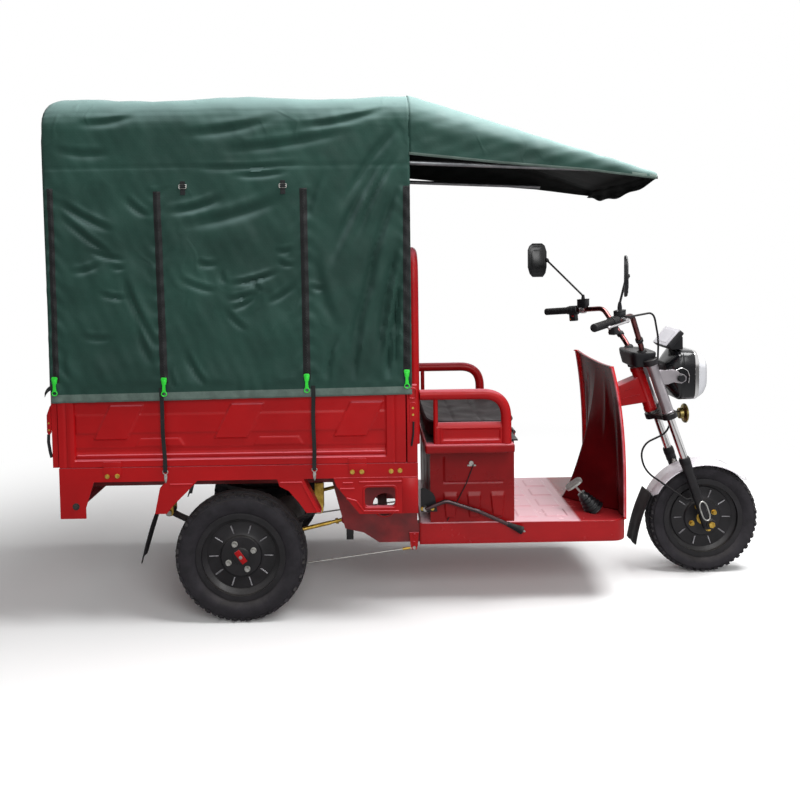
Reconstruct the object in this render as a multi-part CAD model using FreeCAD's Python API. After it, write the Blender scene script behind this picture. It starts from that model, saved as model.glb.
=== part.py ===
import FreeCAD, Part
import math
import os

# Electric cargo three-wheeler with a canvas canopy over its load bed and a visor over the driver.
# Millimetres. X runs forward from the rear axle while modelling, Y to the vehicle's left, Z up
# from the ground. Before writing, everything moves along X so that X zero is mid-length.

# Whole vehicle: the bed, the seat bay, the driver's floor and the reach to the front axle
bed_half_w = 470.0
bed_rear_x = -657.0
bed_front_x = 671.0
seat_bay_l = 387.0
footwell_l = 448.0
fork_reach = 411.0
seat_gap = 0.3          # gap left between a curved face and what carries it
moving_gap = 8.0        # least gap between bodies that move against each other
cut_over = 10.0         # how far a cutting solid runs past the face it opens

# Wheels
wheel_inset = 70.0      # from the bed's edge in to the middle of a rear wheel
rear_tyre_r = 249.0
rear_tyre_w = 100.0
front_tyre_r = 235.0
front_tyre_w = 88.0
bead_r = 152.0
flange_r = 169.0
rim_sheet = 4.0
rim_w = 76.0
front_rim_w = 66.0
well_r = 132.0
bead_seat_w = 18.0
hub_face_r = 77.0
hub_face_w = 16.0
hub_inset = 14.0
hub_boss_r = 34.0
drum_r = 92.0
front_drum_r = 66.0
bulge_share = 0.52      # heights up the tyre's wall, and half widths of its shoulder and crown
shoulder_share = 0.17
tread_share = 0.84
crown_share = 0.42

# Load bed
deck_top_z = 608.0
deck_skirt_z = 555.0
deck_sheet = 3.0
floor_inset = 60.0      # from the bed's edge to its raised floor plate, inside the gates and bows
floor_rise = 3.0
floor_end_gap = 20.0
gate_top_z = 900.0
gate_t = 22.0
gate_gap = 2.0
post_l = 40.0
post_w = 32.0
headboard_t = 14.0
cross_l = 40.0
cross_shares = (0.045, 0.25, 0.5, 0.75, 0.955)
hinge_l = 64.0
hinge_t = 3.0
hinge_pin_r = 3.0
hinge_barrel_r = 7.0
hinge_shares = (0.16, 0.86)
tail_hinge_share = 0.7
seat_hinge_share = 0.6
latch_t = 20.0
latch_w = 16.0
latch_top_z = 848.0
latch_low_z = 664.0

# Pressing of a gate: borders, depths, and its forms as shares of the field's length and height
gate_rear_border = 58.0
gate_front_border = 72.0
gate_foot = 23.0
gate_head = 12.0
field_depth = 9.0
plateau_depth = 5.5
pad_depth = 1.5
flat_depth = 5.0
groove_depth = 12.0
ledge_depth = 7.0
plateau_shares = (0.384, 0.682)
pad_shares = (0.115, 0.497, 0.879)
pad_half_share = 0.055
pad_slant_share = 0.029
pad_low_share = 0.298
pad_top_share = 0.814
flat_shares = (0.273, 0.652)
flat_half_share = 0.076
flat_taper_share = 0.014
flat_rise_shares = (0.186, 0.318)
groove_shares = (0.101, 0.178)
ledge_shares = (0.031, 0.093)

# Chassis rails and what hangs from them
rail_inset = 184.0      # from the bed's edge in to the middle of a rail
rail_w = 40.0
rail_h = 60.0
drop_start_back = 326.0     # places along the drop, back from the bed's front end
rod_eye_back = 279.0
drop_foot_back = 206.0
notch_share = 0.38
notch_r_share = 0.21
notch_z = 402.0
frame_low_z = 252.0
pan_rear_gap = 13.0
spring_w = 50.0
spring_half_l = 292.0
spring_eye_z = 388.0
spring_eye_r = 16.0
leaf_t = 7.0
leaf_count = 4
leaf_step_share = 0.22
shackle_t = 6.0
shackle_w = 34.0
axle_tube_r = 30.0
spindle_r = 18.0
diff_r = 98.0
diff_w = 120.0
motor_r = 74.0
motor_l = 210.0
motor_ahead = 128.0
backing_t = 4.0
radius_rod_r = 8.0
radius_rod_z = 330.0
brake_rod_r = 3.5
brake_arm_drop = 74.0
brake_link_z = 231.0

# Panels under the bed's edge
panel_t = 3.0
panel_low_z = 419.0
lamp_panel_l = 95.0
bracket_depth = 60.0
flap_t = 5.0
flap_w = 104.0
flap_inset = 18.0
flap_low_z = 244.0
flap_lap = 20.0
flap_sweep = 60.0
lamp_w = 130.0
lamp_h = 78.0
lamp_t = 12.0
lamp_depth = 30.0
lamp_inset = 29.0
front_panel_l = 315.0
front_panel_low_share = 0.305
window_shares = (0.368, 0.727)
window_z0 = 445.0
window_z1 = 519.0
window_r = 14.0
# corners of the two wheel bracket legs as (X, drop below the bed's skirt)
rear_leg_outline = ((-308.0, 123.0), (-287.0, 25.0), (-262.0, 0), (-148.0, 0), (-189.0, 43.0),
                    (-237.0, 90.0), (-264.0, 123.0))
front_leg_outline = ((147.0, 0), (245.0, 0), (308.0, 128.0), (254.0, 128.0), (226.0, 88.0), (189.0, 44.0),
                     (156.0, 27.0))

# Driver's floor, seat box and seat
pan_side_gap = 6.0
pan_top_z = 328.0
pan_skirt_z = 242.0
pan_sheet = 3.0
pan_corner_r = 60.0
tread_rise = 2.0
tread_run_shares = ((0.05, 0.24), (0.30, 0.50))
tread_row_shares = ((0.08, 0.24), (0.30, 0.46), (0.54, 0.70), (0.76, 0.92))
box_gap = 57.0
box_inset = 6.0
box_top_z = 622.0
box_sheet = 3.0
seat_rim_back = 24.0
seat_rim_front = 12.0
seat_rim_over = 24.0
rim_t = 34.0
arm_inset = 96.0
tub_side_top_z = 740.0
tub_side_t = 22.0
tub_field_inset = 26.0
tub_field_depth = 5.0
battery_l = 230.0
battery_h = 190.0
battery_gap = 56.0
cushion_back = 16.0
cushion_ahead = 8.0
cushion_clear = 30.0
cushion_top_z = 718.0
cushion_round = 22.0
seat_pan_t = 6.0
arm_tube_r = 20.0
arm_top_z = 866.0
arm_front_back = 22.0
arm_bend_r = 130.0
arm_post_r = 9.0
hoop_tube_r = 20.0
hoop_top_z = 1410.0
hoop_bend_r = 120.0
hoop_foot_z = 660.0
# pressing of the seat box's side: pockets and an angled groove, as shares of its length and height
box_press_depth = 2.0
pocket_shares = (0.148, 0.432, 0.710)
pocket_w_share = 0.18
pocket_taper_share = 0.015
pocket_rise_shares = (0.05, 0.41)
slot_run_shares = (0.148, 0.88)
slot_rise_shares = (0.52, 0.89)
slot_w = 10.0

# Leg shield
shield_over = 3.0
shield_top_z = 930.0
shield_edge_in = 1.0
shield_top_in = 44.0
shield_ridge_in = 190.0
shield_sheet = 4.0
shield_level_shares = (0.0, 0.25, 0.5, 0.75, 1.0)
shield_curl_share = 3.0
shield_ridge_share = 0.75
shield_taper_share = 0.1
hollow_share = 0.62

# Steering head; places along it are given back from the front axle
rake_deg = 19.2
fork_offset = 12.0
fork_half_w = 94.0
head_offset = 40.0
head_tube_r = 26.0
head_top_z = 888.0
head_low_z = 700.0
stanchion_r = 16.0
slider_r = 22.0
slider_top_z = 492.0
shroud_r = 24.0
shroud_gap = 2.0
clamp_t = 24.0
clamp_r = 32.0
stem_r = 18.0
fork_top_z = 930.0
axle_r = 9.0
neck_half_w = 38.0
neck_rear_back = 372.0
neck_top_z = 850.0
neck_low_z = 722.0
down_tube_r = 24.0
ear_t = 4.0
ear_h = 60.0
ear_share = 0.4
cover_rear_back = 351.0
cover_front_back = 213.0
cover_half_w = 134.0
cover_z0 = 896.0
cover_z1 = 962.0
cover_sheet = 3.0
cover_over = 20.0
cover_slope = 26.0

# Handlebar and what it carries
bar_r = 11.0
bar_foot_y = 86.0
bar_knee_z = 985.0
bar_riser_l = 40.0
bar_knee_y = 106.0
bar_bend_back = 365.0
bar_bend_y = 205.0
bar_bend_z = 1124.0
bar_end_back = 575.0
bar_end_y = 415.0
bar_end_z = 1096.0
bar_bend_r = 45.0
grip_r = 16.0
grip_l = 125.0
grip_cap = 4.0
cluster_r = 21.0
cluster_l = 46.0
reservoir_l = 52.0
reservoir_w = 34.0
reservoir_h = 26.0
lever_r = 5.0
lever_reach = 34.0
lever_knee_share = 0.7
mirror_stem_r = 4.5
mirror_w = 90.0
mirror_h = 160.0
mirror_t = 16.0
mirror_back = 617.0
mirror_y = 420.0
mirror_z = 1342.0
mirror_outline_shares = ((-0.5, -0.2), (-0.25, -0.5), (0.3, -0.5), (0.5, -0.2), (0.5, 0.25),
                         (0.25, 0.5), (-0.25, 0.5), (-0.5, 0.3))
near_mirror_turn_deg = 84.0
near_mirror_back = 417.0
near_mirror_z = 1286.0

# Lamp, display, horn and front brake hose
lamp_body_l = 178.0
lamp_body_half_w = 104.0
lamp_body_h = 212.0
headlamp_back = 175.0
headlamp_z = 858.0
lamp_shell_share = 0.96
lamp_body_side_shares = ((0.0, -0.22), (0.28, -0.5), (0.66, -0.5), (0.60, 0.5), (0.32, 0.5), (0.0, 0.25))
lamp_body_plan_shares = ((0.0, 0.62), (0.30, lamp_shell_share), (0.70, lamp_shell_share))
lens_side_shares = ((0.6617, -0.5), (0.80, -0.46), (0.95, -0.30), (1.0, -0.12), (1.0, 0.08),
                    (0.93, 0.30), (0.80, 0.44), (0.6017, 0.5))
lens_plan_shares = ((0.5, 1.0), (0.80, 0.96), (0.95, 0.72), (1.0, 0.50))
dash_l = 92.0
dash_w = 176.0
dash_t = 26.0
dash_back = 145.0
dash_z = 1010.0
dash_tilt_deg = 50.0
horn_r = 42.0
horn_t = 34.0
horn_back = 66.0
horn_z = 684.0
hose_r = 4.0
hose_bend_r = 110.0
hose_seat_z = 350.0
hose_lead = 24.0
# bends of the brake hose as (distance back from the front axle, Y, Z), from the lever to the fork
hose_route = ((260.0, -155.0, 1132.0), (203.0, -50.0, 1010.0), (206.0, -46.0, 850.0), (160.0, -52.0, 720.0),
              (150.0, -56.0, 620.0), (284.0, -60.0, 560.0), (267.0, -66.0, 455.0))

# Front fender and flap
fender_gap = 15.0
fender_t = 2.5
fender_w = 116.0
fender_drop = 18.0
fender_front_deg = 40.0
fender_rear_deg = 155.0
stay_t = 6.0
front_flap_low_z = 128.0
front_flap_low_back = 303.0

# Canopy; heights of its lines are drops below its top
cloth_t = 4.0
cloth_out = 8.0
cloth_rear_x = -680.0
cloth_front_gap = 19.0
canopy_top_z = 2000.0
crown_drop = 20.0
eaves_drop = 285.0
canopy_shoulder_in = 130.0
shoulder_steps = 5
corner_l = 55.0
corner_steps = ((0.0, 1.0), (0.2, 0.4), (0.5, 0.12), (1.0, 0.0))
corner_drop = 34.0
hem_z = 858.0
curtain_gap = 12.0
visor_front_back = 362.0
visor_tip_drop = 324.0
visor_tip_low_drop = 350.0
visor_hem_drop = 258.0
visor_flap_drop = 44.0
visor_flap_lip = 2.0
visor_flap_shares = ((-1.0, 0.0), (-0.7, 0.5), (-0.35, 0.88), (0.0, 1.0), (0.35, 0.88), (0.7, 0.5),
                     (1.0, 0.0))
bow_r = 12.5
bow_bend_r = 130.0
visor_tube_r = 9.0
visor_tube_end_back = 601.0
visor_tube_drop = 278.0
visor_tube_end_drop = 310.0
strap_w = 16.0
strap_t = 2.0
strap_xs = (-268.0, 284.0)

# Controls at the floor
pedal_y_inset = 112.0
pedal_pad_l = 74.0
pedal_pad_w = 60.0
pedal_pad_t = 12.0
pedal_pad_in = 188.0
pedal_pad_z = 442.0
pedal_foot_in = 101.0
pedal_tilt_deg = 35.0
boot_low_r = 42.0
boot_top_r = 15.0
boot_h = 104.0
park_ahead = 19.0
park_low_z = 372.0
park_plate_h = 98.0
park_plate_t = 5.0
park_rod_r = 8.0
park_grip_r = 12.0
park_grip_l = 62.0
# bends of the parking lever as (distance ahead of its plate, height above the floor)
park_lever_route = ((98.0, 92.0), (225.0, 48.0), (341.0, -6.0))

# Places that several pieces share
half_track = bed_half_w - wheel_inset
rail_y = bed_half_w - rail_inset
pan_half_w = rail_y + rail_w / 2 + pan_side_gap
box_half_w = pan_half_w - box_inset
box_rear_x = bed_front_x + box_gap
box_front_x = bed_front_x + seat_bay_l
pan_rear_x = bed_front_x + pan_rear_gap
pan_front_x = box_front_x + footwell_l
wheelbase = pan_front_x + fork_reach
drop_foot_x = bed_front_x - drop_foot_back
radius_rod_x = bed_front_x - rod_eye_back
tail_x = bed_rear_x - gate_gap - gate_t
rear_reach = tail_x - latch_t
mid_x = (rear_reach + wheelbase + front_tyre_r) / 2
gate_low_z = deck_top_z + gate_gap
headboard_x = bed_front_x - post_l
hoop_x = headboard_x + headboard_t + seat_gap + hoop_tube_r
front_bow_x = headboard_x - bow_r - cloth_t
rail_low_z = deck_skirt_z - rail_h
axle_half_l = rail_y + spring_w / 2 + moving_gap
arm_y = bed_half_w - arm_inset
arm_front_x = box_front_x - arm_front_back
rim_top_z = box_top_z + rim_t
cushion_rear_x = box_rear_x - cushion_back
cushion_front_x = box_front_x + cushion_ahead
cushion_half_w = arm_y - cushion_clear
hinge_x = cushion_front_x + moving_gap
hinge_z = rim_top_z + seat_pan_t
tail_hinge_x = tail_x - hinge_pin_r
tail_hinge_z = deck_top_z - hinge_barrel_r
tail_hinge_ys = (-bed_half_w * tail_hinge_share, 0, bed_half_w * tail_hinge_share)
seat_hinge_y = box_half_w * seat_hinge_share
fork_low_x = wheelbase - fork_offset
neck_rear_x = wheelbase - neck_rear_back
headlamp_x = wheelbase - headlamp_back
dash_x = wheelbase - dash_back
horn_x = wheelbase - horn_back
cloth_side_y = bed_half_w + cloth_out
cloth_front_x = bed_front_x - cloth_front_gap
canopy_shoulder_z = canopy_top_z - crown_drop
canopy_eaves_z = canopy_top_z - eaves_drop
rear_hem_z = gate_top_z + curtain_gap
visor_front_x = wheelbase - visor_front_back
visor_tip_z = canopy_top_z - visor_tip_drop
visor_tip_low_z = canopy_top_z - visor_tip_low_drop


def vec(x, y, z):
    return FreeCAD.Vector(x, y, z)


def block(x0, x1, y0, y1, z0, z1):
    return Part.makeBox(x1 - x0, y1 - y0, z1 - z0, vec(x0, y0, z0))


def rod(start, end, radius):
    return Part.makeCylinder(radius, (end - start).Length, start, end - start)


def closed_face(corners):
    return Part.Face(Part.makePolygon(corners + corners[:1]))


def plate_xz(points, y0, y1):
    return closed_face([vec(x, y0, z) for x, z in points]).extrude(vec(0, y1 - y0, 0))


def plate_yz(points, x0, x1):
    return closed_face([vec(x0, y, z) for y, z in points]).extrude(vec(x1 - x0, 0, 0))


def plate_xy(points, z0, z1):
    return closed_face([vec(x, y, z0) for x, y in points]).extrude(vec(0, 0, z1 - z0))


def mirrored(shape):
    return shape.mirror(vec(0, 0, 0), vec(0, 1, 0))


def both_sides(shape):
    return [shape, mirrored(shape)]


def joined(pieces):
    return pieces[0].multiFuse(pieces[1:]).removeSplitter()


def rounded_path(points, bend_r):
    # straight runs with a tangent arc at each inner point
    edges = []
    last = points[0]
    for before, corner, after in zip(points, points[1:], points[2:]):
        back = (before - corner).normalize()
        ahead = (after - corner).normalize()
        half_turn = back.getAngle(ahead) / 2
        room = min((before - corner).Length, (after - corner).Length) / 2
        setback = min(bend_r / math.tan(half_turn), room)
        radius = setback * math.tan(half_turn)
        inward = (back + ahead).normalize()
        centre = corner + inward * (radius / math.sin(half_turn))
        arc_start = corner + back * setback
        arc_end = corner + ahead * setback
        if (arc_start - last).Length > seat_gap:
            edges.append(Part.LineSegment(last, arc_start).toShape())
        edges.append(Part.Arc(arc_start, centre - inward * radius, arc_end).toShape())
        last = arc_end
    edges.append(Part.LineSegment(last, points[-1]).toShape())
    return Part.Wire(edges)


def pipe(points, radius, bend_r):
    path = rounded_path(points, bend_r)
    ring = Part.Wire(Part.makeCircle(radius, points[0], points[1] - points[0]))
    return path.makePipeShell([ring], True, True)


def revolved_y(profile, centre):
    # profile of (radius, y) pairs turned about the Y direction through the centre
    face = closed_face([vec(centre.x + r, centre.y + y, centre.z) for r, y in profile])
    return face.revolve(centre, vec(0, 1, 0), 360)


def save(node, *solids):
    shape = solids[0] if len(solids) == 1 else Part.makeCompound(list(solids))
    shape = shape.copy()
    shape.translate(vec(-mid_x, 0, 0))
    shape.exportStep(os.path.join("parts", node + ".step"))


def placed(shape, x, y, z):
    moved = shape.copy()
    moved.translate(vec(x, y, z))
    return moved


# Steering axis, and places on it or beside it by height
rake = math.radians(rake_deg)
steer_up = vec(-math.sin(rake), 0, math.cos(rake))
steer_ahead = vec(math.cos(rake), 0, math.sin(rake))


def leg_x(z):
    return fork_low_x - (z - front_tyre_r) * math.tan(rake)


def head_x(z):
    return leg_x(z) - head_offset / math.cos(rake)


def leg_point(z, side):
    return vec(leg_x(z), side * fork_half_w, z)


def head_point(z):
    return vec(head_x(z), 0, z)


# A pin hinge along Y: the barrel and strap that turn with the moving leaf, the pin and its two ears
def pin_hinge(x, z, y, leaf_x, leaf_z, carrier_x):
    barrel = Part.makeCylinder(hinge_barrel_r, hinge_l, vec(x, y - hinge_l / 2, z), vec(0, 1, 0))
    strap = block(min(x, leaf_x), max(x, leaf_x), y - hinge_l / 2, y + hinge_l / 2, min(z, leaf_z),
                  max(z, leaf_z))
    bore = Part.makeCylinder(hinge_pin_r + seat_gap, hinge_l * 2, vec(x, y - hinge_l, z), vec(0, 1, 0))
    half = hinge_l / 2 + gate_gap
    fixed = [Part.makeCylinder(hinge_pin_r, half * 2 + hinge_t * 2, vec(x, y - half - hinge_t, z),
                               vec(0, 1, 0))]
    for start in (y - half - hinge_t, y + half):
        fixed.append(block(x - hinge_pin_r, x + hinge_pin_r, start, start + hinge_t, z - hinge_barrel_r * 2,
                           z + hinge_pin_r))
        fixed.append(block(min(x, carrier_x), max(x, carrier_x), start, start + hinge_t,
                           z - hinge_barrel_r * 2, z - hinge_barrel_r))
    return barrel.fuse(strap).cut(bore), joined(fixed)


# Wheels, built at the origin with the outer face towards -Y
def tyre(radius, width, seat_w):
    height = radius - bead_r
    half = width / 2
    bead = seat_w / 2 - rim_sheet - seat_gap
    wall = [(bead_r + seat_gap, bead), (flange_r + seat_gap * 2, bead),
            (bead_r + height * bulge_share, half), (radius - height * shoulder_share, half * tread_share),
            (radius, half * crown_share)]
    return revolved_y(wall + [(r, -y) for r, y in reversed(wall)], vec(0, 0, 0))


def rim(width):
    # one pressed section: flange, bead seat, well, bead seat, flange
    half = width / 2
    step = (bead_r - well_r) / 2
    outer = [(flange_r, -half), (flange_r, -half + rim_sheet), (bead_r, -half + rim_sheet),
             (bead_r, -half + bead_seat_w), (well_r, -half + bead_seat_w + step),
             (well_r, half - bead_seat_w - step), (bead_r, half - bead_seat_w),
             (bead_r, half - rim_sheet), (flange_r, half - rim_sheet), (flange_r, half)]
    inside = [(bead_r - rim_sheet, half), (bead_r - rim_sheet, half - bead_seat_w),
              (well_r - rim_sheet, half - bead_seat_w - step),
              (well_r - rim_sheet, -half + bead_seat_w + step),
              (bead_r - rim_sheet, -half + bead_seat_w), (bead_r - rim_sheet, -half)]
    return revolved_y(outer + inside, vec(0, 0, 0))


def wheel_disc(face_y):
    # dished disc from the well to the hub
    well_in = well_r - rim_sheet / 2
    step = face_y + hub_face_w / 2
    dish = [(0, face_y - rim_sheet), (hub_boss_r, face_y - rim_sheet), (hub_boss_r, face_y),
            (hub_face_r, face_y), (hub_face_r, step), (well_in, face_y + hub_face_w),
            (well_in, face_y + hub_face_w + rim_sheet), (hub_face_r, step + rim_sheet), (0, step + rim_sheet)]
    return revolved_y(dish, vec(0, 0, 0))


def rear_wheel():
    face_y = -rim_w / 2 + hub_inset
    wall_y = face_y + hub_face_w
    drum_end = half_track - axle_half_l - backing_t - moving_gap
    drum = revolved_y([(0, face_y + rim_sheet), (hub_face_r, face_y + rim_sheet), (drum_r, wall_y),
                       (drum_r, drum_end), (drum_r - rim_sheet, drum_end),
                       (drum_r - rim_sheet, wall_y + rim_sheet), (0, wall_y + rim_sheet)], vec(0, 0, 0))
    rims = joined([rim(rim_w), wheel_disc(face_y), drum])
    return tyre(rear_tyre_r, rear_tyre_w, rim_w), rims


def spindle_length():
    wall_y = -rim_w / 2 + hub_inset + hub_face_w + rim_sheet
    return half_track - axle_half_l - wall_y - seat_gap


def front_wheel():
    face_y = -front_rim_w / 2 + hub_face_w / 2
    hub = Part.makeCylinder(front_drum_r, front_rim_w - hub_face_w, vec(0, face_y, 0), vec(0, 1, 0))
    bore = Part.makeCylinder(axle_r + seat_gap, front_rim_w * 2, vec(0, -front_rim_w, 0), vec(0, 1, 0))
    rims = joined([rim(front_rim_w), wheel_disc(face_y), hub]).cut(bore)
    return tyre(front_tyre_r, front_tyre_w, front_rim_w), rims


def build_wheels():
    tyre_shape, rim_shape = rear_wheel()
    for side, name in ((-1, "right"), (1, "left")):
        for label, shape in (("tyre", tyre_shape), ("rim", rim_shape)):
            one = shape if side < 0 else mirrored(shape)
            save("rear_" + label + "_" + name, placed(one, 0, side * half_track, rear_tyre_r))
    tyre_shape, rim_shape = front_wheel()
    save("front_tyre", placed(tyre_shape, wheelbase, 0, front_tyre_r))
    save("front_rim", placed(rim_shape, wheelbase, 0, front_tyre_r))


# Chassis: two rails that drop ahead of the bed and run on under the driver's floor
def build_frame():
    rail_y0 = -rail_y - rail_w / 2
    floor_rail_top = pan_top_z - pan_sheet
    side = [(bed_rear_x + panel_t, deck_skirt_z), (bed_rear_x + panel_t, rail_low_z),
            (bed_front_x - drop_start_back, rail_low_z), (radius_rod_x, radius_rod_z - rail_w / 2),
            (drop_foot_x, frame_low_z + rail_w), (drop_foot_x + rail_h, frame_low_z),
            (pan_front_x - pan_corner_r, frame_low_z), (pan_front_x - pan_corner_r, floor_rail_top),
            (pan_rear_x - moving_gap, floor_rail_top), (pan_rear_x - moving_gap, panel_low_z),
            (bed_front_x - rail_w, deck_skirt_z)]
    rail = plate_xz(side, rail_y0, rail_y0 + rail_w)
    drop_l = pan_rear_x - drop_foot_x
    notch = Part.makeCylinder(drop_l * notch_r_share, rail_w + cut_over * 2,
                              vec(drop_foot_x + drop_l * notch_share, rail_y0 - cut_over, notch_z),
                              vec(0, 1, 0))
    save("chassis_rails", *both_sides(rail.cut(notch)))
    inner_w = bed_half_w - deck_sheet
    bars = []
    for share in cross_shares:
        middle = bed_rear_x + (bed_front_x - bed_rear_x) * share
        bars.append(block(middle - cross_l / 2, middle + cross_l / 2, -inner_w, inner_w,
                          deck_skirt_z, deck_top_z - deck_sheet))
    tie_half = rail_y - rail_w / 2
    for x, z in ((drop_foot_x + rail_h, frame_low_z), (bed_rear_x + lamp_panel_l, rail_low_z),
                 (pan_front_x - pan_corner_r - cross_l - rail_w, frame_low_z)):
        bars.append(block(x, x + cross_l, -tie_half, tie_half, z, z + cross_l))
    save("cross_members", *bars)


def build_axle():
    centre = vec(0, 0, rear_tyre_r)
    tube = Part.makeCylinder(axle_tube_r, axle_half_l * 2, vec(0, -axle_half_l, rear_tyre_r), vec(0, 1, 0))
    bowl = revolved_y([(0, -diff_w / 2), (axle_tube_r * 2, -diff_w / 2), (diff_r, -diff_w / 4),
                       (diff_r, diff_w / 4), (axle_tube_r * 2, diff_w / 2), (0, diff_w / 2)], centre)
    motor = Part.makeCylinder(motor_r, motor_l, vec(motor_ahead, -motor_l / 2, rear_tyre_r), vec(0, 1, 0))
    gear_case = block(0, motor_ahead, -diff_w / 4, diff_w / 4, rear_tyre_r - motor_r / 2,
                      rear_tyre_r + motor_r / 2)
    pieces = [tube, bowl, motor, gear_case]
    spindle_l = spindle_length()
    for side in (-1, 1):
        plate_y = axle_half_l if side > 0 else -axle_half_l - backing_t
        pieces.append(Part.makeCylinder(drum_r + backing_t, backing_t, vec(0, plate_y, rear_tyre_r),
                                        vec(0, 1, 0)))
        spindle_y = axle_half_l if side > 0 else -axle_half_l - spindle_l
        pieces.append(Part.makeCylinder(spindle_r, spindle_l, vec(0, spindle_y, rear_tyre_r),
                                        vec(0, 1, 0)))
    save("rear_axle", joined(pieces))
    build_springs()


def spring_leaf(half_l, top_z, rise):
    upper = Part.Arc(vec(-half_l, -rail_y - spring_w / 2, top_z + rise),
                     vec(0, -rail_y - spring_w / 2, top_z),
                     vec(half_l, -rail_y - spring_w / 2, top_z + rise)).toShape()
    lower = placed(upper, 0, 0, -leaf_t)
    ends = [Part.makeLine(upper.Vertexes[at].Point, lower.Vertexes[at].Point) for at in (0, 1)]
    face = Part.Face(Part.Wire(Part.__sortEdges__([upper, ends[1], lower, ends[0]])))
    return face.extrude(vec(0, spring_w, 0))


def build_springs():
    seat_z = rear_tyre_r + axle_tube_r
    pack_h = leaf_t * leaf_count
    rise = spring_eye_z - seat_z - pack_h
    leaves = []
    for index in range(leaf_count):
        share = 1 - index * leaf_step_share
        leaves.append(spring_leaf(spring_half_l * share, seat_z + pack_h - leaf_t * index,
                                  rise * share ** 2))
    for end in (-1, 1):
        leaves.append(Part.makeCylinder(spring_eye_r, spring_w,
                                        vec(end * spring_half_l, -rail_y - spring_w / 2, spring_eye_z),
                                        vec(0, 1, 0)))
    save("leaf_springs", *both_sides(joined(leaves)))


def build_axle_links():
    links = []
    for end in (-1, 1):
        x0 = end * spring_half_l - shackle_w / 2
        hanger = [block(x0, x0 + shackle_w, -rail_y - spring_w / 2 - shackle_t - seat_gap,
                        -rail_y + spring_w / 2 + shackle_t + seat_gap, rail_low_z - shackle_t, rail_low_z)]
        for outer in (-1, 1):
            y0 = -rail_y + outer * (spring_w / 2 + seat_gap + shackle_t / 2) - shackle_t / 2
            hanger.append(block(x0, x0 + shackle_w, y0, y0 + shackle_t, spring_eye_z - spring_eye_r,
                                rail_low_z))
        links += both_sides(joined(hanger))
    link_y = -rail_y + rail_w / 2 + radius_rod_r * 2
    start = vec(axle_tube_r + radius_rod_r, link_y, rear_tyre_r)
    end = vec(radius_rod_x, link_y, radius_rod_z)
    bush = Part.makeCylinder(radius_rod_r * 2, radius_rod_r * 4 - seat_gap,
                             end - vec(0, radius_rod_r * 2 - seat_gap, 0), vec(0, 1, 0))
    links += both_sides(joined([rod(start, end, radius_rod_r), bush]))
    brake_y = -rail_y - rail_w / 2 - brake_rod_r - seat_gap
    brake_start = vec(0, brake_y, rear_tyre_r - axle_tube_r - brake_arm_drop)
    brake_end = vec(pan_rear_x - rail_w / 2 - gate_gap, brake_y, brake_link_z)
    arm = block(-rail_w / 4, rail_w / 4, brake_y - brake_rod_r, brake_y + brake_rod_r, brake_start.z,
                rear_tyre_r - axle_tube_r)
    crank = plate_xz([(brake_end.x - rail_w / 4, brake_link_z - rail_w / 4),
                      (brake_end.x + rail_w / 4, brake_link_z - rail_w / 4),
                      (brake_end.x + rail_w / 2, frame_low_z + rail_w),
                      (brake_end.x - rail_w / 2, frame_low_z + rail_w)],
                     brake_y - brake_rod_r, brake_y + brake_rod_r)
    links += both_sides(joined([rod(brake_start, brake_end, brake_rod_r), arm, crank]))
    save("axle_links", *links)


# Load bed
def build_deck():
    outer = block(bed_rear_x, bed_front_x, -bed_half_w, bed_half_w, deck_skirt_z, deck_top_z)
    hollow = block(bed_rear_x + deck_sheet, bed_front_x - deck_sheet, -bed_half_w + deck_sheet,
                   bed_half_w - deck_sheet, deck_skirt_z - cut_over, deck_top_z - deck_sheet)
    plate = block(bed_rear_x + floor_end_gap, headboard_x - floor_end_gap, -bed_half_w + floor_inset,
                  bed_half_w - floor_inset, deck_top_z - deck_sheet, deck_top_z + floor_rise)
    deck = outer.cut(hollow).fuse(plate)
    for y in tail_hinge_ys:
        deck = deck.fuse(pin_hinge(tail_hinge_x, tail_hinge_z, y, tail_x, gate_low_z, bed_rear_x)[1])
    save("deck", deck.removeSplitter())


# Gate pressing, outer face at Y zero: a sunk field, and in it a plateau, slanted pads, flats,
# a groove and a ledge
def gate_panel(length, height):
    left = gate_rear_border
    low = gate_foot
    field_l = length - gate_front_border - left
    field_h = height - gate_head - low
    right = left + field_l
    root = gate_t / 2

    def rise(share):
        return low + field_h * share

    panel = block(0, length, 0, gate_t, 0, height)
    panel = panel.cut(block(left, right, -cut_over, field_depth, low, height - gate_head))
    panel = panel.cut(block(left, right, -cut_over, groove_depth, rise(groove_shares[0]),
                            rise(groove_shares[1])))
    pieces = [panel]
    for depth, shares in ((plateau_depth, plateau_shares), (ledge_depth, ledge_shares)):
        pieces.append(block(left, right, depth, root, rise(shares[0]), rise(shares[1])))
    half = field_l * pad_half_share
    slant = field_l * pad_slant_share
    for share in pad_shares:
        middle = left + field_l * share
        pieces.append(plate_xz([(middle - half - slant, rise(pad_low_share)),
                                (middle + half - slant, rise(pad_low_share)),
                                (middle + half + slant, rise(pad_top_share)),
                                (middle - half + slant, rise(pad_top_share))], pad_depth, root))
    half = field_l * flat_half_share
    taper = field_l * flat_taper_share
    for share in flat_shares:
        middle = left + field_l * share
        pieces.append(plate_xz([(middle - half, rise(flat_rise_shares[0])),
                                (middle + half, rise(flat_rise_shares[0])),
                                (middle + half - taper, rise(flat_rise_shares[1])),
                                (middle - half + taper, rise(flat_rise_shares[1]))], flat_depth, root))
    return joined(pieces)


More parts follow.
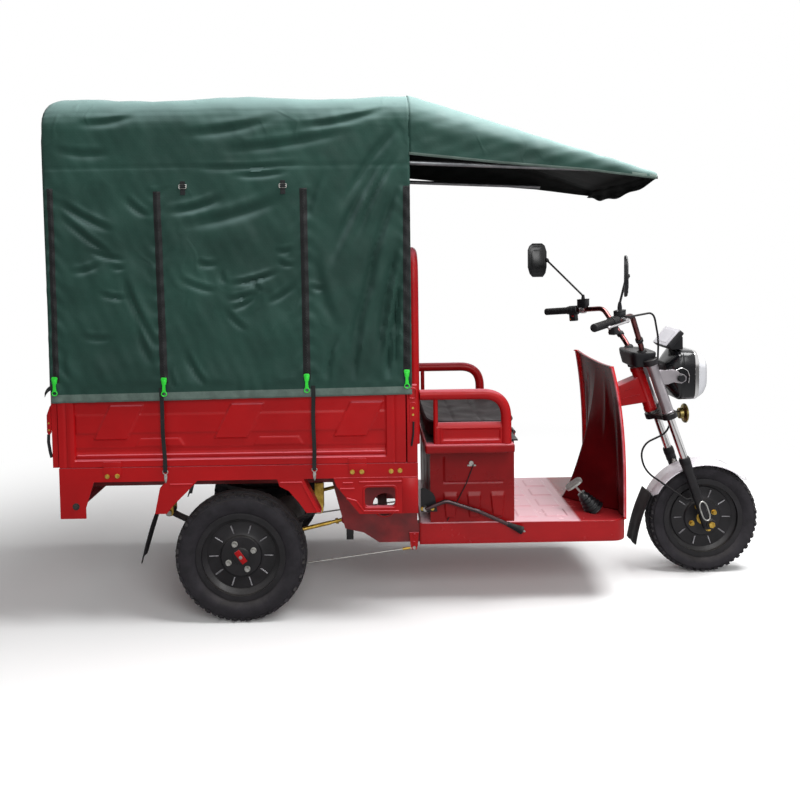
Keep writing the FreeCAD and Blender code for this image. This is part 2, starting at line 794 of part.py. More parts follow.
def build_gates():
    height = gate_top_z - gate_low_z
    length = headboard_x - gate_gap - bed_rear_x
    leaves = [gate_panel(length, height)]
    for share in hinge_shares:
        middle = length * share
        leaves.append(block(middle - hinge_l / 2, middle + hinge_l / 2, -hinge_t, 0, -hinge_l / 2,
                            hinge_t * 2))
    panel = placed(joined(leaves), bed_rear_x, -bed_half_w, gate_low_z)
    save("side_gate_right", panel)
    save("side_gate_left", mirrored(panel))
    tail_half = bed_half_w - hinge_t
    tail = gate_panel(tail_half * 2, height)
    tail.rotate(vec(0, 0, 0), vec(0, 0, 1), -90)
    tail = placed(tail, tail_x, tail_half, gate_low_z)
    latch = block(tail_x - latch_t, tail_x, -tail_half, -tail_half + latch_w, latch_low_z, latch_top_z)
    barrels = [pin_hinge(tail_hinge_x, tail_hinge_z, y, tail_x + field_depth, gate_low_z + hinge_t,
                         bed_rear_x)[0] for y in tail_hinge_ys]
    save("tailgate", joined([tail, latch, mirrored(latch)] + barrels))
    board = block(headboard_x, headboard_x + headboard_t, -bed_half_w + post_w, bed_half_w - post_w,
                  deck_top_z, gate_top_z)
    post = block(headboard_x, bed_front_x, -bed_half_w, -bed_half_w + post_w, deck_top_z, gate_top_z)
    save("headboard", joined([board, post, mirrored(post)]))


def build_under_panels():
    rear = bed_rear_x
    side = plate_xz([(rear, deck_skirt_z), (rear, panel_low_z), (rear + lamp_panel_l, panel_low_z),
                     (rear + lamp_panel_l, panel_low_z + rail_w),
                     (rear + lamp_panel_l * 4 / 3, deck_skirt_z)], -bed_half_w, -bed_half_w + panel_t)
    back = block(rear, rear + panel_t, -bed_half_w, bed_half_w, panel_low_z, deck_skirt_z)
    low = block(rear, rear + lamp_panel_l / 3, -bed_half_w, bed_half_w, panel_low_z,
                panel_low_z + panel_t)
    lamps = []
    bays = []
    for edge in (-1, 1):
        y0 = edge * (bed_half_w - lamp_w / 2 - lamp_inset) - lamp_w / 2
        z0 = (panel_low_z + deck_skirt_z) / 2 - lamp_h / 2
        lamps.append(block(rear - lamp_t, rear + lamp_depth, y0, y0 + lamp_w, z0, z0 + lamp_h))
        bays.append(block(rear - cut_over, rear + lamp_depth, y0 - seat_gap, y0 + lamp_w + seat_gap,
                          z0 - seat_gap, z0 + lamp_h + seat_gap))
    save("rear_lamp_panel", joined([side, mirrored(side), back, low]).cut(Part.makeCompound(bays)))
    save("tail_lamps", *lamps)
    start = bed_front_x - front_panel_l
    foot = start + front_panel_l * front_panel_low_share
    front = plate_xz([(start, deck_skirt_z), (start + gate_t / 2, deck_skirt_z - lamp_depth),
                      (foot, panel_low_z), (bed_front_x, panel_low_z), (bed_front_x, deck_skirt_z)],
                     -bed_half_w, -bed_half_w + gate_t)
    sides = [start + front_panel_l * share for share in window_shares]
    window = block(sides[0], sides[1], -bed_half_w - cut_over, -bed_half_w + gate_t + cut_over,
                   window_z0, window_z1)
    corners = [edge for edge in window.Edges if abs(edge.Vertexes[0].X - edge.Vertexes[1].X)
               + abs(edge.Vertexes[0].Z - edge.Vertexes[1].Z) < seat_gap]
    save("front_panels", *both_sides(front.cut(window.makeFillet(window_r, corners))))
    inward = -bed_half_w + bracket_depth
    legs = []
    for outline in (rear_leg_outline, front_leg_outline):
        corners = [(x, deck_skirt_z - drop) for x, drop in outline]
        legs += both_sides(plate_xz(corners, -bed_half_w, inward))
    save("fender_brackets", *legs)
    foot_x, foot_drop = rear_leg_outline[0]
    lean = (rear_leg_outline[1][0] - foot_x) / foot_drop
    foot_x -= seat_gap
    foot_z = deck_skirt_z - foot_drop
    flap = plate_xz([(foot_x, foot_z), (foot_x + lean * flap_lap, foot_z + flap_lap),
                     (foot_x + lean * flap_lap - flap_t, foot_z + flap_lap), (foot_x - flap_t, foot_z),
                     (foot_x - flap_sweep - flap_t, flap_low_z), (foot_x - flap_sweep, flap_low_z)],
                    -bed_half_w + flap_inset, -bed_half_w + flap_inset + flap_w)
    save("rear_mud_flaps", *both_sides(flap))


# Driver's floor, seat box and seat
def pan_outline(inset):
    side = pan_half_w - inset
    front = pan_front_x - inset
    rear = pan_rear_x - (cut_over if inset else 0)
    turn = pan_front_x - pan_corner_r
    return [(rear, -side), (turn, -side), (front, -pan_half_w + pan_corner_r),
            (front, pan_half_w - pan_corner_r), (turn, side), (rear, side)]


def build_floor():
    pan = plate_xy(pan_outline(0), pan_skirt_z, pan_top_z)
    pan = pan.cut(plate_xy(pan_outline(pan_sheet), pan_skirt_z - cut_over, pan_top_z - pan_sheet))
    ribs = [pan]
    for x0, x1 in tread_run_shares:
        for y0, y1 in tread_row_shares:
            ribs.append(block(box_front_x + footwell_l * x0, box_front_x + footwell_l * x1,
                              -pan_half_w + pan_half_w * 2 * y0, -pan_half_w + pan_half_w * 2 * y1,
                              pan_top_z - pan_sheet, pan_top_z + tread_rise))
    save("floor_pan", joined(ribs))


# Pressing of the seat box's right side: three pockets and a groove with a corner in it
def box_pressing():
    length = box_front_x - box_rear_x
    height = box_top_z - pan_top_z
    y0 = -box_half_w - cut_over
    y1 = -box_half_w + box_press_depth
    cuts = []
    taper = length * pocket_taper_share
    low, high = [pan_top_z + height * share for share in pocket_rise_shares]
    for share in pocket_shares:
        left = box_rear_x + length * share
        right = left + length * pocket_w_share
        cuts.append(plate_xz([(left - taper, low), (right + taper, low), (right, high), (left, high)],
                             y0, y1))
    left, right = [box_rear_x + length * share for share in slot_run_shares]
    low, high = [pan_top_z + height * share for share in slot_rise_shares]
    cuts.append(plate_xz([(left, low), (right, low), (right, low + slot_w), (left + slot_w, low + slot_w),
                          (left + slot_w, high), (left, high)], y0, y1))
    return Part.makeCompound(cuts)


def build_seat():
    shell = block(box_rear_x, box_front_x, -box_half_w, box_half_w, pan_top_z, box_top_z + rim_t)
    for cut in both_sides(box_pressing()):
        shell = shell.cut(cut)
    rim_half = arm_y + seat_rim_over
    ring = block(box_rear_x - seat_rim_back, box_front_x - seat_rim_front, -rim_half, rim_half,
                 box_top_z, rim_top_z)
    well = block(box_rear_x + box_sheet, box_front_x - box_sheet, -box_half_w + box_sheet,
                 box_half_w - box_sheet, pan_top_z + box_sheet, rim_top_z + cut_over)
    ears = []
    straps = []
    for y in (-seat_hinge_y, seat_hinge_y):
        strap, ear = pin_hinge(hinge_x, hinge_z, y, cushion_front_x - moving_gap, hinge_z - seat_pan_t
                               + seat_gap, box_front_x)
        straps.append(strap)
        ears.append(ear)
    save("battery_box", joined([shell.fuse(ring).cut(well)] + ears))
    middle = (box_rear_x + box_front_x) / 2
    low = pan_top_z + box_sheet
    save("battery", block(middle - battery_l / 2, middle + battery_l / 2, -box_half_w + battery_gap,
                          box_half_w - battery_gap, low, low + battery_h))
    low = rim_top_z + seat_gap
    pan = block(cushion_rear_x, cushion_front_x, -cushion_half_w, cushion_half_w, low, low + seat_pan_t)
    save("seat_pan", joined([pan] + straps))
    low = low + seat_pan_t + seat_gap
    pad = block(cushion_rear_x, cushion_front_x, -cushion_half_w, cushion_half_w, low, cushion_top_z)
    upper = [edge for edge in pad.Edges if min(v.Z for v in edge.Vertexes) > cushion_top_z - seat_gap]
    save("seat_cushion", pad.makeFillet(cushion_round, upper))
    build_seat_frame()


def build_seat_frame():
    top = arm_top_z - arm_tube_r
    front = arm_front_x - arm_tube_r
    arm = pipe([vec(hoop_x + hoop_tube_r + seat_gap, -arm_y, top), vec(front, -arm_y, top),
                vec(front, -arm_y, rim_top_z)], arm_tube_r, arm_bend_r)
    post_x = box_rear_x + arm_post_r * 2
    post = Part.makeCylinder(arm_post_r, top - rim_top_z, vec(post_x, -arm_y, rim_top_z))
    side = block(post_x, front, -arm_y - tub_side_t / 2, -arm_y + tub_side_t / 2, rim_top_z,
                 tub_side_top_z)
    field = block(post_x + tub_field_inset, front - tub_field_inset, -arm_y - tub_side_t,
                  -arm_y - tub_side_t / 2 + tub_field_depth, rim_top_z + tub_field_inset / 2,
                  tub_side_top_z - tub_field_inset / 2)
    save("seat_frame", *both_sides(joined([arm, post, side.cut(field)])))
    top_z = hoop_top_z - hoop_tube_r
    hoop = pipe([vec(hoop_x, -arm_y, hoop_foot_z), vec(hoop_x, -arm_y, top_z), vec(hoop_x, arm_y, top_z),
                 vec(hoop_x, arm_y, hoop_foot_z)], hoop_tube_r, hoop_bend_r)
    save("backrest_hoop", hoop)


# Leg shield: level sections from its foot to its top, each with two edges, two hollows and a ridge
def build_shield():
    sections = []
    edge_x = pan_front_x - shield_edge_in
    ridge_x = pan_front_x - shield_ridge_in
    curl = shield_top_in - shield_edge_in
    for share in shield_level_shares:
        z = pan_top_z + (shield_top_z - pan_top_z) * share
        edge = edge_x - curl * share ** shield_curl_share
        ridge = ridge_x + (edge - ridge_x) * share ** shield_ridge_share
        half = (pan_half_w + shield_over) * (1 - share ** shield_curl_share * shield_taper_share)
        hollow = edge - shield_sheet
        front = [(-half, edge), (-half * hollow_share, edge), (0, ridge + shield_sheet),
                 (half * hollow_share, edge), (half, edge)]
        back = [(half, hollow), (half * hollow_share, hollow), (0, ridge), (-half * hollow_share, hollow),
                (-half, hollow)]
        corners = [vec(x, y, z) for y, x in front + back]
        sections.append(Part.makePolygon(corners + corners[:1]))
    save("leg_shield", Part.makeLoft(sections, True, True))


def build_neck():
    head = rod(head_point(head_low_z), head_point(head_top_z), head_tube_r)
    neck = plate_xz([(head_x(neck_top_z), neck_top_z), (neck_rear_x, neck_top_z - rail_w),
                     (neck_rear_x, neck_low_z), (head_x(neck_low_z), neck_low_z + rail_w / 2)],
                    -neck_half_w, neck_half_w)
    foot_x = pan_front_x - pan_corner_r - rail_w - cross_l / 2
    tube = pipe([vec(neck_rear_x + down_tube_r, 0, (neck_top_z + neck_low_z) / 2),
                 vec(neck_rear_x - rail_w, 0, neck_low_z - rail_w), vec(foot_x, 0, pan_top_z)],
                down_tube_r, rail_h)
    stem = rod(head_point(head_low_z) - steer_up * cut_over, head_point(head_top_z) + steer_up * cut_over,
               stem_r + seat_gap)
    under = block(foot_x - rail_h, foot_x + rail_h, -rail_h, rail_h, pan_skirt_z, pan_top_z)
    save("neck_frame", joined([head, neck, tube]).cut(stem).cut(under))


# Fork, handlebar and everything else that steers
def build_fork():
    legs = []
    for side in (-1, 1):
        legs.append(rod(leg_point(front_tyre_r - slider_r, side), leg_point(slider_top_z, side), slider_r))
        legs.append(rod(leg_point(slider_top_z, side), leg_point(fork_top_z, side), stanchion_r))
    legs.append(Part.makeCylinder(axle_r, fork_half_w * 2, vec(wheelbase, -fork_half_w, front_tyre_r),
                                  vec(0, 1, 0)))
    save("fork_legs", joined(legs))
    clamps = []
    low_base = head_point(head_low_z) - steer_up * (moving_gap + clamp_t)
    top_base = head_point(head_top_z) + steer_up * moving_gap
    for base in (low_base, top_base):
        bar = Part.makeBox(head_offset, fork_half_w * 2, clamp_t, vec(0, -fork_half_w, 0))
        bar.rotate(vec(0, 0, 0), vec(0, 1, 0), -rake_deg)
        bar.translate(base)
        pieces = [bar, Part.makeCylinder(clamp_r, clamp_t, base, steer_up)]
        for side in (-1, 1):
            eye = base + steer_ahead * head_offset + vec(0, side * fork_half_w, 0)
            pieces.append(Part.makeCylinder(clamp_r, clamp_t, eye, steer_up))
        clamp = joined(pieces)
        for side in (-1, 1):
            clamp = clamp.cut(rod(leg_point(front_tyre_r, side), leg_point(fork_top_z + rail_h, side),
                                  stanchion_r + seat_gap))
        clamps.append(clamp)
    stem = rod(low_base + steer_up * clamp_t, top_base - steer_up * seat_gap, stem_r)
    save("fork_clamps", clamps[0].fuse(stem).removeSplitter(), clamps[1])
    shrouds = []
    low = (low_base + steer_up * (clamp_t + shroud_gap)).z + head_offset * math.sin(rake)
    high = (top_base - steer_up * shroud_gap).z + head_offset * math.sin(rake)
    for side in (-1, 1):
        sleeve = rod(leg_point(low, side), leg_point(high, side), shroud_r)
        ear_y = side * (lamp_body_half_w * lamp_shell_share + seat_gap + ear_t / 2)
        ear = block(leg_x(headlamp_z), headlamp_x + lamp_body_l * ear_share, ear_y - ear_t / 2,
                    ear_y + ear_t / 2, headlamp_z - ear_h / 2, headlamp_z + ear_h / 2)
        bore = rod(leg_point(low - cut_over, side), leg_point(high + cut_over, side),
                   stanchion_r + seat_gap)
        shrouds.append(joined([sleeve, ear]).cut(bore))
    save("fork_shrouds", *shrouds)
    return low_base, top_base


def build_handlebar(top_base):
    foot = top_base + steer_up * (clamp_t + seat_gap) + steer_ahead * (head_offset / 2)
    foot = vec(foot.x, -bar_foot_y, foot.z)
    knee = foot + steer_up * ((bar_knee_z - foot.z) / steer_up.z)
    knee = vec(knee.x, -bar_knee_y, knee.z)
    half = [foot, foot + steer_up * bar_riser_l, knee,
            vec(wheelbase - bar_bend_back, -bar_bend_y, bar_bend_z),
            vec(wheelbase - bar_end_back, -bar_end_y, bar_end_z)]
    bar = pipe(half, bar_r, bar_bend_r)
    save("handlebar", *both_sides(bar))
    inner, end = half[-2], half[-1]
    along = (inner - end).normalize()
    grip = rod(end - along * grip_cap, end + along * grip_l, grip_r)
    grip = grip.cut(rod(end - along * seat_gap, end + along * (grip_l + cut_over), bar_r + seat_gap))
    save("grips", *both_sides(grip))
    start = end + along * (grip_l + seat_gap)
    stop = start + along * cluster_l
    tank_at = stop + along * (reservoir_l / 2)
    out = vec(along.y, -along.x, 0).normalize()
    tank = block(-reservoir_w / 2, reservoir_w / 2, -reservoir_l / 2, reservoir_l / 2, 0,
                 bar_r + reservoir_h)
    tank.rotate(vec(0, 0, 0), vec(0, 0, 1), math.degrees(math.atan2(along.y, along.x)) - 90)
    tank.translate(tank_at)
    reach = out * (grip_r + lever_reach)
    lever = pipe([tank_at, tank_at + reach * lever_knee_share, stop + reach,
                  end + reach + along * cluster_l / 2], lever_r, bar_bend_r)
    hand = joined([rod(start, stop, cluster_r), tank, lever])
    hand = hand.cut(rod(start - along * cut_over, tank_at + along * reservoir_l, bar_r + seat_gap))
    save("hand_controls", *both_sides(hand))
    foot = tank_at + vec(0, 0, bar_r + reservoir_h + seat_gap)
    far_x = wheelbase - mirror_back
    stem = pipe([foot, foot + vec(0, 0, reservoir_h), vec(far_x + mirror_w / 2, -mirror_y, mirror_z)],
                mirror_stem_r, bar_bend_r)
    head = plate_xz([(x * mirror_w, z * mirror_h) for x, z in mirror_outline_shares],
                    -mirror_t / 2, mirror_t / 2)
    mirror = joined([stem, placed(head, far_x, -mirror_y, mirror_z)])
    turned = head.copy()
    turned.rotate(vec(0, 0, 0), vec(0, 0, 1), near_mirror_turn_deg)
    near_at = vec(wheelbase - near_mirror_back, foot.y - mirror_w / 4, near_mirror_z)
    near_stem = pipe([foot, foot + vec(0, 0, reservoir_h), near_at], mirror_stem_r, bar_bend_r)
    near = joined([near_stem, placed(turned, near_at.x, near_at.y, near_at.z)])
    save("mirrors", near, mirrored(mirror))
    return tank_at + out * (reservoir_w / 2 + seat_gap) + vec(0, 0, reservoir_h / 2), out


# The front brake hose, from the lever's cylinder past the lamp to the right fork leg
def build_hose(start, out):
    seat = leg_point(hose_seat_z, -1) - steer_ahead * (slider_r + seat_gap)
    points = [start, start + out * hose_lead]
    points += [vec(wheelbase - back, y, z) for back, y, z in hose_route]
    points += [seat - steer_ahead * hose_lead, seat]
    save("front_brake_hose", pipe(points, hose_r, hose_bend_r))


# A solid with one outline seen from the side and another seen from above, as shares of the
# headlamp's length, height and half width
def faceted(side_shares, plan_shares):
    side = plate_xz([(x * lamp_body_l, z * lamp_body_h) for x, z in side_shares], -lamp_body_half_w,
                    lamp_body_half_w)
    edge = [(x * lamp_body_l, y * lamp_body_half_w) for x, y in plan_shares]
    plan = plate_xy(edge + [(x, -y) for x, y in reversed(edge)], -lamp_body_h, lamp_body_h)
    return placed(side.common(plan), headlamp_x, 0, headlamp_z)


def build_head_parts(low_base, top_base):
    shells = []
    for inset in (0, cover_sheet):
        rear = wheelbase - cover_rear_back + inset
        front = wheelbase - cover_front_back - inset
        low = cover_z0 - (cover_over if inset else 0)
        top = cover_z1 - inset
        shells.append(plate_xz([(rear, low), (rear, top - cover_slope), (rear + cover_slope, top),
                                (front - cover_slope / 2, top), (front, top - cover_slope / 2), (front, low)],
                               -cover_half_w + inset, cover_half_w - inset))
    cover = shells[0].cut(shells[1])
    for side in (-1, 1):
        hole = rod(top_base + vec(0, side * bar_foot_y, 0) + steer_ahead * (head_offset / 2),
                   top_base + vec(0, side * bar_foot_y, 0) + steer_ahead * (head_offset / 2)
                   + steer_up * (clamp_t * 4), bar_r * 2)
        cover = cover.cut(hole)
    save("steering_cover", cover)
    save("headlamp_body", faceted(lamp_body_side_shares, lamp_body_plan_shares))
    save("headlamp_lens", faceted(lens_side_shares, lens_plan_shares))
    dash = block(-dash_l / 2, dash_l / 2, -dash_w / 2, dash_w / 2, -dash_t / 2, dash_t / 2)
    dash.rotate(vec(0, 0, 0), vec(0, 1, 0), -dash_tilt_deg)
    dash = placed(dash, dash_x, 0, dash_z)
    stalk_x = headlamp_x + lamp_body_l * ear_share
    stalk_z = headlamp_z + lamp_body_h / 2 + seat_gap
    stalk = plate_xz([(stalk_x, stalk_z), (stalk_x + dash_t, stalk_z), (dash_x + dash_t / 2, dash_z),
                      (dash_x, dash_z)], -dash_t / 2, dash_t / 2)
    save("dash", joined([dash, stalk]))
    horn = Part.makeCone(horn_r / 2, horn_r, horn_t, vec(horn_x - horn_t, 0, horn_z), vec(1, 0, 0))
    mount = low_base + steer_ahead * (head_offset + seat_gap) + steer_up * (clamp_t / 2)
    arm = pipe([mount, mount + steer_ahead * clamp_t, vec(horn_x - horn_t / 2, 0, horn_z)], lever_r,
               clamp_t)
    save("horn", joined([horn, arm]))


def build_fender():
    inner_r = front_tyre_r + fender_gap
    half = fender_w / 2
    lip_r = inner_r - fender_drop
    mid_r = inner_r - fender_drop / 4
    line = [(lip_r, -half), (mid_r, -half / 2), (inner_r, 0), (mid_r, half / 2), (lip_r, half)]
    line += [(r + fender_t, y) for r, y in reversed(line)]
    face = closed_face([vec(r, y, 0) for r, y in line])
    arch = face.revolve(vec(0, 0, 0), vec(0, 1, 0), fender_rear_deg - fender_front_deg)
    arch.rotate(vec(0, 0, 0), vec(0, 1, 0), -fender_rear_deg)
    arch = placed(arch, wheelbase, 0, front_tyre_r)
    stays = []
    stay_z = slider_top_z - slider_r
    reach = fork_half_w - slider_r - seat_gap
    for y0, y1 in ((-reach, -half + fender_t * 2), (half - fender_t * 2, reach)):
        stays.append(block(leg_x(stay_z) - stay_t, leg_x(stay_z) + stay_t, y0, y1,
                           stay_z - stay_t * 4, stay_z))
    save("front_fender", joined([arch] + stays))
    angle = math.radians(fender_rear_deg)
    end_x = wheelbase + (inner_r + fender_t) * math.cos(angle)
    end_z = front_tyre_r + (inner_r + fender_t) * math.sin(angle)
    end_x -= seat_gap
    low_x = wheelbase - front_flap_low_back
    lean = (end_x - low_x) / (end_z - front_flap_low_z)
    flap = plate_xz([(end_x + lean * flap_t * 2, end_z + flap_t * 2),
                     (end_x + lean * flap_t * 2 - flap_t, end_z + flap_t * 2),
                     (low_x - flap_t, front_flap_low_z), (low_x, front_flap_low_z)], -half, half)
    save("front_mud_flap", flap)


# Canopy cloth and its bows
def roof_line(inset, low_z, drop):
    half = cloth_side_y - inset
    shoulder_z = canopy_shoulder_z - inset
    round_r = canopy_shoulder_in
    left = [(-half, low_z)]
    for step in range(shoulder_steps + 1):
        angle = math.pi / 2 * step / shoulder_steps
        left.append((-half + round_r * (1 - math.cos(angle)), shoulder_z - round_r * (1 - math.sin(angle))))
    line = left + [(0, canopy_top_z - inset)] + [(-y, z) for y, z in reversed(left)]
    span = canopy_top_z - canopy_eaves_z
    return [(y, z - drop * max(z - canopy_eaves_z, 0) / span) for y, z in line]


def visor_tip(inset):
    half = cloth_side_y - inset
    rise = visor_tip_z - visor_tip_low_z
    left = [(-half, visor_tip_low_z)]
    for step in range(shoulder_steps + 1):
        angle = math.pi / 2 * step / shoulder_steps
        left.append((-half + rise * (1 - math.cos(angle)), visor_tip_low_z + inset / 2
                     + (rise - inset * 3 / 2) * (step + 1) / (shoulder_steps + 1)))
    return left + [(0, visor_tip_z - inset)] + [(-y, z) for y, z in reversed(left)]


def cloth_wire(x, outer, inner):
    corners = [vec(x, y, z) for y, z in outer + inner[::-1]]
    return Part.makePolygon(corners + corners[:1])


def build_canopy():
    wires = []
    for at, share in corner_steps:
        drop = corner_drop * share
        wires.append(cloth_wire(cloth_rear_x + corner_l * at, roof_line(0, canopy_eaves_z, drop),
                                roof_line(cloth_t, canopy_eaves_z, drop)))
    flat = [roof_line(inset, canopy_eaves_z, 0) for inset in (0, cloth_t)]
    wires.append(cloth_wire(cloth_front_x, flat[0], flat[1]))
    save("canopy_roof", Part.makeLoft(wires, True, True))
    side = block(cloth_rear_x, cloth_front_x, -cloth_side_y, -cloth_side_y + cloth_t, hem_z,
                 canopy_eaves_z)
    save("canopy_side_right", side)
    save("canopy_side_left", mirrored(side))
    inset = cloth_t + seat_gap
    save("canopy_rear_curtain", plate_yz(roof_line(inset, rear_hem_z, corner_drop), cloth_rear_x,
                                         cloth_rear_x + cloth_t))
    front_x = front_bow_x - bow_r - seat_gap
    save("canopy_front_curtain", plate_yz(roof_line(inset, rear_hem_z, 0), front_x - cloth_t, front_x))
    hem = canopy_top_z - visor_hem_drop
    visor = Part.makeLoft([cloth_wire(cloth_front_x, roof_line(0, hem, 0), roof_line(cloth_t, hem, 0)),
                           cloth_wire(visor_front_x, visor_tip(0), visor_tip(cloth_t))], True, True)
    low = visor_tip_low_z - visor_flap_lip
    sag = [(-cloth_side_y * y, low - visor_flap_drop * share) for y, share in visor_flap_shares]
    flap = plate_yz(visor_tip(cloth_t / 2) + sag, visor_front_x - cloth_t, visor_front_x)
    save("canopy_visor", joined([visor, flap]))


def build_bows():
    low = deck_top_z
    half = bed_half_w - gate_t - bow_r - gate_gap
    crown = canopy_top_z - cloth_t - seat_gap - bow_r
    fall = (canopy_top_z - canopy_shoulder_z) / (cloth_side_y - canopy_shoulder_in)
    top = crown - half * fall
    bows = []
    for x in (cloth_rear_x + corner_l + seat_gap, (bed_rear_x + front_bow_x) / 2, front_bow_x):
        bows.append(pipe([vec(x, -half, low), vec(x, -half, top), vec(x, 0, crown), vec(x, half, top),
                          vec(x, half, low)], bow_r, bow_bend_r))
    for side in (-1, 1):
        start = vec(front_bow_x, side * half, canopy_top_z - visor_tube_drop)
        end = vec(wheelbase - visor_tube_end_back, side * half, canopy_top_z - visor_tube_end_drop)
        bows.append(rod(start, end, visor_tube_r))
    bows[2] = joined(bows[2:])
    save("canopy_bows", *bows[:3])
    straps = []
    for x in strap_xs:
        strap = block(x - strap_w / 2, x + strap_w / 2, -cloth_side_y - seat_gap - strap_t,
                      -cloth_side_y - seat_gap, deck_skirt_z, hem_z + strap_w * 3)
        straps += both_sides(strap)
    save("tie_straps", *straps)


def build_controls():
    pedal_y = -pan_half_w + pedal_y_inset
    pad_at = vec(pan_front_x - pedal_pad_in, pedal_y, pedal_pad_z)
    pad = block(-pedal_pad_l / 2, pedal_pad_l / 2, -pedal_pad_w / 2, pedal_pad_w / 2, -pedal_pad_t / 2,
                pedal_pad_t / 2)
    pad.rotate(vec(0, 0, 0), vec(0, 1, 0), -pedal_tilt_deg)
    foot = vec(pan_front_x - pedal_foot_in, pedal_y, pan_top_z + lever_r)
    save("brake_pedal", joined([placed(pad, pad_at.x, pad_at.y, pad_at.z), rod(pad_at, foot, lever_r)]))
    up = (pad_at - foot).normalize()
    boot = Part.makeCone(boot_low_r, boot_top_r, boot_h, foot - up * boot_low_r, up)
    boot = boot.cut(rod(foot - up * boot_h, foot + up * boot_h, lever_r + seat_gap))
    below = block(foot.x - boot_h, foot.x + boot_h, foot.y - boot_h, foot.y + boot_h,
                  pan_top_z - boot_h, pan_top_z + seat_gap)
    save("pedal_boot", boot.cut(below))
    plate_y = -box_half_w - park_plate_t
    plate_x = bed_front_x + park_ahead
    quadrant = plate_xz([(plate_x, park_low_z), (plate_x, park_low_z + park_plate_h),
                         (plate_x + park_plate_h / 2, park_low_z + park_plate_h * 3 / 4),
                         (plate_x + park_plate_h * 2 / 3, park_low_z)], plate_y, plate_y + park_plate_t)
    lever_y = -pan_half_w - park_rod_r - moving_gap
    points = [vec(plate_x + park_rod_r * 2, lever_y, park_low_z + park_rod_r * 2)]
    points += [vec(plate_x + ahead, lever_y, pan_top_z + rise) for ahead, rise in park_lever_route]
    end = points[-1]
    along = (end - points[-2]).normalize()
    pivot = Part.makeCylinder(park_rod_r, plate_y - lever_y, points[0], vec(0, 1, 0))
    save("parking_brake", joined([quadrant, pivot, pipe(points, park_rod_r, rail_w),
                                  rod(end, end + along * park_grip_l, park_grip_r)]))


def main():
    os.makedirs("parts", exist_ok=True)
    build_wheels()
    build_frame()
    build_axle()
    build_axle_links()
    build_deck()
    build_gates()
    build_under_panels()
    build_floor()
    build_seat()
    build_shield()
    build_neck()
    low_base, top_base = build_fork()
    hose_start, hose_out = build_handlebar(top_base)
    build_hose(hose_start, hose_out)
    build_head_parts(low_base, top_base)
    build_fender()
    build_canopy()
    build_bows()
    build_controls()


if __name__ == "__main__":
    main()
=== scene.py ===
import math
import bmesh
import bpy
import numpy as np
from mathutils import Matrix, Vector


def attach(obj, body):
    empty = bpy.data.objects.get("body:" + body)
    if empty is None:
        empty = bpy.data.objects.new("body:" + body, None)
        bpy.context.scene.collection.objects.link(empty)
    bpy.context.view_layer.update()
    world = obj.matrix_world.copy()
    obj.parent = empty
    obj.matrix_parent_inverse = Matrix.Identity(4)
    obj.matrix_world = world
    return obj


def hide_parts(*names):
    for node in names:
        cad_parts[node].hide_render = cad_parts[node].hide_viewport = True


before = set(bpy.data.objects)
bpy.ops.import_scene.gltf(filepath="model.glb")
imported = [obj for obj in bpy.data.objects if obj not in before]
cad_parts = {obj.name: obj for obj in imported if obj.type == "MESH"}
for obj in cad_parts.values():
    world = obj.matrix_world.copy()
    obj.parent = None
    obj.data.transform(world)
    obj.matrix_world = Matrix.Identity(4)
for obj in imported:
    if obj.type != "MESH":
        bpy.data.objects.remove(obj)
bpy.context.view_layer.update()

# An electric cargo three-wheeler: a red pressed steel bed and driver's floor, a dark green canvas hood.
# Metres. Places are written as measured: forward of the rear axle, to the vehicle's left, above ground.
midX = 0.7255                       # from the rear axle to the origin
frontAxle = (1.917, 0.235)          # the front wheel's axle, ahead and up


def at(x, y, z):
    return Vector((x - midX, y, z))


# camera and light

cameraValues = {"ahead": 0.494, "away": 3.5084, "height": 1.3976, "yaw": 0.0117, "pitch": 0.0548,
    "roll": 0.0135, "focalPixels": 828.84, "centre": (377.63, 296.09), "frame": 800.0}


def placeCamera(v):
    side = Vector((math.cos(v["yaw"]), -math.sin(v["yaw"]), 0))
    ahead = Vector((math.sin(v["yaw"]), math.cos(v["yaw"]), 0))
    down = Vector((0, 0, -math.sin(v["pitch"])))
    forward = ahead * math.cos(v["pitch"]) + down
    up = ahead * math.sin(v["pitch"]) + Vector((0, 0, math.cos(v["pitch"])))
    right = side * math.cos(v["roll"]) - up * math.sin(v["roll"])
    top = side * math.sin(v["roll"]) + up * math.cos(v["roll"])
    data = bpy.data.cameras.new("photoCamera")
    data.sensor_width = 36.0
    data.lens = v["focalPixels"] / v["frame"] * data.sensor_width
    data.shift_x = (v["frame"] / 2 - v["centre"][0]) / v["frame"]
    data.shift_y = (v["centre"][1] - v["frame"] / 2) / v["frame"]
    camera = bpy.data.objects.new("photoCamera", data)
    bpy.context.collection.objects.link(camera)
    turn = Matrix((right, top, -forward)).transposed().to_4x4()
    camera.matrix_world = Matrix.Translation((v["ahead"] - midX, -v["away"], v["height"])) @ turn
    bpy.context.scene.camera = camera


placeCamera(cameraValues)
bpy.context.scene.view_settings.view_transform = "Standard"


# small tools

def toLinear(code):
    parts = [int(code[i:i + 2], 16) / 255 for i in (1, 3, 5)]
    return tuple(c / 12.92 if c <= 0.04045 else ((c + 0.055) / 1.055) ** 2.4 for c in parts) + (1.0,)


def addNode(tree, kind, settings=None, links=None):
    node = tree.nodes.new(kind)
    for name, value in (settings or {}).items():
        if isinstance(name, int) or name in node.inputs:
            node.inputs[name].default_value = value
        else:
            setattr(node, name, value)
    for name, source in (links or {}).items():
        tree.links.new(source, node.inputs[name])
    return node


def reckon(tree, operation, a, b):
    # the sum, product or greater of two sockets
    return addNode(tree, "ShaderNodeMath", {"operation": operation}, {0: a, 1: b}).outputs[0]


def rng(seed):
    return np.random.default_rng(seed)


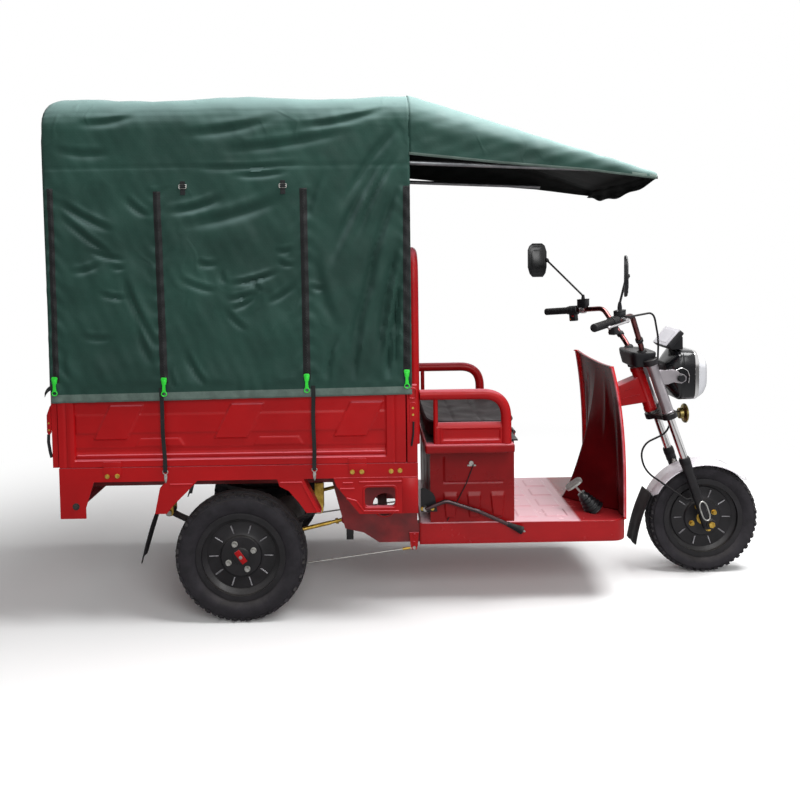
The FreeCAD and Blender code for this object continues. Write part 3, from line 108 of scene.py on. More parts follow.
def ripple(u, v, seed, size, count=9, turn=None):
    # sum of waves in seeded directions, each about one size long: soft unevenness between -1 and 1
    dice = rng(seed)
    total = 0
    for _ in range(count):
        angle = dice.uniform(0, math.pi) if turn is None else turn + dice.normal(0, 0.25)
        length = size * dice.uniform(0.6, 1.6)
        total = total + np.sin((u * math.cos(angle) + v * math.sin(angle)) * 2 * math.pi / length
            + dice.uniform(0, 6.28))
    return total / math.sqrt(count) / 1.5


def smooth(value, low, high):
    t = np.clip((value - low) / (high - low), 0, 1)
    return t * t * (3 - 2 * t)


def insideOf(x, z, corners, edge):
    # 1 inside a convex outline, 0 outside it, with a rounded slope as wide as edge along its border
    total = 1.0
    area = sum(a[0] * b[1] - b[0] * a[1] for a, b in zip(corners, corners[1:] + corners[:1]))
    for a, b in zip(corners, corners[1:] + corners[:1]):
        length = math.hypot(b[0] - a[0], b[1] - a[1])
        side = ((b[0] - a[0]) * (z - a[1]) - (b[1] - a[1]) * (x - a[0])) / length
        total = total * smooth(side * (1 if area > 0 else -1), 0, edge)
    return total


def crease(x, z, start, end, width, lean=0.0):
    # a fold that is deepest at the middle of the line from start to end and dies out at its ends
    start, end = np.array(start), np.array(end)
    along = end - start
    length = np.linalg.norm(along)
    along = along / length
    t = (x - start[0]) * along[0] + (z - start[1]) * along[1]
    off = (x - start[0]) * -along[1] + (z - start[1]) * along[0] + lean * np.sin(t / length * math.pi)
    run = smooth(t, 0, length * 0.4) * smooth(length - t, 0, length * 0.4)
    return np.exp(-(off / width) ** 2) * run - 0.45 * np.exp(-((off - width * 1.6) / width) ** 2) * run


def roundPath(points, radius, steps=6):
    # a path's corners turned into arcs
    points = [Vector(p) for p in points]
    out = [points[0]]
    for before, corner, after in zip(points, points[1:], points[2:]):
        back, ahead = (before - corner).normalized(), (after - corner).normalized()
        half = back.angle(ahead) / 2
        setback = min(radius / math.tan(half), (before - corner).length * 0.49,
            (after - corner).length * 0.49)
        start, end = corner + back * setback, corner + ahead * setback
        for i in range(steps + 1):
            t = i / steps
            out.append(start * (1 - t) ** 2 + corner * 2 * t * (1 - t) + end * t * t)
    return out + [points[-1]]


def addFaces(bm, verts, faces, slot=0):
    made = [bm.verts.new(v) for v in verts]
    for face in faces:
        try:
            bm.faces.new([made[i] for i in face]).material_index = slot
        except ValueError:
            pass
    return made


def addGrid(bm, points, slot=0, closed=False):
    # a sheet of quads through rows of points; closed joins the last column to the first
    rows, cols = points.shape[:2]
    wrap = cols if closed else cols - 1
    faces = []
    for i in range(rows - 1):
        for j in range(wrap):
            k = (j + 1) % cols
            faces.append((i * cols + j, i * cols + k, (i + 1) * cols + k, (i + 1) * cols + j))
    return addFaces(bm, points.reshape(-1, 3), faces, slot)


def addTube(bm, path, radius, sides=14, slot=0, flat=1.0, caps=True):
    # a bar swept along a path; radius may change along it, flat squeezes it across
    path = [Vector(p) for p in path]
    radii = radius if isinstance(radius, (list, tuple)) else [radius] * len(path)
    tangents = [(path[min(i + 1, len(path) - 1)] - path[max(i - 1, 0)]).normalized()
        for i in range(len(path))]
    normal = tangents[0].orthogonal().normalized()
    if abs(tangents[0].y) < 0.9:
        normal = (Vector((0, 1, 0)) - tangents[0] * tangents[0].y).normalized()
    rings = []
    for i, point in enumerate(path):
        if i:
            normal = (tangents[i - 1].rotation_difference(tangents[i]) @ normal).normalized()
        other = tangents[i].cross(normal)
        ring = []
        for j in range(sides):
            a = 2 * math.pi * j / sides
            ring.append(point + (normal * math.cos(a) + other * math.sin(a) * flat) * radii[i])
        rings.append(ring)
    made = addGrid(bm, np.array([[list(p) for p in ring] for ring in rings]), slot, True)
    if caps:
        bm.faces.new(made[:sides]).material_index = slot
        bm.faces.new(made[-sides:]).material_index = slot


def addLathe(bm, profile, centre, axis=(0, 1, 0), steps=64, slot=0, closed=False):
    # profile of (radius, place along the axis) turned about the axis
    axis = Vector(axis).normalized()
    across = axis.orthogonal().normalized()
    other = axis.cross(across)
    centre = Vector(centre)
    turns = [2 * math.pi * j / steps for j in range(steps)]
    spokes = [across * math.cos(turn) + other * math.sin(turn) for turn in turns]
    rows = []
    for r, a in profile + (profile[:1] if closed else []):
        rows.append([list(centre + axis * a + spoke * max(r, 1e-5)) for spoke in spokes])
    addGrid(bm, np.array(rows), slot, True)


def addPrism(bm, outline, depth, make, slot=0, bevel=0.0, segments=2):
    # an outline pushed from one depth to the other; make turns (u, v, depth) into a place
    lone = bmesh.new()
    count = len(outline)
    verts = [lone.verts.new(make(u, v, d)) for d in depth for u, v in outline]
    lone.faces.new(verts[:count])
    lone.faces.new(verts[count:][::-1])
    for i in range(count):
        k = (i + 1) % count
        lone.faces.new((verts[i], verts[k], verts[count + k], verts[count + i]))
    if bevel:
        bmesh.ops.bevel(lone, geom=lone.edges[:], offset=bevel, segments=segments, affect="EDGES",
            profile=0.6)
    bmesh.ops.recalc_face_normals(lone, faces=lone.faces)
    copyInto(bm, lone, slot)
    lone.free()


def copyInto(bm, other, slot=0):
    index = {v: bm.verts.new(v.co) for v in other.verts}
    for face in other.faces:
        try:
            bm.faces.new([index[v] for v in face.verts]).material_index = slot
        except ValueError:
            pass


def addBox(bm, low, high, slot=0, bevel=0.0, segments=2):
    outline = [(low[0], low[1]), (high[0], low[1]), (high[0], high[1]), (low[0], high[1])]
    addPrism(bm, outline, (low[2], high[2]), at, slot, bevel, segments)


def softSquare(count, power, start=0.0):
    # points of a square from -1 to 1 whose corners are rounder the lower power is
    points = []
    for j in range(count):
        a = 2 * math.pi * (j + start) / count
        c, s = math.cos(a), math.sin(a)
        k = (abs(c) ** power + abs(s) ** power) ** (-1 / power)
        points.append((c * k, s * k))
    return points


def mm(*numbers):
    # an outline given in millimetres, two numbers to a point
    return [(a / 1000, b / 1000) for a, b in zip(numbers[::2], numbers[1::2])]


def sideways(u, v, d):
    return at(u, d, v)


def lengthways(u, v, d):
    return at(d, u, v)


def addPlate(bm, outline, side, near, far, slot=0, bevel=0.0, segments=2):
    # a plate along the vehicle on the given side, between two distances from its middle
    addPrism(bm, outline, (side * near, side * far), sideways, slot, bevel, segments)


def finishPiece(name, bm, body, materials, replaced=(), angle=35, merge=1e-5, outward=True):
    bmesh.ops.remove_doubles(bm, verts=bm.verts, dist=merge)
    if outward:
        bmesh.ops.recalc_face_normals(bm, faces=bm.faces)
    mesh = bpy.data.meshes.new(name)
    bm.to_mesh(mesh)
    bm.free()
    for material in materials:
        mesh.materials.append(material)
    mesh.shade_smooth()
    mesh.set_sharp_from_angle(angle=math.radians(angle))
    piece = bpy.data.objects.new(name, mesh)
    bpy.context.collection.objects.link(piece)
    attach(piece, body)
    if replaced:
        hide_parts(*replaced)
    return piece


def faceTowards(piece, x, y, z):
    # turns an open sheet over unless most of it looks this way
    way = Vector((x, y, z))
    if sum(f.normal.dot(way) * f.area for f in piece.data.polygons) < 0:
        piece.data.flip_normals()


def bake(piece):
    # keeps what the piece's modifiers make of it as a plain mesh
    bpy.context.view_layer.update()
    done = bpy.data.meshes.new_from_object(piece.evaluated_get(bpy.context.evaluated_depsgraph_get()))
    piece.modifiers.clear()
    piece.data = done


def thicken(piece, depth, inner=0):
    # gives an open sheet its wall, with another material on the inside where inner isn't zero
    modifier = piece.modifiers.new("wall", "SOLIDIFY")
    modifier.thickness = depth
    modifier.offset = -1
    modifier.use_even_offset = False
    modifier.material_offset = inner
    bake(piece)


print("tools ready")


# materials

surfaceSockets = {"rough": "Roughness", "metal": "Metallic", "ior": "IOR", "coat": "Coat Weight",
    "coatRough": "Coat Roughness", "sheen": "Sheen Weight", "sheenRough": "Sheen Roughness",
    "specular": "Specular IOR Level", "clear": "Transmission Weight"}


def addNoise(tree, place, settings):
    # a noise in the piece's own space
    return addNode(tree, "ShaderNodeTexNoise", settings, {"Vector": place.outputs["Object"]})


def addBump(material, height, strength, depth):
    # raises the surface by a height on top of what already raises it
    tree = material.node_tree
    socket = tree.nodes["Principled BSDF"].inputs["Normal"]
    bump = addNode(tree, "ShaderNodeBump", {"Strength": strength, "Distance": depth},
        {"Height": height, "Normal": socket.links[0].from_socket})
    tree.links.new(bump.outputs["Normal"], socket)
    return material


def makeSurface(name, colour, shade, **v):
    # clouds mix colour and shade, dust lies on what faces up, lit paints the sky's reflection into the
    # colour of what faces up as a painted highlight, and grain lifts the surface a little
    material = bpy.data.materials.new(name)
    material.use_nodes = True
    tree = material.node_tree
    shader = tree.nodes["Principled BSDF"]
    for short, socket in surfaceSockets.items():
        if short in v:
            shader.inputs[socket].default_value = v[short]
    place = addNode(tree, "ShaderNodeTexCoord")
    clouds = addNoise(tree, place, {"Scale": 1 / v.get("cloud", 0.2), "Detail": 5.0, "Roughness": 0.62})
    ramp = addNode(tree, "ShaderNodeValToRGB", {}, {"Fac": clouds.outputs["Fac"]})
    ramp.color_ramp.elements[0].position = 0.34
    ramp.color_ramp.elements[1].position = 0.66
    ramp.color_ramp.elements[0].color = toLinear(shade)
    ramp.color_ramp.elements[1].color = toLinear(colour)
    tint = ramp.outputs["Color"]
    if "dust" in v:
        normal = addNode(tree, "ShaderNodeNewGeometry")
        split = addNode(tree, "ShaderNodeSeparateXYZ", {}, {"Vector": normal.outputs["Normal"]})
        speck = addNoise(tree, place, {"Scale": 26.0, "Detail": 7.0, "Roughness": 0.7})
        lying = reckon(tree, "MULTIPLY", split.outputs["Z"], speck.outputs["Fac"])
        amount = addNode(tree, "ShaderNodeMapRange",
            {"From Min": 0.1, "From Max": 0.75, "To Min": 0.0, "To Max": v["dust"]}, {"Value": lying})
        mixed = addNode(tree, "ShaderNodeMix",
            {"data_type": "RGBA", 7: toLinear(v.get("dustColour", "#8f8a80"))},
            {0: amount.outputs["Result"], 6: tint})
        tint = mixed.outputs[2]
    if "lit" in v:
        facing = addNode(tree, "ShaderNodeNewGeometry")
        upright = addNode(tree, "ShaderNodeSeparateXYZ", {}, {"Vector": facing.outputs["Normal"]})
        share = addNode(tree, "ShaderNodeMapRange",
            {"interpolation_type": "SMOOTHSTEP", "From Min": v.get("litFrom", 0.35),
            "From Max": v.get("litFull", 1.0), "To Max": v["litShare"]},
            {"Value": upright.outputs["Z"]}).outputs["Result"]
        if "litEnd" in v:
            # ahead of this line the painted reflection fades out: a painted shadow where the shield
            # stands over the sheet
            spot = addNode(tree, "ShaderNodeSeparateXYZ", {}, {"Vector": place.outputs["Object"]})
            ahead = addNode(tree, "ShaderNodeMapRange",
                {"From Min": v["litEnd"] - 0.006, "From Max": v["litEnd"] + 0.006, "To Min": 1.0,
                "To Max": 0.04}, {"Value": spot.outputs["X"]})
            share = reckon(tree, "MULTIPLY", share, ahead.outputs["Result"])
        bright = addNode(tree, "ShaderNodeMix", {"data_type": "RGBA", 7: toLinear(v["lit"])},
            {0: share, 6: tint})
        tint = bright.outputs[2]
    tree.links.new(tint, shader.inputs["Base Color"])
    if "roughSpread" in v:
        smudge = addNoise(tree, place, {"Scale": 1 / v.get("smudge", 0.07), "Detail": 4.0})
        uneven = addNode(tree, "ShaderNodeMapRange",
            {"From Min": 0.3, "From Max": 0.7, "To Min": v["rough"],
            "To Max": v["rough"] + v["roughSpread"]}, {"Value": smudge.outputs["Fac"]})
        tree.links.new(uneven.outputs["Result"], shader.inputs["Roughness"])
    grain = addNoise(tree, place, {"Scale": 1 / v.get("grain", 0.004), "Detail": 3.0})
    bump = addNode(tree, "ShaderNodeBump", {"Strength": v.get("grainStrength", 0.15),
        "Distance": v.get("grainDepth", 0.0006)}, {"Height": grain.outputs["Fac"]})
    tree.links.new(bump.outputs["Normal"], shader.inputs["Normal"])
    return material


def crumpleInto(material, size, strength, depth):
    # sharp little creases where a noise crosses its middle, gathered in patches
    tree = material.node_tree
    place = addNode(tree, "ShaderNodeTexCoord")
    lines = addNoise(tree, place, {"Scale": 1 / size, "Detail": 1.0, "Distortion": 0.25})
    off = addNode(tree, "ShaderNodeMath", {"operation": "SUBTRACT", 1: 0.5}, {0: lines.outputs["Fac"]})
    far = addNode(tree, "ShaderNodeMath", {"operation": "ABSOLUTE"}, {0: off.outputs[0]})
    ridge = addNode(tree, "ShaderNodeMapRange",
        {"interpolation_type": "SMOOTHSTEP", "From Min": 0.0, "From Max": 0.07, "To Min": 1.0,
        "To Max": 0.0}, {"Value": far.outputs[0]})
    patches = addNoise(tree, place, {"Scale": 3.1, "Detail": 1.0})
    share = addNode(tree, "ShaderNodeMapRange", {"From Min": 0.47, "From Max": 0.62},
        {"Value": patches.outputs["Fac"]})
    height = reckon(tree, "MULTIPLY", ridge.outputs["Result"], share.outputs["Result"])
    return addBump(material, height, strength, depth)


def weaveInto(material, spacing, strength, depth):
    # warp and weft as two crossed bands, drawn coarser than the real 0.6 mm so that they show at all
    tree = material.node_tree
    place = addNode(tree, "ShaderNodeTexCoord")
    bands = []
    for direction in ("DIAGONAL", "Z"):
        bands.append(addNode(tree, "ShaderNodeTexWave",
            {"wave_type": "BANDS", "bands_direction": direction, "Scale": 0.31 / spacing,
            "Distortion": 0.6, "Detail": 1.0}, {"Vector": place.outputs["Object"]}))
    both = reckon(tree, "MULTIPLY", bands[0].outputs["Fac"], bands[1].outputs["Fac"])
    return addBump(material, both, strength, depth)


# stoved red enamel over pressed steel: a slightly wavy gloss, with a painted pink highlight facing the
# sky
redEnamel = makeSurface("redEnamel", "#b90f14", "#9f0b10", cloud=0.5, rough=0.3, roughSpread=0.16,
    specular=0.24, grain=0.012, grainDepth=0.0008, grainStrength=0.12, dust=0.05, lit="#f58a98",
    litShare=0.62, litFrom=0.45)
# the same enamel darkened as painted shade, on the box under the seat, with a painted highlight facing up
shadeDarkenedEnamel = makeSurface("shadeDarkenedEnamel", "#980c10", "#7d080c", cloud=0.35, rough=0.26, roughSpread=0.15,
    specular=0.24, grain=0.014, grainDepth=0.0009, grainStrength=0.14, dust=0.05, lit="#f58a98",
    litShare=0.55, litFrom=0.4)
# the floor's enamel: the sky's reflection painted on where it faces up, a painted shadow under the shield
floorEnamel = makeSurface("floorEnamel", "#ae1016", "#980b10", cloud=0.35, rough=0.2, roughSpread=0.08,
    specular=0.3, grain=0.02, grainDepth=0.0006, grainStrength=0.05, lit="#f3c3cd", litShare=0.92,
    litFrom=0.72, litEnd=0.59)
# brushed-on chassis enamel: flatter, with more dirt
chassisEnamel = makeSurface("chassisEnamel", "#8c181c", "#5f1013", cloud=0.12, rough=0.4,
    roughSpread=0.25, grain=0.006, dust=0.35)
# coated canvas: dull green with a faint sheen, cloudy where it has been handled, painted paler facing up
# as sky reflection
canvas = weaveInto(crumpleInto(makeSurface("canvas", "#23453c", "#1b3730", cloud=0.3, rough=0.6,
    roughSpread=0.18, sheen=0.04, sheenRough=0.5, specular=0.25, grain=0.03, grainDepth=0.004,
    grainStrength=0.22, lit="#a9c8c6", litShare=0.52, litFrom=0.0, litFull=1.15), 0.13, 0.3, 0.004),
    0.006, 0.18, 0.0006)
# the turned hem is doubled and rubbed, so it reads paler
hemCanvas = weaveInto(makeSurface("hemCanvas", "#5d7068", "#4a5b54", cloud=0.05, rough=0.6, sheen=0.2,
    grain=0.02, grainDepth=0.003, grainStrength=0.3), 0.006, 0.2, 0.0006)
# the canvas's rubbery black back
canvasBack = makeSurface("canvasBack", "#151817", "#0d0f0e", cloud=0.15, rough=0.7, specular=0.25,
    grain=0.01)
# woven nylon zip tape and webbing
nylonTape = weaveInto(makeSurface("nylonTape", "#1d1f20", "#101112", cloud=0.05, rough=0.7, specular=0.3,
    grain=0.004), 0.005, 0.4, 0.0008)
# injection-moulded bright green nylon
greenNylon = makeSurface("greenNylon", "#2fe03c", "#22c92f", cloud=0.02, rough=0.35, grain=0.003)
print("materials ready")


# the hood: one sheet over three bows, from hem to hem

hoodValues = {"rear": -0.677, "front": 0.652, "half": 0.4765, "shoulder": 1.979, "crown": 1.997,
    "round": 0.13, "hemRear": 0.853, "hemFront": 0.867, "columns": 140, "rows": 254, "wall": 0.0014,
    "spread": ((0, 0.56, 0.76, 1), (0, 0.35, 0.65, 1)), "hemBand": 0.029, "bows": (-0.64, -0.016, 0.613),
    "zips": (-0.652, -0.27, 0.267, 0.637)}
# folds of the near side, as (start, end, half width, depth), start and end ahead of the axle and up
nearFolds = (((0.62, 1.869), (0.391, 1.525), 0.016, 0.009), ((0.62, 1.851), (0.339, 1.314), 0.018, 0.01),
    ((0.624, 1.79), (0.444, 1.42), 0.013, 0.008), ((0.628, 1.693), (0.47, 1.19), 0.014, 0.008),
    ((0.62, 1.49), (0.523, 0.944), 0.013, 0.009), ((0.593, 1.19), (0.567, 0.9), 0.01, 0.007),
    ((0.549, 1.411), (0.409, 0.917), 0.016, 0.008), ((0.62, 1.367), (0.593, 0.908), 0.01, 0.007),
    ((0.488, 1.164), (0.435, 0.9), 0.011, 0.006), ((0.383, 1.102), (0.339, 0.908), 0.011, 0.005),
    ((-0.171, 1.706), (0.304, 1.719), 0.01, 0.005), ((-0.013, 1.68), (0.233, 1.693), 0.01, 0.006),
    ((-0.566, 1.869), (-0.32, 1.9), 0.014, 0.006), ((-0.206, 1.825), (0.198, 1.887), 0.016, 0.006),
    ((-0.083, 1.763), (0.488, 1.843), 0.016, 0.006), ((0.225, 1.843), (0.602, 1.922), 0.014, 0.007),
    ((-0.654, 1.781), (-0.408, 1.763), 0.014, 0.005), ((-0.645, 1.605), (-0.408, 1.472), 0.012, 0.009),
    ((-0.649, 1.569), (-0.399, 1.367), 0.011, 0.008), ((-0.39, 1.613), (-0.285, 1.525), 0.011, 0.007),
    ((-0.408, 1.34), (-0.276, 1.049), 0.013, 0.01), ((-0.496, 1.261), (-0.381, 1.235), 0.009, 0.006),
    ((-0.443, 1.358), (-0.386, 1.349), 0.009, 0.005), ((-0.592, 1.331), (-0.469, 1.367), 0.01, 0.005),
    ((-0.531, 1.42), (-0.39, 1.376), 0.009, 0.006), ((-0.566, 1.102), (-0.434, 1.093), 0.011, 0.004),
    ((-0.627, 1.049), (-0.601, 0.926), 0.012, 0.005), ((-0.364, 1.19), (-0.285, 0.961), 0.011, 0.007),
    ((-0.25, 1.543), (-0.013, 1.605), 0.013, 0.008), ((-0.206, 1.49), (0.233, 1.613), 0.019, 0.008),
    ((-0.021, 1.279), (0.181, 1.331), 0.009, 0.008), ((-0.03, 1.226), (0.11, 1.261), 0.009, 0.007),
    ((-0.013, 1.186), (0.093, 1.248), 0.009, 0.007), ((-0.039, 1.34), (-0.021, 1.279), 0.009, 0.005),
    ((0.075, 1.305), (0.11, 1.252), 0.009, 0.006), ((0.119, 1.208), (0.233, 1.287), 0.01, 0.006),
    ((-0.136, 1.367), (-0.048, 1.358), 0.01, 0.006), ((-0.206, 1.314), (-0.048, 1.252), 0.01, 0.005),
    ((-0.039, 1.208), (0.058, 1.102), 0.01, 0.005), ((-0.188, 1.058), (-0.092, 0.891), 0.01, 0.008),
    ((-0.241, 0.988), (-0.206, 0.882), 0.009, 0.006), ((0.154, 1.402), (0.225, 1.411), 0.009, 0.005),
    ((0.163, 1.367), (0.233, 1.349), 0.009, 0.005), ((0.277, 1.279), (0.339, 1.261), 0.009, 0.005),
    ((0.295, 1.42), (0.391, 1.102), 0.02, 0.006), ((0.339, 1.693), (0.268, 1.49), 0.012, 0.005))


def hoodSection(x, v):
    # the base line from the right hem over the crown to the left hem
    hem = v["hemRear"] + (v["hemFront"] - v["hemRear"]) * (x - v["rear"]) / (v["front"] - v["rear"])
    line = [(-v["half"], hem), (-v["half"], v["shoulder"] - v["round"])]
    for i in range(1, 9):
        a = math.pi / 2 * i / 8
        line.append((-v["half"] + v["round"] * (1 - math.cos(a)),
            v["shoulder"] - v["round"] * (1 - math.sin(a))))
    line.append((0.0, v["crown"]))
    line += [(-y, z) for y, z in reversed(line[:-1])]
    return np.array(line)


def alongLine(line, count, spread=((0, 1), (0, 1))):
    # places along a line of (y, z) with the normals there and how far along each one is
    steps = np.hypot(*np.diff(line, axis=0).T)
    reach = np.concatenate([[0], np.cumsum(steps)])
    t = np.interp(np.linspace(0, 1, count), *spread) * reach[-1]
    y, z = np.interp(t, reach, line[:, 0]), np.interp(t, reach, line[:, 1])
    ny, nz = -np.gradient(z, t), np.gradient(y, t)
    size = np.hypot(ny, nz)
    return y, z, ny / size, nz / size, t


def hoodPush(x, y, z, v):
    # how far the cloth leaves its base line, up on the roof and inwards on the sides: folds, the
    # sag between the bows, puckered seams
    side = smooth(np.abs(y), v["half"] - 0.1, v["half"] - 0.01)
    roof = 1 - side
    push = np.zeros_like(x)
    for number, (start, end, width, depth) in enumerate(nearFolds):
        # the first ten fan out from the front corner and are the deepest
        gain = 2.3 if number < 10 else 1.5
        near = crease(x, z, start, end, width, width) * (y < 0)
        far = crease(0.02 - x, z, start, end, width, -width) * (y > 0)
        push = push + (near + far) * depth * gain * side
    push += side * ripple(x, z, 3, 0.24) * 0.0035
    push += side * ripple(x, z, 5, 0.07, turn=0.5) * 0.0012
    for a, b in zip(v["bows"], v["bows"][1:]):
        t = np.clip((x - a) / (b - a), 0, 1)
        inside = (x >= a) & (x <= b)
        push -= inside * np.sin(t * math.pi) ** 2 * (0.012 * roof + 0.004 * side)
    push += roof * (ripple(x, y, 8, 0.3, turn=1.2) * 0.0045 + ripple(x, y, 9, 0.09) * 0.0014)
    push += side * 0.0022 * np.exp(-((z - 1.71) / 0.006) ** 2)
    for place in v["zips"]:
        pucker = np.exp(-(np.abs(x - place) / 0.035) ** 2) * side * (z < 1.64)
        push += pucker * 0.002 * np.sin(z * 2 * math.pi / 0.06 + 3 * np.sin(x * 40))
    pleat = side * smooth(0.97 - z, 0, 0.1)
    push += pleat * 0.0022 * np.sin(x * 2 * math.pi / 0.052 + 2.2 * np.sin(x * 17))
    return np.clip(push, -0.001 - 0.013 * smooth(z, 0.9, 0.98), 0.0165)


def hoodTurn(x, z, upright, v):
    # behind the last bow the cloth turns in over the rounded corner, less so where it hangs upright
    past = np.clip((v["rear"] + 0.055 - x) / 0.055, 0, 1)
    upper = smooth(z, 1.55, 1.93)
    depth = 0.034 * (1 - upright) + 0.005 * upright
    return depth * (1 - np.sqrt(1 - past ** 2 * 0.96)) * upper + 0.002 * past ** 2 * (1 - upper)


def buildHood(v):
    bm = bmesh.new()
    xs = np.linspace(v["rear"], v["front"], v["columns"])
    girth = alongLine(hoodSection(0, v), 10)[4][-1]
    rows = []
    for x in xs:
        y, z, ny, nz, _ = alongLine(hoodSection(x, v), v["rows"], v["spread"])
        push, turn = hoodPush(np.full_like(y, x), y, z, v), hoodTurn(x, z, ny ** 2, v)
        rows.append(np.stack([np.full_like(y, x - midX), y - ny * (push + turn), z + nz * (push - turn)],
            axis=1))
    points = np.array(rows)
    addGrid(bm, points)
    bm.faces.ensure_lookup_table()
    bm.faces.index_update()
    for face in bm.faces:
        middle = face.calc_center_median()
        hem = v["hemRear"] + (v["hemFront"] - v["hemRear"]) * (middle.x + midX - v["rear"]) / 1.33
        if middle.z < hem + v["hemBand"]:
            face.material_index = 1
    hood = finishPiece("canopyHood", bm, "chassis", [canvas, hemCanvas, canvasBack, canvasBack],
        ("canopy_roof", "canopy_side_right", "canopy_side_left"), 60, outward=False)
    faceTowards(hood, 0, 0, 1)
    thicken(hood, v["wall"], 2)


buildHood(hoodValues)


def hoodSides(x, z, stand, near):
    # places on the hood's upright side, standing off it by a little
    v = hoodValues
    y = np.full(len(x), -v["half"] if near else v["half"])
    off = stand - hoodPush(x, y, z, v) - hoodTurn(x, z, 1, v)
    return np.stack([x - midX, y - off if near else y + off, z], axis=1)


def hoodSide(x, z, stand=0.0, near=True):
    return Vector(hoodSides(np.array([x]), np.array([z]), stand, near)[0])


curtainValues = {"rear": {"x": -0.6785, "low": 0.913, "node": "canopy_rear_curtain", "out": -1,
    "seed": 21}, "front": {"x": 0.596, "low": 0.913, "node": "canopy_front_curtain", "out": 1,
    "seed": 34}}


def buildCurtain(name, v):
    # an end wall of the hood, hanging inside its section with soft upright folds
    bm = bmesh.new()
    half = hoodValues["half"] - 0.005
    ys = np.linspace(-half, half, 70)
    rows = []
    for y in ys:
        inner = max(abs(y) - (half - hoodValues["round"]), 0) / hoodValues["round"]
        corner = hoodValues["round"] * (1 - math.sqrt(max(1 - inner ** 2, 0)))
        top = hoodValues["crown"] - 0.034 - 0.018 * abs(y) / 0.35 - corner
        t = np.linspace(0, 1, 84)
        z = v["low"] + (top - v["low"]) * t
        fold = ripple(np.full_like(z, y), z * 0.35, v["seed"], 0.17, turn=0.0) * 0.004
        fold = fold * (0.25 + 0.75 * np.sin(t * math.pi)) + 0.0015
        rows.append(np.stack([v["x"] + v["out"] * fold - midX, np.full_like(z, y), z], axis=1))
    addGrid(bm, np.array(rows))
    area = sum(face.calc_area() for face in bm.faces)
    piece = finishPiece(name, bm, "chassis", [canvas, canvasBack], (v["node"],), 60)
    thicken(piece, 0.0012, 1)


for label, values in curtainValues.items():
    buildCurtain(label + "Curtain", values)


# the visor over the driver, with a slack flap along its front edge

visorValues = {"from": 0.65, "to": 1.552, "half": 0.4765,
    "hem": ((0.652, 0.967, 1.306, 1.51, 1.552), (1.744, 1.709, 1.679, 1.651, 1.646)),
    "shoulder": ((0.65, 1.44, 1.552), (1.979, 1.712, 1.672)), "rows": 84, "columns": 130, "flap": 12,
    "wall": 0.0016}


def visorLine(x, v):
    hem = float(np.interp(x, *v["hem"]))
    shoulder = float(np.interp(x, *v["shoulder"]))
    u = (x - v["from"]) / (v["to"] - v["from"])
    turn = min(0.13 * (1 - u) + 0.03 * u, (shoulder - hem) * 0.95)
    line = [(-v["half"], hem), (-v["half"], max(shoulder - turn, hem + 0.002))]
    for i in range(1, 9):
        a = math.pi / 2 * i / 8
        line.append((-v["half"] + turn * (1 - math.cos(a)), shoulder - turn * (1 - math.sin(a))))
    line.append((0.0, shoulder + 0.018 * (1 - u) + 0.004))
    line += [(-y, z) for y, z in reversed(line[:-1])]
    return np.array(line)


def buildVisor(v):
    bm = bmesh.new()
    rows = []
    for x in np.linspace(v["from"], v["to"], v["rows"]):
        u = (x - v["from"]) / (v["to"] - v["from"])
        y, z, ny, nz, _ = alongLine(visorLine(x, v), v["columns"])
        flat = 1 - smooth(np.abs(y), 0.33, 0.44)
        push = -0.02 * math.sin(u * math.pi) * np.sin((y / v["half"] + 1) * math.pi / 2) ** 2 * flat
        waves = ripple(np.full_like(y, x) * 0.45, y, 41, 0.16, turn=1.45)
        push += waves * 0.006 * math.sin(u * math.pi) ** 0.5
        push += 0.006 * np.exp(-((np.abs(y) - 0.33 - 0.06 * u) / 0.03) ** 2) * math.sin(u * math.pi)
        push -= 0.007 * np.exp(-((np.abs(y) - 0.26 - 0.1 * u) / 0.022) ** 2) * math.sin(u * math.pi)
        push += (1 - flat) * ripple(np.full_like(y, x), z * 2, 43, 0.12) * 0.0025
        rows.append(np.stack([np.full_like(y, x - midX), y - ny * push, z + nz * push], axis=1))
    last = rows[-1]
    # the spare cloth turns down at the front edge and hangs lowest at mid-width
    for i in range(1, v["flap"] + 1):
        t = i / v["flap"]
        across = last[:, 1] / v["half"]
        top = last[:, 2]
        low = 1.642 - 0.04 * (1 - across ** 2) + 0.004 * np.sin(across * 11)
        low = np.minimum(low, top - 0.001)
        belly = 0.006 * math.sin(t * math.pi) * (1 + 0.5 * np.sin(across * 14 + 1))
        roll = 0.004 * math.sin(min(t * 3, 1) * math.pi)
        ahead = last[:, 0] + belly - 0.02 * t ** 2 * (1 - across ** 2) + roll
        rows.append(np.stack([ahead, last[:, 1], top + (low - top) * t], axis=1))
    points = np.array(rows)
    addGrid(bm, points)
    for face in bm.faces:
        middle = face.calc_center_median()
        hem = float(np.interp(middle.x + midX, *v["hem"]))
        if abs(middle.y) > v["half"] - 0.01 and middle.z < hem + 0.012:
            face.material_index = 1
    area = sum(face.calc_area() for face in bm.faces)
    piece = finishPiece("canopyVisor", bm, "chassis", [canvas, hemCanvas, canvasBack, canvasBack],
        ("canopy_visor",), 60, outward=False)
    faceTowards(piece, 0, 0, 1)
    thicken(piece, v["wall"], 2)


buildVisor(visorValues)
print("hood ready")


# gates: pressed sheet with a sunk field, slanted pads, a plateau and a stepped foot

gateValues = {"low": 0.6105, "high": 0.899, "thick": 0.021, "edge": 0.006, "cell": 0.0041,
    "field": (-0.6, 0.557), "pads": (-0.435, 0.01, 0.452), "padHalf": 0.064, "slant": 0.033,
    "flats": (-0.284, 0.155), "flatHalf": 0.083}


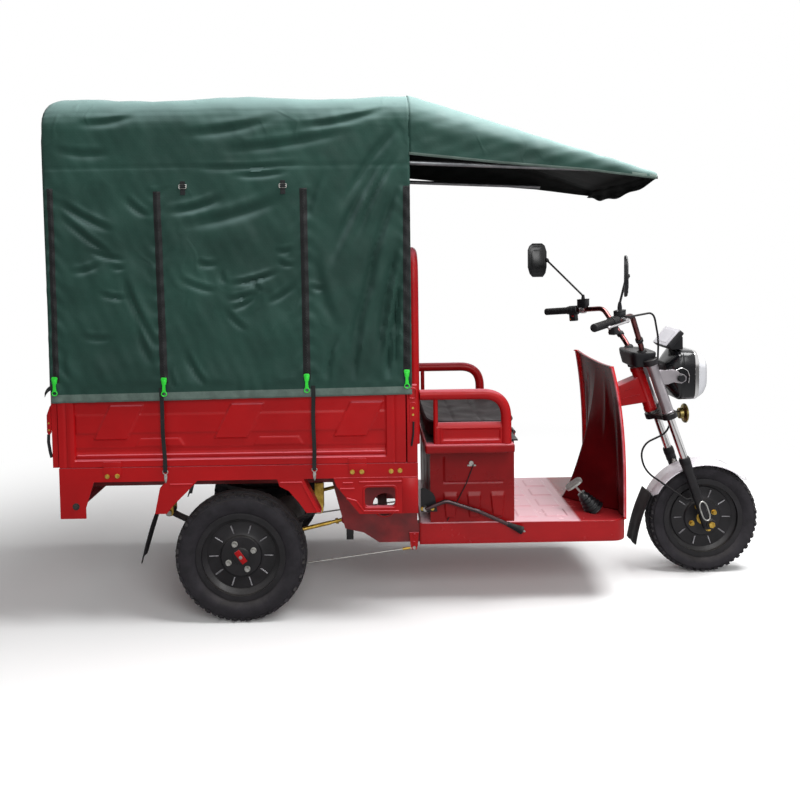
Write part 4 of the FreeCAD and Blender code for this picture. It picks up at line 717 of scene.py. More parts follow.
def gateRelief(u, z, v):
    e = v["edge"]
    left, right = v["field"]
    field = insideOf(u, z, [(left, 0.633), (right, 0.633), (right, 0.915), (left, 0.915)], e)
    level = -0.009 * field
    plateau = insideOf(u, z, [(left + 0.004, 0.731), (right - 0.004, 0.731), (right - 0.004, 0.808),
        (left + 0.004, 0.808)], e)
    level += 0.0035 * plateau
    for middle in v["pads"]:
        h, s = v["padHalf"], v["slant"]
        corners = [(middle - h - s, 0.709), (middle + h - s, 0.709), (middle + h + s, 0.842),
            (middle - h + s, 0.842)]
        level = level + (-0.001 - level) * insideOf(u, z, corners, e)
    for middle in v["flats"]:
        h = v["flatHalf"]
        corners = [(middle - h - 0.012, 0.682), (middle + h + 0.012, 0.682), (middle + h - 0.008, 0.716),
            (middle - h + 0.008, 0.716)]
        level += 0.0038 * insideOf(u, z, corners, e * 0.8)
    level -= 0.003 * insideOf(u, z, [(left + 0.002, 0.659), (right - 0.002, 0.659),
        (right - 0.002, 0.681), (left + 0.002, 0.681)], e * 0.7)
    level += 0.005 * insideOf(u, z, [(left + 0.004, 0.641), (right - 0.004, 0.641),
        (right - 0.004, 0.657), (left + 0.004, 0.657)], e * 0.7)
    return level


def addPressing(bm, us, vs, depth, back, make, slot=0):
    # a pressed face with its rim turned back to a flat inside: depth is measured inwards
    us = np.concatenate([[us[0]], us, [us[-1]]])
    vs = np.concatenate([[vs[0]], vs, [vs[-1]]])
    rows = []
    for i, v in enumerate(vs):
        d = depth(us, np.full_like(us, v))
        if i in (0, len(vs) - 1):
            d = np.full_like(us, back)
        d[0] = d[-1] = back
        rows.append([list(make(float(u), float(v), float(k))) for u, k in zip(us, d)])
    points = np.array(rows)
    made = addGrid(bm, points, slot)
    n, m = points.shape[:2]
    right = [made[i * m + m - 1] for i in range(1, n)]
    left = [made[i * m] for i in range(n - 2, 0, -1)]
    bm.faces.new(made[:m] + right + made[(n - 1) * m:-1][::-1] + left).material_index = slot


def buildSideGate(name, node, side, v):
    bm = bmesh.new()
    us = np.arange(-0.656, 0.6285, v["cell"])
    vs = np.arange(v["low"], v["high"], v["cell"] * 0.8)

    def depth(u, z):
        # a groove down each end of the gate
        level = gateRelief(u, z, v) - 0.004 * np.exp(-((u + 0.629) / 0.0028) ** 2)
        level = level - 0.003 * np.exp(-((u - 0.587) / 0.003) ** 2)
        level = level + 0.0015 * np.exp(-((u + 0.612) / 0.004) ** 2)
        return 0.0015 - level
    addPressing(bm, us, vs, depth, v["thick"], lambda u, z, d: at(u, side * (0.47 - d), z))
    for middle in (-0.46, 0.446):
        low, high = side * 0.4725, side * 0.4695
        addBox(bm, (middle - 0.033, low, 0.6105), (middle + 0.033, high, 0.6305), 0, 0.001)
        low, high = side * 0.4725, side * 0.47
        addBox(bm, (middle - 0.033, low, 0.5785), (middle + 0.033, high, 0.61), 0, 0.001)
    finishPiece(name, bm, "chassis", [redEnamel], (node,), 40)


buildSideGate("gateRight", "side_gate_right", -1, gateValues)
buildSideGate("gateLeft", "side_gate_left", 1, gateValues)
print("gates ready")


# more finishes

# satin black enamel on rims and brackets
blackEnamel = makeSurface("blackEnamel", "#242225", "#151416", cloud=0.08, rough=0.28, roughSpread=0.2,
    specular=0.3, grain=0.008, grainDepth=0.0006, dust=0.15)
# tyre rubber: dull, greyed by handling, with a fine mould grain
tyreRubber = makeSurface("tyreRubber", "#2a272c", "#1b191d", cloud=0.05, rough=0.72, roughSpread=0.15,
    specular=0.35, grain=0.003, grainDepth=0.0006, grainStrength=0.3, dust=0.2)
# soft moulded rubber of grips, flaps and the pedal's boot
softRubber = makeSurface("softRubber", "#1c1b1e", "#131215", cloud=0.04, rough=0.55, specular=0.25,
    roughSpread=0.15, grain=0.004, grainStrength=0.25, dust=0.15)
# bright chrome plate
chromePlate = makeSurface("chromePlate", "#dcdbdb", "#cfcdcd", cloud=0.1, metal=1.0, rough=0.08,
    roughSpread=0.08, grain=0.01, grainStrength=0.04)
# chrome of the handlebar, tinted dark red as a painted reflection of the red around it
reflectionTintedChrome = makeSurface("reflectionTintedChrome", "#8b5553", "#4b2c2d", cloud=0.12, metal=1.0, rough=0.16,
    roughSpread=0.1, grain=0.01, grainStrength=0.04)
# cast and turned aluminium, a little satin
satinAluminium = makeSurface("satinAluminium", "#c3c1c2", "#a9a6a8", cloud=0.05, metal=1.0, rough=0.3,
    roughSpread=0.15, grain=0.003, grainStrength=0.12)
# silver paint on the fork's covers: metal flake under lacquer
silverPaint = makeSurface("silverPaint", "#b4aeb2", "#a09a9f", cloud=0.1, metal=0.7, rough=0.32,
    coat=0.5, coatRough=0.1, grain=0.002, grainStrength=0.1)
# zinc plate on bolts, hooks and buckles
zincPlate = makeSurface("zincPlate", "#bdbcb8", "#8f8e8a", cloud=0.015, metal=1.0, rough=0.34,
    roughSpread=0.2, grain=0.002)
# yellow passivated zinc, faintly rainbowed
goldZinc = makeSurface("goldZinc", "#cfae57", "#a07f35", cloud=0.012, metal=1.0, rough=0.32,
    roughSpread=0.2, grain=0.002)
# moulded black ABS with a spark-eroded grain
blackPlastic = makeSurface("blackPlastic", "#1c1c1f", "#131316", cloud=0.06, rough=0.36,
    roughSpread=0.14, specular=0.28, grain=0.0025, grainStrength=0.18, dust=0.08)
# the lamp's polished black shell
glossPlastic = makeSurface("glossPlastic", "#151518", "#0e0e11", cloud=0.08, rough=0.14, roughSpread=0.1,
    specular=0.45, grain=0.01, grainStrength=0.05)
# pale grey moulded plastic of the display's face
greyPlastic = makeSurface("greyPlastic", "#c9c7cd", "#b5b3ba", cloud=0.06, rough=0.3, coat=0.3,
    grain=0.004, grainStrength=0.08)
# seat vinyl: dark, glossy, with a leather grain drawn about twice as coarse as the real one
seatVinyl = makeSurface("seatVinyl", "#2c1e22", "#1f1518", cloud=0.1, rough=0.46, roughSpread=0.16,
    specular=0.2, grain=0.005, grainDepth=0.0012, grainStrength=0.35)
# galvanised bow tube
bowTube = makeSurface("bowTube", "#9a9c9e", "#7b7d80", cloud=0.06, metal=1.0, rough=0.36,
    roughSpread=0.2, grain=0.01)
# clear moulded lens over a bright reflector, coloured near white and almost opaque as a painted
# reflection
reflectionWhitenedLens = makeSurface("reflectionWhitenedLens", "#eeeff3", "#e4e5eb", cloud=0.2, rough=0.08, ior=1.5, clear=0.05,
    metal=0.2, grain=0.02, grainStrength=0.05)
# red and amber moulded lens, cut with flutes
redLens = makeSurface("redLens", "#c41a20", "#a01016", cloud=0.05, rough=0.1, ior=1.5, clear=0.35,
    coat=0.5, grain=0.01)
amberLens = makeSurface("amberLens", "#e07a1a", "#c96512", cloud=0.05, rough=0.1, ior=1.5, clear=0.35,
    coat=0.5, grain=0.01)
# mirror glass
mirrorGlass = makeSurface("mirrorGlass", "#d9dde0", "#d3d7da", cloud=0.3, metal=1.0, rough=0.03,
    grain=0.05, grainStrength=0.02)
# lead battery's moulded case
batteryCase = makeSurface("batteryCase", "#3a3d42", "#2c2f34", cloud=0.06, rough=0.5, roughSpread=0.15,
    grain=0.004, dust=0.3)
# drum and axle castings under a film of road dirt
dirtyIron = makeSurface("dirtyIron", "#3b3836", "#262423", cloud=0.03, metal=0.3, rough=0.62,
    roughSpread=0.2, grain=0.006, grainDepth=0.0015, grainStrength=0.4, dust=0.3)
# the wheels' pressed ribs, coloured pale as a painted highlight along their edges
ribHighlightFinish = makeSurface("ribHighlightFinish", "#a9a7ab", "#6b696d", cloud=0.02, metal=0.5, rough=0.35,
    roughSpread=0.15, grain=0.004)
# polished guard over the front wheel, coloured close to white as a painted reflection of its pale
# surroundings
reflectionWhitenedGuard = makeSurface("reflectionWhitenedGuard", "#e6e1e6", "#d3ced4", cloud=0.1, metal=0.1, rough=0.16,
    roughSpread=0.08, coat=0.3, grain=0.01, grainStrength=0.05)
# tarnished brass of the horn
hornBrass = makeSurface("hornBrass", "#a3925a", "#4d4425", cloud=0.02, metal=1.0, rough=0.28,
    roughSpread=0.2, grain=0.003)
print("finishes ready")


# repeats made by Geometry Nodes

def newTree(name, inputs):
    tree = bpy.data.node_groups.new(name, "GeometryNodeTree")
    tree.interface.new_socket("Geometry", in_out="INPUT", socket_type="NodeSocketGeometry")
    for label, kind in inputs:
        tree.interface.new_socket(label, in_out="INPUT", socket_type="NodeSocket" + kind)
    tree.interface.new_socket("Geometry", in_out="OUTPUT", socket_type="NodeSocketGeometry")
    return tree, tree.nodes.new("NodeGroupInput"), tree.nodes.new("NodeGroupOutput")


def makeRingTree():
    # blocks standing on a circle about the Y axis; every other one may step aside and lean the other way
    tree, given, result = newTree("blocksOnRing",
        (("Count", "Int"), ("Radius", "Float"), ("Sides", "Int"), ("Across", "Float"),
        ("Along", "Float"), ("Height", "Float"), ("Step Aside", "Float"), ("Lean", "Float"),
        ("Plane", "Float"), ("Centre", "Vector"), ("Material", "Material")))
    circle = addNode(tree, "GeometryNodeMeshCircle", {},
        {"Vertices": given.outputs["Count"], "Radius": given.outputs["Radius"]})
    number = addNode(tree, "GeometryNodeInputIndex")
    odd = addNode(tree, "ShaderNodeMath", {"operation": "MODULO", 1: 2.0}, {0: number.outputs[0]})
    sign = addNode(tree, "ShaderNodeMapRange", {"To Min": -1.0, "To Max": 1.0}, {"Value": odd.outputs[0]})
    aside = reckon(tree, "MULTIPLY", sign.outputs["Result"], given.outputs["Step Aside"])
    level = reckon(tree, "ADD", aside, given.outputs["Plane"])
    shift = addNode(tree, "ShaderNodeCombineXYZ", {}, {"Z": level})
    spot = addNode(tree, "GeometryNodeInputPosition")
    facing = addNode(tree, "FunctionNodeAlignRotationToVector", {"axis": "Z"},
        {"Vector": spot.outputs[0]})
    spread = addNode(tree, "GeometryNodeSetPosition", {},
        {"Geometry": circle.outputs[0], "Offset": shift.outputs[0]})
    block = addNode(tree, "GeometryNodeMeshCylinder", {"Radius": 0.70711, "Depth": 1.0},
        {"Vertices": given.outputs["Sides"]})
    size = addNode(tree, "ShaderNodeCombineXYZ", {},
        {"X": given.outputs["Along"], "Y": given.outputs["Across"], "Z": given.outputs["Height"]})
    quarter = addNode(tree, "GeometryNodeTransform", {"Rotation": (0, 0, math.pi / 4)},
        {"Geometry": block.outputs["Mesh"]})
    sized = addNode(tree, "GeometryNodeTransform", {},
        {"Geometry": quarter.outputs[0], "Scale": size.outputs[0]})
    placedOn = addNode(tree, "GeometryNodeInstanceOnPoints", {},
        {"Points": spread.outputs[0], "Instance": sized.outputs[0], "Rotation": facing.outputs[0]})
    angle = reckon(tree, "MULTIPLY", sign.outputs["Result"], given.outputs["Lean"])
    turn = addNode(tree, "ShaderNodeCombineXYZ", {}, {"Z": angle})
    leaned = addNode(tree, "GeometryNodeRotateInstances", {"Local Space": True},
        {"Instances": placedOn.outputs[0], "Rotation": turn.outputs[0]})
    real = addNode(tree, "GeometryNodeRealizeInstances", {}, {"Geometry": leaned.outputs[0]})
    stood = addNode(tree, "GeometryNodeTransform", {"Rotation": (math.pi / 2, 0, 0)},
        {"Geometry": real.outputs[0], "Translation": given.outputs["Centre"]})
    dressed = addNode(tree, "GeometryNodeSetMaterial", {},
        {"Geometry": stood.outputs[0], "Material": given.outputs["Material"]})
    tree.links.new(dressed.outputs[0], result.inputs[0])
    return tree


def makeBoltTree():
    # a washer and a head on every point of the piece, each turned its own way about Z
    tree, given, result = newTree("boltsOnPoints",
        (("Head", "Float"), ("Rise", "Float"), ("Washer", "Float"), ("Sides", "Int"), ("Seed", "Int"),
        ("Turn", "Vector"), ("Material", "Material")))
    washer = addNode(tree, "GeometryNodeMeshCylinder", {"Vertices": 20, "Depth": 0.0016},
        {"Radius": given.outputs["Washer"]})
    head = addNode(tree, "GeometryNodeMeshCylinder", {},
        {"Vertices": given.outputs["Sides"], "Radius": given.outputs["Head"],
        "Depth": given.outputs["Rise"]})
    half = addNode(tree, "ShaderNodeMath", {"operation": "MULTIPLY", 1: 0.5}, {0: given.outputs["Rise"]})
    up = addNode(tree, "ShaderNodeCombineXYZ", {}, {"Z": half.outputs[0]})
    raised = addNode(tree, "GeometryNodeTransform", {},
        {"Geometry": head.outputs["Mesh"], "Translation": up.outputs[0]})
    both = addNode(tree, "GeometryNodeJoinGeometry")
    tree.links.new(washer.outputs["Mesh"], both.inputs[0])
    tree.links.new(raised.outputs[0], both.inputs[0])
    placedOn = addNode(tree, "GeometryNodeInstanceOnPoints", {},
        {"Points": given.outputs["Geometry"], "Instance": both.outputs[0],
        "Rotation": given.outputs["Turn"]})
    spin = addNode(tree, "FunctionNodeRandomValue", {"data_type": "FLOAT", 2: 0.0, 3: 6.28},
        {"Seed": given.outputs["Seed"]})
    about = addNode(tree, "ShaderNodeCombineXYZ", {}, {"Z": spin.outputs[1]})
    turned = addNode(tree, "GeometryNodeRotateInstances", {"Local Space": True},
        {"Instances": placedOn.outputs[0], "Rotation": about.outputs[0]})
    real = addNode(tree, "GeometryNodeRealizeInstances", {}, {"Geometry": turned.outputs[0]})
    dressed = addNode(tree, "GeometryNodeSetMaterial", {},
        {"Geometry": real.outputs[0], "Material": given.outputs["Material"]})
    tree.links.new(dressed.outputs[0], result.inputs[0])
    return tree


def grow(name, tree, body, values, points=((0, 0, 0),)):
    # runs a tree on a piece made of points, and keeps what it makes as a plain mesh
    mesh = bpy.data.meshes.new(name)
    mesh.from_pydata([tuple(p) for p in points], [], [])
    piece = bpy.data.objects.new(name, mesh)
    bpy.context.collection.objects.link(piece)
    modifier = piece.modifiers.new("repeat", "NODES")
    modifier.node_group = tree
    for item in tree.interface.items_tree:
        if item.in_out == "INPUT" and item.name in values:
            modifier[item.identifier] = values[item.name]
    bake(piece)
    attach(piece, body)


ringTree = makeRingTree()
boltTree = makeBoltTree()


# wheels

wheelValues = {"rear": {"radius": 0.249, "width": 0.1, "rim": 0.076, "face": -0.024, "blocks": 56},
    "front": {"radius": 0.235, "width": 0.088, "rim": 0.066, "face": -0.025, "blocks": 52},
    "boltCircle": 0.053, "ribs": 10}


def tyreProfile(v):
    # half of a cross-ply tyre's section, from its bead over the shoulder to its raised middle band
    r, h, bead = v["radius"], v["width"] / 2, v["rim"] / 2 - 0.0045
    wall = [(0.1523, bead), (0.17, bead), (0.1755, bead + 0.0035), (0.184, h - 0.0055),
        (0.195, h - 0.0015), (0.206, h - 0.0003), (0.215, h - 0.0015)]
    wall += [(r - 0.024, h - 0.0045), (r - 0.0225, h - 0.007), (r - 0.015, h - 0.0095),
        (r - 0.009, h * 0.66), (r - 0.0055, h * 0.44), (r - 0.0045, h * 0.4), (r - 0.001, h * 0.385),
        (r - 0.0002, h * 0.2)]
    return wall


def buildTyre(name, node, body, centre, v):
    bm = bmesh.new()
    wall = tyreProfile(v)
    ring = wall + [(r, -a) for r, a in reversed(wall)]
    addLathe(bm, ring, centre, steps=120, closed=True)
    finishPiece(name, bm, body, [tyreRubber], (node,), 30)
    low = v["width"] / 2
    for side, label in ((-1, "Outer"), (1, "Inner")):
        grow(name + "Shoulder" + label, ringTree, body,
            {"Count": v["blocks"], "Radius": v["radius"] - 0.0105, "Sides": 4, "Across": low * 0.36,
            "Along": 0.0165, "Height": 0.009, "Step Aside": 0.0022, "Lean": 0.42,
            "Plane": side * low * 0.68, "Centre": centre, "Material": tyreRubber})
        grow(name + "Rib" + label, ringTree, body,
            {"Count": v["blocks"], "Radius": v["radius"] - 0.0018, "Sides": 4, "Across": low * 0.16,
            "Along": 0.019, "Height": 0.003, "Step Aside": 0.0012, "Lean": -0.5,
            "Plane": side * low * 0.28, "Centre": centre, "Material": tyreRubber})


def buildRim(name, node, body, centre, side, v):
    # rolled rim, dished disc with its hub, nuts on a circle; side is where the dish faces
    bm = bmesh.new()
    h = v["rim"] / 2
    face = -v["face"]
    outer = [(0.1652, h), (0.169, h - 0.0008), (0.169, h - 0.003), (0.1655, h - 0.0038),
        (0.153, h - 0.0042), (0.152, h - 0.006), (0.1516, h - 0.017), (0.146, h - 0.022),
        (0.1345, h - 0.027), (0.132, h - 0.031)]
    ring = outer + [(r, -a) for r, a in reversed(outer)]
    inner = [(0.1483, -h), (0.148, -h + 0.016), (0.142, -h + 0.021), (0.13, -h + 0.027),
        (0.128, -h + 0.031)]
    ring += [(0.162, -h)] + inner + [(r, -a) for r, a in reversed(inner)] + [(0.162, h)]
    addLathe(bm, ring, centre, steps=96, closed=True)
    dish = [(0.0, face + 0.004), (0.029, face + 0.004), (0.033, face + 0.002), (0.034, face),
        (0.0745, face), (0.0765, face - 0.0015), (0.08, face - 0.008), (0.09, face - 0.0125),
        (0.115, face - 0.0135), (0.124, face - 0.015), (0.13, face - 0.015), (0.13, face - 0.0195),
        (0.095, face - 0.0185), (0.0, face - 0.0185)]
    addLathe(bm, [(r, side * a) for r, a in dish], centre, steps=96)
    drum = {"rear": [(0.0, face - 0.018), (0.09, face - 0.018), (0.092, face - 0.024), (0.092, -0.056),
        (0.088, -0.056), (0.088, face - 0.026), (0.0, face - 0.026)],
        "front": [(0.01, face - 0.014), (0.064, face - 0.014), (0.066, face - 0.018), (0.066, -0.0235),
        (0.064, -0.0255), (0.01, -0.0255)]}[v["kind"]]
    addLathe(bm, [(r, side * a) for r, a in drum], centre, steps=64, slot=1)
    finishPiece(name, bm, body, [blackEnamel, dirtyIron], (node,), 30)
    grow(name + "Ribs", ringTree, body, {"Count": wheelValues["ribs"], "Radius": 0.1035, "Sides": 4,
        "Across": 0.0035, "Along": 0.0046, "Height": 0.036, "Plane": -side * (face - 0.0115),
        "Centre": centre, "Material": ribHighlightFinish})
    turn = (math.pi / 2, 0, 0) if side < 0 else (-math.pi / 2, 0, 0)
    nuts = []
    for i in range(4):
        a = math.pi / 2 * i + 0.45
        nuts.append(Vector(centre) + Vector((math.cos(a) * wheelValues["boltCircle"],
            side * (face + 0.0008), math.sin(a) * wheelValues["boltCircle"])))
    grow(name + "Nuts", boltTree, body, {"Head": 0.0085, "Rise": 0.013, "Washer": 0.0115, "Sides": 6,
        "Seed": 4, "Turn": turn, "Material": zincPlate if v["kind"] == "rear" else goldZinc}, nuts)
    bm = bmesh.new()
    if v["kind"] == "rear":
        # the axle's squared end shows red in the hub
        c, s = math.cos(math.radians(35)), math.sin(math.radians(35))
        ends = mm(-11, -27, 11, -27, 11, 27, -11, 27)
        corners = [(x * c - z * s + centre[0], x * s + z * c + centre[2]) for x, z in ends]
        depth = [side * (face + out) + centre[1] for out in (0.0042, 0.0105)]
        addPrism(bm, corners, depth, lambda u, w, d: Vector((u, d, w)), 0, 0.0015)
        addLathe(bm, [(0, side * (face + 0.0102)), (0.0065, side * (face + 0.0102)),
            (0.0065, side * (face + 0.0135)), (0, side * (face + 0.0135))], centre, steps=24, slot=1)
    else:
        addLathe(bm, [(0.0098, side * (face + 0.003)), (0.026, side * (face + 0.003)),
            (0.028, side * (face + 0.006)), (0.022, side * (face + 0.0095)),
            (0.0098, side * (face + 0.0095))], centre, steps=40, slot=1, closed=True)
    finishPiece(name + "Centre", bm, body, [redEnamel, zincPlate if v["kind"] == "rear" else goldZinc],
        (), 30)


for sideName, side in (("right", -1), ("left", 1)):
    centre = at(0, side * 0.4, 0.249)
    values = dict(wheelValues["rear"], kind="rear")
    buildTyre("rearTyre" + sideName.capitalize(), "rear_tyre_" + sideName, "rear_wheel_" + sideName,
        centre, values)
    buildRim("rearRim" + sideName.capitalize(), "rear_rim_" + sideName, "rear_wheel_" + sideName, centre,
        side, values)
buildTyre("frontTyre", "front_tyre", "front_wheel", at(frontAxle[0], 0, frontAxle[1]),
    dict(wheelValues["front"], kind="front"))
buildRim("frontRim", "front_rim", "front_wheel", at(frontAxle[0], 0, frontAxle[1]), -1,
    dict(wheelValues["front"], kind="front"))
print("wheels ready")


# seat box, rim and seat

seatValues = {"rear": 0.728, "front": 1.058, "half": 0.306, "floor": 0.328, "top": 0.622, "rim": 0.656,
    "wall": 0.006, "press": 0.0042, "pillow": 0.0075, "rimBack": 0.704, "rimFront": 1.046,
    "rimHalf": 0.398}


def boxRelief(u, z, v):
    # three pockets, a groove with a corner in it, and shallow flats between
    length, height = v["front"] - v["rear"], v["top"] - v["floor"]
    level = np.zeros_like(u)
    for share in (0.148, 0.432, 0.71):
        left = v["rear"] + length * share
        right = left + length * 0.18
        low, high = v["floor"] + height * 0.05, v["floor"] + height * 0.41
        # a pillow with a sloping top, narrower at its foot
        taper = 0.01 * (high - z) / (high - low)
        across = np.clip(np.minimum(u - left - taper, right - taper - u) / 0.004, 0, 1)
        rise = np.clip((high - z) / 0.016, 0, 1) * np.clip((z - low) / 0.01, 0, 1)
        level = level + v["pillow"] * across * rise
    left, right = v["rear"] + length * 0.148, v["rear"] + length * 0.88
    low, high = v["floor"] + height * 0.52, v["floor"] + height * 0.89
    level = level - v["press"] * insideOf(u, z,
        [(left, low), (right, low), (right, low + 0.01), (left, low + 0.01)], 0.004)
    level = level - v["press"] * insideOf(u, z,
        [(left, low), (left + 0.01, low), (left + 0.01, high), (left, high)], 0.004)
    return level


def buildSeatBox(v):
    bm = bmesh.new()
    us = np.linspace(v["rear"], v["front"], 101)
    vs = np.linspace(v["floor"], v["top"], 85)
    for side in (-1, 1):
        addPressing(bm, us, vs, lambda u, z: 0.0002 - boxRelief(u, z, v), v["wall"],
            lambda u, z, d: at(u, side * (v["half"] - d), z))
    ys = np.linspace(-v["half"] + v["wall"], v["half"] - v["wall"], 70)

    def frontRelief(u, z):
        level = np.zeros_like(u)
        for middle in (-0.19, 0.0, 0.19):
            corners = [(middle - 0.075, 0.39), (middle + 0.075, 0.39), (middle + 0.075, 0.56),
                (middle - 0.075, 0.56)]
            level = level + 0.0018 * insideOf(u, z, corners, 0.012)
        return 0.0002 + level
    addPressing(bm, ys, vs[::2], frontRelief, v["wall"], lambda u, z, d: at(v["front"] - d, u, z))
    addPressing(bm, ys, vs[::2], frontRelief, v["wall"], lambda u, z, d: at(v["rear"] + d, u, z))
    addBox(bm, (v["rear"] + 0.003, -v["half"] + 0.003, v["floor"]),
        (v["front"] - 0.003, v["half"] - 0.003, v["floor"] + 0.003))
    # the folded rim that the seat and its arms stand on, open in the middle
    for side in (-1, 1):
        low, high = side * 0.303, side * v["rimHalf"]
        addBox(bm, (v["rimBack"], low, v["top"]), (v["rimFront"], high, v["rim"]), 0, 0.009, 4)
    addBox(bm, (v["rimBack"], -0.3035, v["top"]), (0.731, 0.3035, v["rim"]), 0, 0.004, 3)
    addBox(bm, (1.055, -0.3035, v["top"]), (1.058, 0.3035, v["rim"]), 0, 0.0008, 1)
    for y in (-0.1836, 0.1836):
        for off in (-0.0355, 0.0355):
            addBox(bm, (1.071, y + off - 0.0015, 0.648), (1.077, y + off + 0.0015, 0.665), 0, 0.0006, 1)
            addBox(bm, (1.058, y + off - 0.0015, 0.648), (1.074, y + off + 0.0015, 0.655), 0, 0.0006, 1)
        addTube(bm, [at(1.074, y - 0.037, 0.662), at(1.074, y + 0.037, 0.662)], 0.003, 16, 1)
    # the box wears the darkened enamel as painted shade under the seat
    finishPiece("seatBox", bm, "chassis", [shadeDarkenedEnamel, zincPlate], ("battery_box",), 35)
    # the box's lock: its cover plate and the catch under it
    bm = bmesh.new()
    addLathe(bm, mm(0, -310.5, 8.5, -310.5, 9.5, -309.5, 9.5, -306.3, 0, -306.3), at(0.889, 0, 0.562),
        steps=28)
    addBox(bm, (0.8875, -0.3112, 0.5585), (0.8905, -0.31, 0.5655), 0, 0.0004, 1)
    addBox(bm, (0.874, -0.3075, 0.549), (0.908, -0.306, 0.556), 0, 0.0006, 1)
    finishPiece("seatLock", bm, "chassis", [zincPlate])


buildSeatBox(seatValues)

armValues = {"y": 0.374, "top": 0.846, "front": 1.016, "rear": 0.6856, "foot": 0.6565, "tube": 0.02,
    "bend": 0.13}


def buildSeatArms(v):
    bm = bmesh.new()
    for side in (-1, 1):
        y = side * v["y"]
        path = roundPath([at(v["rear"], y, v["top"]), at(v["front"], y, v["top"]),
            at(v["front"], y, v["foot"])], v["bend"], 14)
        addTube(bm, path, v["tube"], 24)
        addTube(bm, [at(0.746, y, 0.6565), at(0.746, y, 0.842)], 0.009, 16)
        # the tub's side: a folded plate with a sunk middle
        us = np.arange(0.748, 1.0155, 0.004)
        vs = np.arange(0.6572, 0.7405, 0.004)

        def depth(u, z):
            corners = mm(768, 669, 994, 669, 994, 716, 768, 716)
            folded = np.clip((z - 0.719) / 0.0215, 0, 1)
            seams = np.exp(-((u - 0.76) / 0.0022) ** 2) + np.exp(-((u - 1.003) / 0.0022) ** 2)
            sunk = 0.007 * insideOf(u, z, corners, 0.006)
            return 0.0005 + sunk + 0.015 * folded ** 1.3 + 0.002 * seams * (folded == 0)
        addPressing(bm, us, vs, depth, 0.0215, lambda u, z, d: at(u, side * (0.385 - d), z))
    finishPiece("seatArms", bm, "chassis", [redEnamel], ("seat_frame",), 40)


buildSeatArms(armValues)


hoopValues = {"x": 0.6653, "half": 0.374, "foot": 0.66, "top": 1.39, "bend": 0.12, "tube": 0.02}


def buildHoop(v):
    bm = bmesh.new()
    x, y = v["x"], v["half"]
    path = [at(x, -y, v["foot"]), at(x, -y, v["top"]), at(x, y, v["top"]), at(x, y, v["foot"])]
    addTube(bm, roundPath(path, v["bend"], 16), v["tube"], 24)
    finishPiece("backrestHoop", bm, "chassis", [redEnamel], ("backrest_hoop",), 40)


buildHoop(hoopValues)


cushionValues = {"rear": 0.716, "front": 1.062, "half": 0.34, "low": 0.6632, "top": 0.71}


def buildCushion(v):
    # crowned top with two sewn channels, sides that pull in under a piped seam
    bm = bmesh.new()
    midLong = (v["rear"] + v["front"]) / 2
    halfLong = (v["front"] - v["rear"]) / 2

    def outline(share, count):
        # a rounded rectangle shrunk towards the middle
        return [(x * halfLong * share, y * v["half"] * share) for x, y in softSquare(count, 7)]
    count = 200
    rows = []
    sides = [(0.9, v["low"]), (0.965, v["low"] + 0.004), (0.985, v["low"] + 0.012),
        (0.987, v["low"] + 0.024), (0.983, v["low"] + 0.04), (0.984, v["low"] + 0.052),
        (0.99, v["low"] + 0.06), (0.998, v["low"] + 0.0625), (1.000, v["low"] + 0.066),
        (0.998, v["low"] + 0.0695), (0.99, v["low"] + 0.072)]
    for share, z in sides:
        rows.append([(midLong + x, y, z) for x, y in outline(share, count)])
    tops = 26
    for i in range(1, tops + 1):
        share = 0.985 * (1 - i / tops) + 0.002
        row = []
        for x, y in outline(share, count):
            edge = max(abs(x) / halfLong, abs(y) / v["half"])
            z = v["low"] + 0.072 + (v["top"] - v["low"] - 0.072) * (1 - edge ** 5)
            for place in (-0.055, 0.055):
                z -= 0.0042 * math.exp(-((x - place) / 0.006) ** 2) * (1 - edge ** 8)
            z += 0.0016 * math.sin(y * 31 + x * 9) * math.sin(x * 27 + 1) * (1 - edge ** 4)
            row.append((midLong + x, y, z))
        rows.append(row)
    points = np.array([[list(at(*p)) for p in row] for row in rows])
    made = addGrid(bm, points, 0, True)
    bm.faces.new(made[:count])
    bm.faces.new(made[-count:])
    piece = finishPiece("seatCushion", bm, "seat_lid", [seatVinyl], ("seat_cushion",), 50)
    bm = bmesh.new()
    ring = [Vector(at(midLong + x, y, v["low"] + 0.066)) for x, y in outline(1.001, 160)]
    addTube(bm, ring + ring[:1], 0.0026, 8, caps=False)
    finishPiece("cushionPiping", bm, "seat_lid", [seatVinyl])


buildCushion(cushionValues)
print("seat ready")


# driver's floor: pressed treads, rounded front corners, a folded skirt

floorValues = {"rear": 0.684, "front": 1.506, "half": 0.312, "corner": 0.06, "top": 0.328, "low": 0.242,
    "treads": ((1.08, 1.165), (1.192, 1.282)), "rows": (0.08, 0.24, 0.3, 0.46, 0.54, 0.7, 0.76, 0.92)}


def floorHalf(x, v):
    past = max(x - (v["front"] - v["corner"]), 0)
    return v["half"] - v["corner"] + math.sqrt(max(v["corner"] ** 2 - past ** 2, 0))


